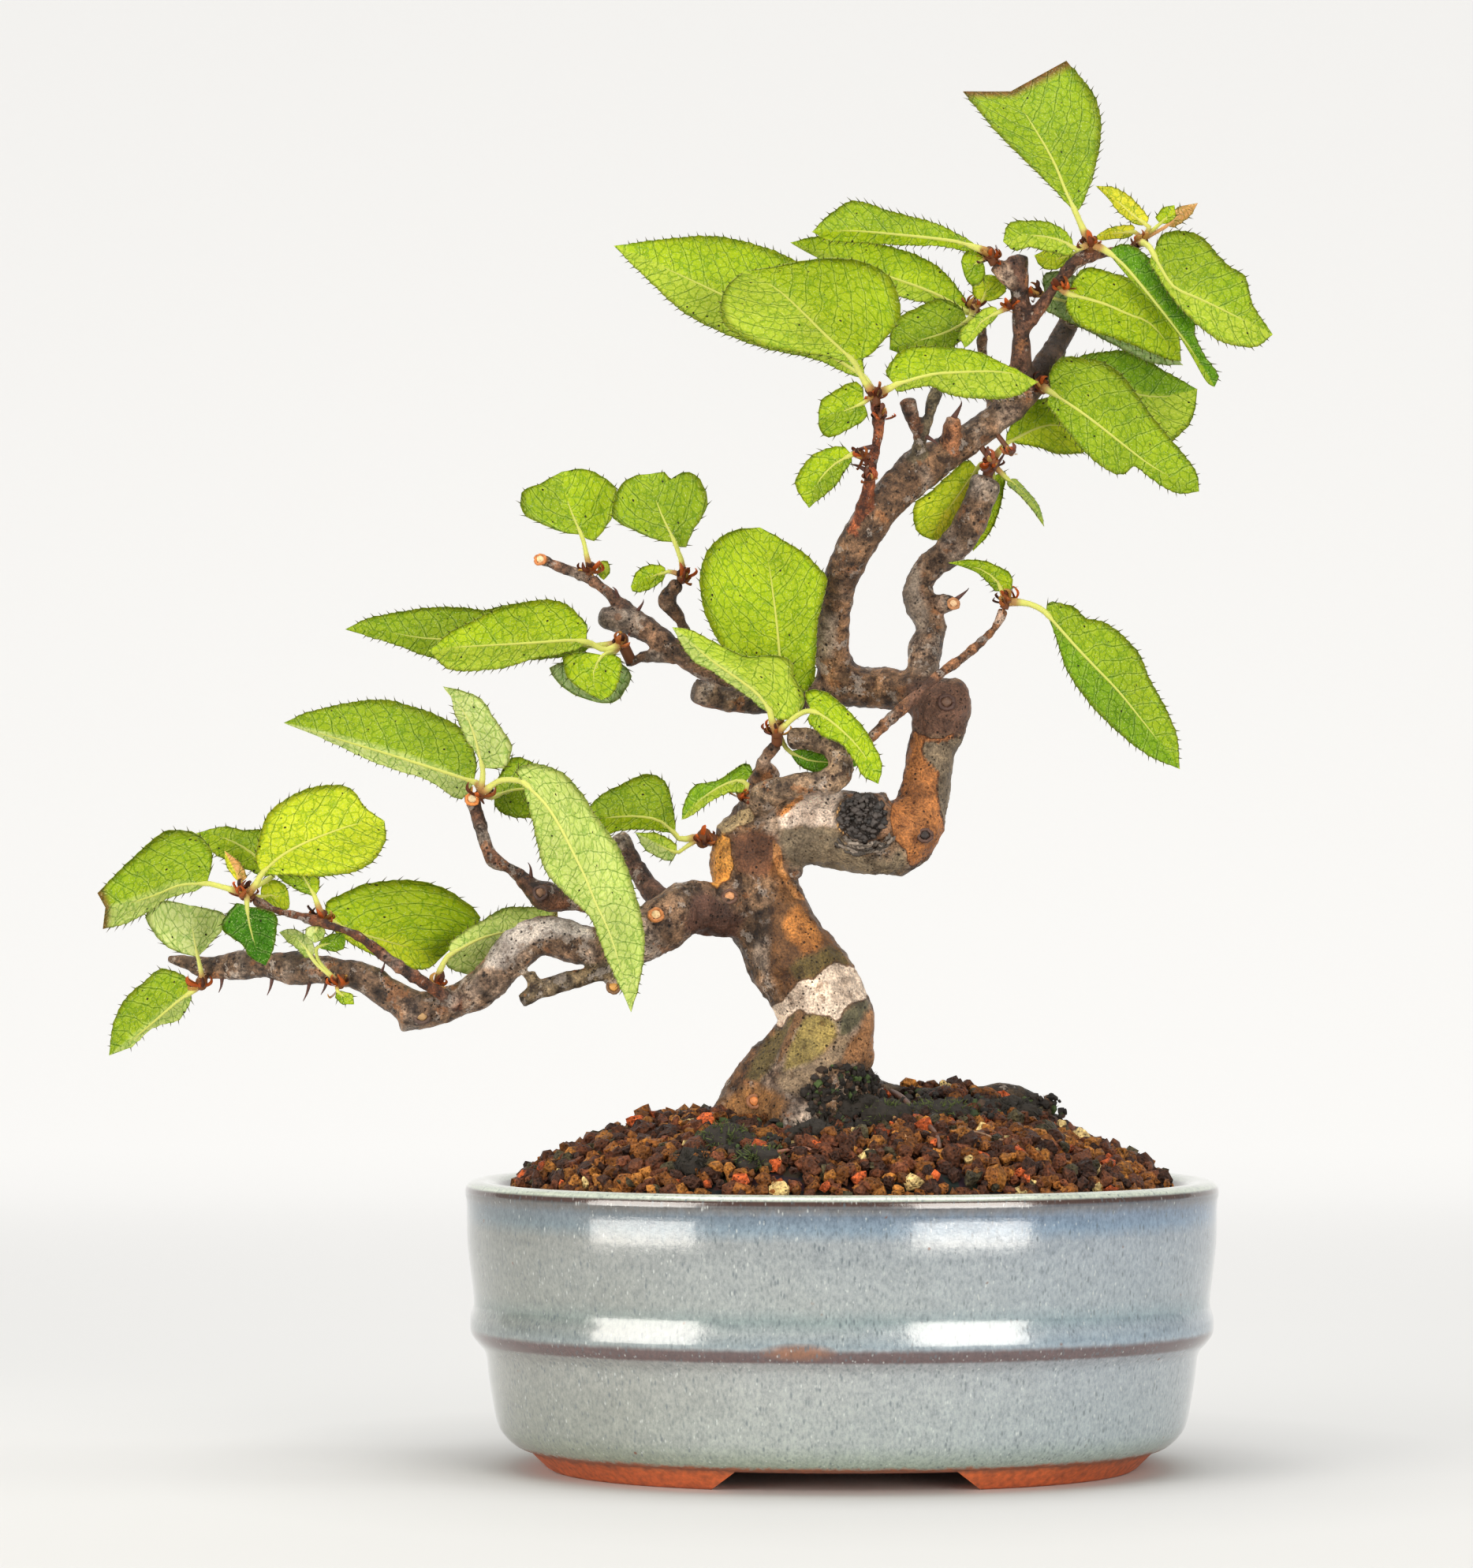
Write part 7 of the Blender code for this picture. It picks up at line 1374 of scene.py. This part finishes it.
def plain_tint_material(name, roughness, scale, contrast):
    """A finish that takes its colour from the mesh and breaks it with one noise."""
    made, web, shader = nodes_of(name, roughness)
    mottle = noise(place_of(web), scale, 5.0, 0.7)
    feed(shader, "Base Color", tinted(colour_of(web),
                                      ramp(mottle, ((0.3, 1 - contrast), (0.7, 1 + contrast)))))
    bump(shader, mottle, 0.5, 0.0003)
    return made


def oval(half_x, half_y, steps):
    """x and y round an oval: its half sizes times cosine and sine to the power 2 / squareness."""
    angle = full_turn(steps)
    power = 2 / POT_SQUARENESS
    across, along = np.cos(angle), np.sin(angle)
    return (half_x * np.sign(across) * np.abs(across) ** power,
            half_y * np.sign(along) * np.abs(along) ** power)


def oval_ring(half_length, z, steps):
    """One level of the pot."""
    return np.stack((*oval(half_length, half_length * ARCH_RATIO, steps), np.full(steps, float(z))), axis=1)


def loft(name, rings):
    """A closed solid through rings of points, capped at both ends by a fan to the middle."""
    steps = len(rings[0])
    points = np.vstack(rings)
    ends = np.array((rings[0].mean(axis=0), rings[-1].mean(axis=0)))
    quads, low, high = capped_faces(len(rings), steps)
    return make_mesh(name, np.vstack((points, ends)), [quads, low, high])


def combine(thing, others, operation):
    """Joins or cuts thing with others as whole meshes, and removes them."""
    group = bpy.data.collections.new(operation.lower())
    bpy.context.scene.collection.children.link(group)
    for other in others:
        bpy.context.scene.collection.objects.unlink(other)
        group.objects.link(other)
    step = thing.modifiers.new(operation.title(), "BOOLEAN")
    step.operation = operation
    step.operand_type = "COLLECTION"
    step.collection = group
    step.solver = "MANIFOLD"
    bake(thing)
    for other in others:
        bpy.data.objects.remove(other)
    bpy.data.collections.remove(group)
    return thing


def glaze_material():
    """Grey-green glaze with dark runs, bands by height: bare clay foot, red-brown where it breaks
    under the ridge, blue then brown under the rim and pale on the lip."""
    made, web, shader = nodes_of("glaze", 0.16)
    place = place_of(web)
    parts = parts_of(place)
    height = divided(parts["Z"], MM)
    drips = noise(stretched(place, (1, 1, 0.12)), 700, 3.0)
    wander = times(minus(drips, 0.5), 1.6)
    level = plus(height, wander)
    wide = noise(place, 42, 3.0, 0.5)
    across = scaled(parts["X"], 1 / (POT_LENGTH * MM), 0.5 - POT_MIDDLE[0] / POT_LENGTH)
    across = scaled(wide, 0.3, minus(across, 0.15))
    side = ramp(across, ((0.08, (0.22, 0.235, 0.22)), (0.42, (0.295, 0.325, 0.335)),
                         (0.85, (0.28, 0.33, 0.38))))
    base = tinted(side, ramp(divided(level, POT_HEIGHT), GLAZE_BANDS))
    edge = scaled(wander, 0.25, height)
    edge = divided(edge, POT_HEIGHT)
    broken = ramp(edge, ((0.44, 0.0), (0.447, 0.9), (0.478, 0.9), (0.492, 0.0)))
    base = over(broken, base, (0.075, 0.028, 0.027))
    gap = distance(stretched(place, (1, 0.25, 4)), ((POT_MIDDLE[0] - 8.6) * MM, -14 * MM, 25.6 * 4 * MM))
    chip = ramp(plus(gap, times(drips, 0.001)), ((0.0038, 1.0), (0.0044, 0.0)))
    base = over(chip, base, (0.22, 0.085, 0.035))
    sharp = divided(height, POT_HEIGHT)
    line = ramp(sharp, ((0.962, 0.0), (0.966, 1.0), (0.978, 1.0), (0.982, 0.0)))
    base = over(line, base, (0.055, 0.025, 0.018))
    lip = rising(sharp, 0.978, 0.984)
    base = over(lip, base, (0.5, 0.56, 0.47))
    mottle = noise(place, 380, 6.0, 0.7)
    base = tinted(base, ramp(mottle, ((0.3, (0.86, 0.86, 0.87)), (0.7, (1.14, 1.13, 1.12)))))
    speckle = noise(stretched(place, (1, 1, 0.6)), 1700, 3.0, 0.7)
    base = tinted(base, ramp(speckle, ((0.3, (0.68, 0.7, 0.73)), (0.5, (1.0, 1.0, 1.0)),
                                       (0.7, (1.22, 1.2, 1.18)))))
    upright = stretched(place, (1, 1, 0.38))
    runs = dots(upright, 1250, 0.16, 0.36)
    where = rising(noise(upright, 560, 3.0, 0.7), 0.42, 0.58)
    run_mask = times(times(runs, where), 0.7)
    base = over(run_mask, base, (0.09, 0.12, 0.14))
    light = dots(upright, 1500, 0.1, 0.3)
    some = ramp(noise(place, 700, 2.0), ((0.5, 0.0), (0.62, 0.5)))
    base = over(times(light, some), base, (0.7, 0.74, 0.72))
    rust = dots(place, 300, 0.07, 0.13)
    few = rising(noise(place, 210, 1.0), 0.6, 0.66)
    base = over(times(rust, few), base, (0.16, 0.07, 0.04))
    bare = ramp(divided(level, 10.0), ((0.42, 1.0), (0.48, 0.0)))
    fired = ramp(divided(level, 10.0), ((0.3, (0.56, 0.115, 0.022)), (0.37, (0.3, 0.085, 0.03))))
    clay = tinted(fired, ramp(noise(place, 800, 5.0), ((0.3, 0.6), (0.7, 1.3))))
    base = over(bare, base, clay)
    feed(shader, "Base Color", base)
    rough = scaled(bare, 0.55, times(mottle, 0.2))
    feed(shader, "Roughness", rough)
    feed(shader, "Specular IOR Level", 0.95)
    feed(shader, "Coat Weight", scaled(bare, -0.8, 0.8))
    feed(shader, "Coat Roughness", 0.06)
    bump(shader, scaled(mottle, 0.4, wide), 0.2, 0.0008)
    return made


def pot(finish):
    """The pot: oval rings along its profile, with the foot line added and its arches cut out."""
    steps = POT_STEPS
    profile = smooth_run(POT_OUTSIDE, 80)
    inside = smooth_run((POT_OUTSIDE[-1],) + POT_INSIDE, 16)[1:]
    body = loft("pot_glaze", [oval_ring(half, z, steps) for half, z in np.vstack((profile, inside))])
    foot = loft("foot", [oval_ring(half, z, steps)
                         for half, z in ((54.0, 0), (54.9, 0.5), (58.4, FOOT_HEIGHT + 0.5))])
    inner = loft("foot_inside", [oval_ring(FOOT_INNER, z, steps) for z in (-1, FOOT_HEIGHT + 2)])
    rise = (FOOT_ARCH_GROUND - FOOT_ARCH_TOP) / FOOT_HEIGHT
    deep = POT_LENGTH
    arch = loft("foot_arch",
                [np.array([(wide, -deep, z), (wide, deep, z), (-wide, deep, z), (-wide, -deep, z)],
                          dtype=float) for wide, z in ((FOOT_ARCH_GROUND + rise, -1),
                                                       (FOOT_ARCH_TOP - 2 * rise, FOOT_HEIGHT + 2))])
    combine(foot, [inner, arch], "DIFFERENCE")
    combine(body, [foot], "UNION")
    turn = full_turn(48)
    holes = []
    for side in (-1, 1):
        rim = [np.stack((side * HOLE_OFFSET + HOLE_RADIUS * np.cos(turn), HOLE_RADIUS * np.sin(turn),
                         np.full(48, z)), axis=1) for z in (-1.0, POT_HEIGHT / 2)]
        holes.append(loft("hole", rim))
    combine(body, holes, "DIFFERENCE")
    set_smooth(body.data)
    body.data.set_sharp_from_angle(angle=math.radians(38))
    settle(body, finish, "pot")


def soil_height(x, y):
    """Top of the grains: a dome 16.5 (1 - r2)^0.7 over the oval, with a hill, a heap, and a dip
    before the trunk's foot."""
    share = (np.abs(x / 62.8) ** POT_SQUARENESS
             + np.abs(y / 50.2) ** POT_SQUARENESS) ** (1 / POT_SQUARENESS)
    dome = 16.5 * np.maximum(0.0, 1 - share ** 2) ** 0.7
    hill = 5.0 * np.exp(-((x - 22) ** 2 + (y - 12) ** 2) / 220)
    dip = 5.0 * np.exp(-((x + 6) / 14) ** 2 - ((y + 17) / 8) ** 2)
    heap = 2.0 * np.exp(-((x + 37) ** 2 + (y - 4) ** 2) / 40)
    return SOIL_EDGE + dome + hill + heap - dip, share


def on_soil(gx, gz):
    """The place where the line of sight through gx, gz first comes within 1 mm of the mound, or
    where it passes nearest."""
    depths = np.linspace(-48, 30, 400)
    line = seen(gx, gz, depths)
    above = line[:, 2] - soil_height(line[:, 0], line[:, 1])[0] - 1
    met = np.flatnonzero(above < 0)
    return line[met[0] if len(met) else np.argmin(above)]


def soil_bed(finish):
    """The near-black bed under the top grains, painted shade for the gaps between them: rings of the
    oval shrunk step by step, 1.2 mm below the grains' middles, closed by a wall and a floor."""
    rim = np.stack(oval(62.4, 49.8, 120), axis=1)
    scale = np.linspace(1, 0.02, 40)[:, None, None]
    flat = rim[None] * scale
    top = soil_height(flat[..., 0], flat[..., 1])[0] - 1.2
    rows = np.concatenate((flat, top[..., None]), axis=2)
    wall = np.concatenate((rim * 0.985, np.full((120, 1), SOIL_EDGE - 6)), axis=1)[None]
    rings = np.concatenate((wall, rows))
    points = np.vstack((rings.reshape(-1, 3), ((0, 0, SOIL_EDGE - 6), (0, 0, top[-1].mean()))))
    quads, low, high = capped_faces(len(rings), 120)
    settle(make_mesh("soil_bed", points, [quads, low, high]), finish, "soil")


def grain_form():
    """An eight-sided ball cut once: 18 corners and 32 faces."""
    corners = [(1, 0, 0), (-1, 0, 0), (0, 1, 0), (0, -1, 0), (0, 0, 1), (0, 0, -1)]
    sides = [(0, 2, 4), (2, 1, 4), (1, 3, 4), (3, 0, 4), (2, 0, 5), (1, 2, 5), (3, 1, 5), (0, 3, 5)]
    points = [np.array(c, dtype=float) for c in corners]
    middles = {}
    faces = []
    for a, b, c in sides:
        cut = []
        for i, j in ((a, b), (b, c), (c, a)):
            key = (min(i, j), max(i, j))
            if key not in middles:
                middles[key] = len(points)
                points.append(unit(points[i] + points[j]))
            cut.append(middles[key])
        faces += [(a, cut[0], cut[2]), (b, cut[1], cut[0]), (c, cut[2], cut[1]), tuple(cut)]
    return np.array(points), np.array(faces)


def grains(finish):
    """The soil's baked clay grains: seeded darts on the oval, each a sharp lumpy ball that sits with
    its middle near the mound's surface; round the trunk they are finer and darker."""
    draw = np.random.default_rng(5)
    form, sides = grain_form()
    x = draw.uniform(-63, 63, GRAIN_COUNT * 2)
    y = draw.uniform(-50, 50, GRAIN_COUNT * 2)
    z, share = soil_height(x, y)
    keep = np.flatnonzero(share < 0.985)[:GRAIN_COUNT]
    x, y, z, share = x[keep], y[keep], z[keep], share[keep]
    count = len(x)
    near = np.clip(1.15 - np.hypot((x - 4) / 27, (y + 1) / 16), 0, 1)
    size = (0.95 + 1.4 * draw.random(count) ** 1.4) * (1 - 0.4 * near)
    stretch = draw.uniform(0.68, 1.2, (count, 1, 3))
    lumps = draw.uniform(0.6, 1.12, (count, len(form), 1))
    turn = unit(draw.normal(size=(count, 4)))
    a, b, c, d = turn.T
    spin = np.stack((np.stack((1 - 2 * (c * c + d * d), 2 * (b * c - a * d), 2 * (b * d + a * c)), 1),
                     np.stack((2 * (b * c + a * d), 1 - 2 * (b * b + d * d), 2 * (c * d - a * b)), 1),
                     np.stack((2 * (b * d - a * c), 2 * (c * d + a * b), 1 - 2 * (b * b + c * c)), 1)), 1)
    ball = np.einsum("nij,nkj->nki", spin, form[None] * lumps * stretch)
    centre = np.stack((x, y, z + draw.uniform(-0.9, 0.9, count)), axis=1)
    inward = np.clip((share - 0.93) / 0.07, 0, 1)[:, None] * size[:, None] * 0.9
    centre[:, :2] -= unit(centre[:, :2]) * inward
    points = ball * size[:, None, None] + centre[:, None]
    faces = sides[None] + (np.arange(count) * len(form))[:, None, None]
    palette = np.array(((0.13, 0.045, 0.02), (0.27, 0.095, 0.02), (0.06, 0.025, 0.015), (0.46, 0.18, 0.035),
                        (0.085, 0.07, 0.035), (0.19, 0.06, 0.025), (0.85, 0.62, 0.26), (0.62, 0.12, 0.03)))
    pick = draw.choice(len(palette), count, p=(0.21, 0.23, 0.17, 0.13, 0.08, 0.12, 0.025, 0.035))
    pick = np.where((near > 0.45) & (draw.random(count) < 0.8), 2, pick)
    colour = palette[pick] * draw.uniform(0.55, 1.35, (count, 1)) * (1 - 0.5 * near)[:, None]
    tint = np.repeat(colour, len(form), axis=0)
    thing = make_mesh("soil_grains", points.reshape(-1, 3), faces.reshape(-1, 3), tint=tint, smooth=False)
    settle(thing, finish)


def moss(finish):
    """Clumps of dark moss at the trunk's foot: for each a ball of 24 by 14 points, pushed out and in
    by noise, and a coat of seeded spikes 0.6 to 1.9 mm long. Dark crumbs lie on the foot and roots,
    each where the line of sight first meets wood or soil."""
    draw = np.random.default_rng(12)
    work = Builder()
    turn, rise = np.meshgrid(full_turn(24), np.linspace(0.02, math.pi - 0.02, 14))
    ball = np.stack((np.sin(rise) * np.cos(turn), np.sin(rise) * np.sin(turn), np.cos(rise)),
                    axis=-1).reshape(-1, 3)
    for (gx, gz), reach, number in CLUMPS:
        heart = on_soil(gx, gz - reach[2] * 0.4) + np.array((0, 2.2, -reach[2] * 0.25))
        points = heart + ball * reach
        bulge = lattice_noise(points, 2.2, 31) + lattice_noise(points, 0.9, 32) * 0.5
        points += ball * bulge[:, None]
        work.add(points, grid_faces(14, 24, closed=True), (0.02, 0.015, 0.01))
        out = unit(draw.normal(size=(number, 3)) + np.array((0, -0.6, 0.5)))
        root = heart + out * reach * draw.uniform(0.8, 1.05, (number, 1))
        lean = unit(out + draw.normal(size=(number, 3)) * 0.8)
        tip = root + lean * draw.uniform(0.6, 1.9, (number, 1))
        low, high = SPIKE_TONES[draw.choice(3, p=(0.5, 0.2, 0.3))]
        add_spikes(work, root, tip, 0.2, low, high)
    form, sides = grain_form()
    for middle_x, middle_z, reach_x, reach_z, number in CRUMBS:
        for turn, share in zip(draw.uniform(0, 2 * math.pi, number), np.sqrt(draw.random(number))):
            gx = middle_x + reach_x * share * math.cos(turn)
            gz = middle_z + reach_z * share * math.sin(turn)
            place = min(on_wood(gx, gz), on_soil(gx, gz), key=lambda spot: spot[1])
            lump = form * draw.uniform(0.35, 0.95) * draw.uniform(0.6, 1.3, 3)
            lump *= draw.uniform(0.7, 1.15, (len(form), 1))
            hue = CRUMB_TONES[draw.choice(3, p=(0.66, 0.2, 0.14))]
            work.add(place + lump, sides, np.array(hue) * draw.uniform(0.6, 1.6))
    settle(work.finish("moss", smooth=False), finish)


def soil_material():
    """Porous grains: the mesh's colour, mottled, with dark pits and wet glints."""
    made, web, shader = nodes_of("soil", 0.6)
    feed(shader, "Specular IOR Level", 0.3)
    place = place_of(web)
    mottle = noise(place, 900, 6.0, 0.75)
    pores = cells(place, 1500)
    base = tinted(colour_of(web), ramp(mottle, ((0.3, (0.3, 0.26, 0.24)), (0.5, (0.95, 0.95, 0.95)),
                                                (0.68, (2.1, 2.1, 1.9)))))
    base = tinted(base, ramp(pores, ((0.14, 0.15), (0.34, 1.0), (0.7, 1.25))))
    feed(shader, "Base Color", base)
    feed(shader, "Roughness", ramp(mottle, ((0.4, 0.28), (0.6, 0.75))))
    height = plus(mottle, pores)
    bump(shader, height, 1.0, 0.0009)
    return made


def bed_material():
    """The soil under the top grains: near-black crumbs, painted shade for the gaps between the grains."""
    made, web, shader = nodes_of("soil_bed", 0.95)
    place = place_of(web)
    crumbs = cells(place, 420, "F1", "Color")
    # Painted shade: the bed is near-black so that the gaps between the top grains read dark.
    feed(shader, "Base Color", tinted(crumbs, (0.035, 0.018, 0.012)))
    bump(shader, cells(place, 420), 0.8, 0.001)
    return made


def plastic_material():
    """Dark plastic of the drainage screens."""
    made, web, shader = nodes_of("screen_plastic", 0.45)
    fine = noise(place_of(web), 1500, 3.0)
    feed(shader, "Base Color", ramp(fine, ((0.3, 0.015), (0.7, 0.03))))
    bump(shader, fine, 0.2, 0.0001)
    return made


def studio():
    """A lit white sweep, two softboxes that stand on the table, a wide light above, and the camera
    at the photograph's place."""
    made, web, shader = nodes_of("paper", 0.8)
    feed(shader, "Base Color", (0.68, 0.68, 0.67, 1))
    feed(shader, "Specular IOR Level", 0.1)
    parts = parts_of(place_of(web))
    feed(shader, "Emission Color", (1.0, 0.99, 0.975, 1))
    glow = scaled(parts["Y"], 0.43, 0.12)
    glow = calc("MINIMUM", calc("MAXIMUM", glow, 0.05), 0.55)
    # Painted shadow: the floor's glow is cut to nothing within 50 mm of the pot's middle and is whole only
    # from 130 mm out, darkening the floor round and under the pot.
    shadow_round_pot = rising(distance(place_of(web), tuple(POT_MIDDLE * MM)), 0.05, 0.13)
    feed(shader, "Emission Strength", times(glow, shadow_round_pot))
    x = np.linspace(-2500, 2500, 2)
    run = np.linspace(-215, 2600, 60)
    bend = np.clip((run - 900) / 900, 0, None)
    points = np.stack(np.broadcast_arrays(x[None, :], run[:, None], 900 * bend[:, None] ** 2 - 0.05),
                      axis=-1)
    floor = make_mesh("floor", points.reshape(-1, 3), grid_faces(60, 2)[:, ::-1])
    floor.data.materials.append(made)
    lights = (
        ("left_box", (-576, -502, 205), (0, 0, 150), 470, 460, 4.0, (1, 0.95, 0.88)),
        ("right_box", (344, -640, 205), (0, 0, 150), 390, 460, 3.6, (1, 0.95, 0.88)),
        ("overhead", (0, -40, 780), (0, 0, 100), 640, 480, 3.4, (1, 1, 1)),
    )
    for name, place, target, wide, high, power, colour in lights:
        data = bpy.data.lights.new(name, "AREA")
        data.shape = "RECTANGLE"
        data.size = wide * MM
        data.size_y = high * MM
        data.energy = power
        data.color = colour
        aim(in_scene(name, data), place, target)
    world = bpy.data.worlds.new("white_room")
    world.use_nodes = True
    background = world.node_tree.nodes["Background"]
    feed(background, "Color", (1.0, 0.99, 0.97, 1))
    feed(background, "Strength", 0.34)
    bpy.context.scene.world = world
    lens = bpy.data.cameras.new("camera")
    lens.lens = LENS
    lens.clip_start = 0.05
    lens.clip_end = 20
    camera = in_scene("camera", lens)
    aim(camera, (EYE_X, -EYE_DISTANCE, EYE_Z), (EYE_X, 0, AIM_Z))
    bpy.context.scene.camera = camera
    bpy.context.scene.view_settings.view_transform = "Standard"


def aim(thing, place, target):
    """Puts a lamp or the camera at a place and turns its -Z axis to the target."""
    start, end = ((np.array(p, dtype=float) + POT_MIDDLE) * MM for p in (place, target))
    back = unit(start - end)
    right = unit(np.cross((0, 0, 1.0), back))
    up = np.cross(back, right)
    matrix = np.eye(4)
    matrix[:3, 0], matrix[:3, 1], matrix[:3, 2], matrix[:3, 3] = right, up, back, start
    thing.matrix_world = matrix.T.tolist()


def paint_node(name, finish):
    """Gives a CAD node its material."""
    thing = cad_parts[name]
    thing.data.materials.clear()
    thing.data.materials.append(finish)


studio()
pot(glaze_material())
grains(soil_material())
moss(plain_tint_material("moss", 0.8, 900, 0.5))
soil_bed(bed_material())
for screen in ("screen_left", "screen_right"):
    paint_node(screen, plastic_material())
tree(bark_material())
bark_details(plain_tint_material("callus", 0.5, 1400, 0.4))
blade = leaf_material()
for shoot_name in SPRAYS:
    shoot(shoot_name, blade)
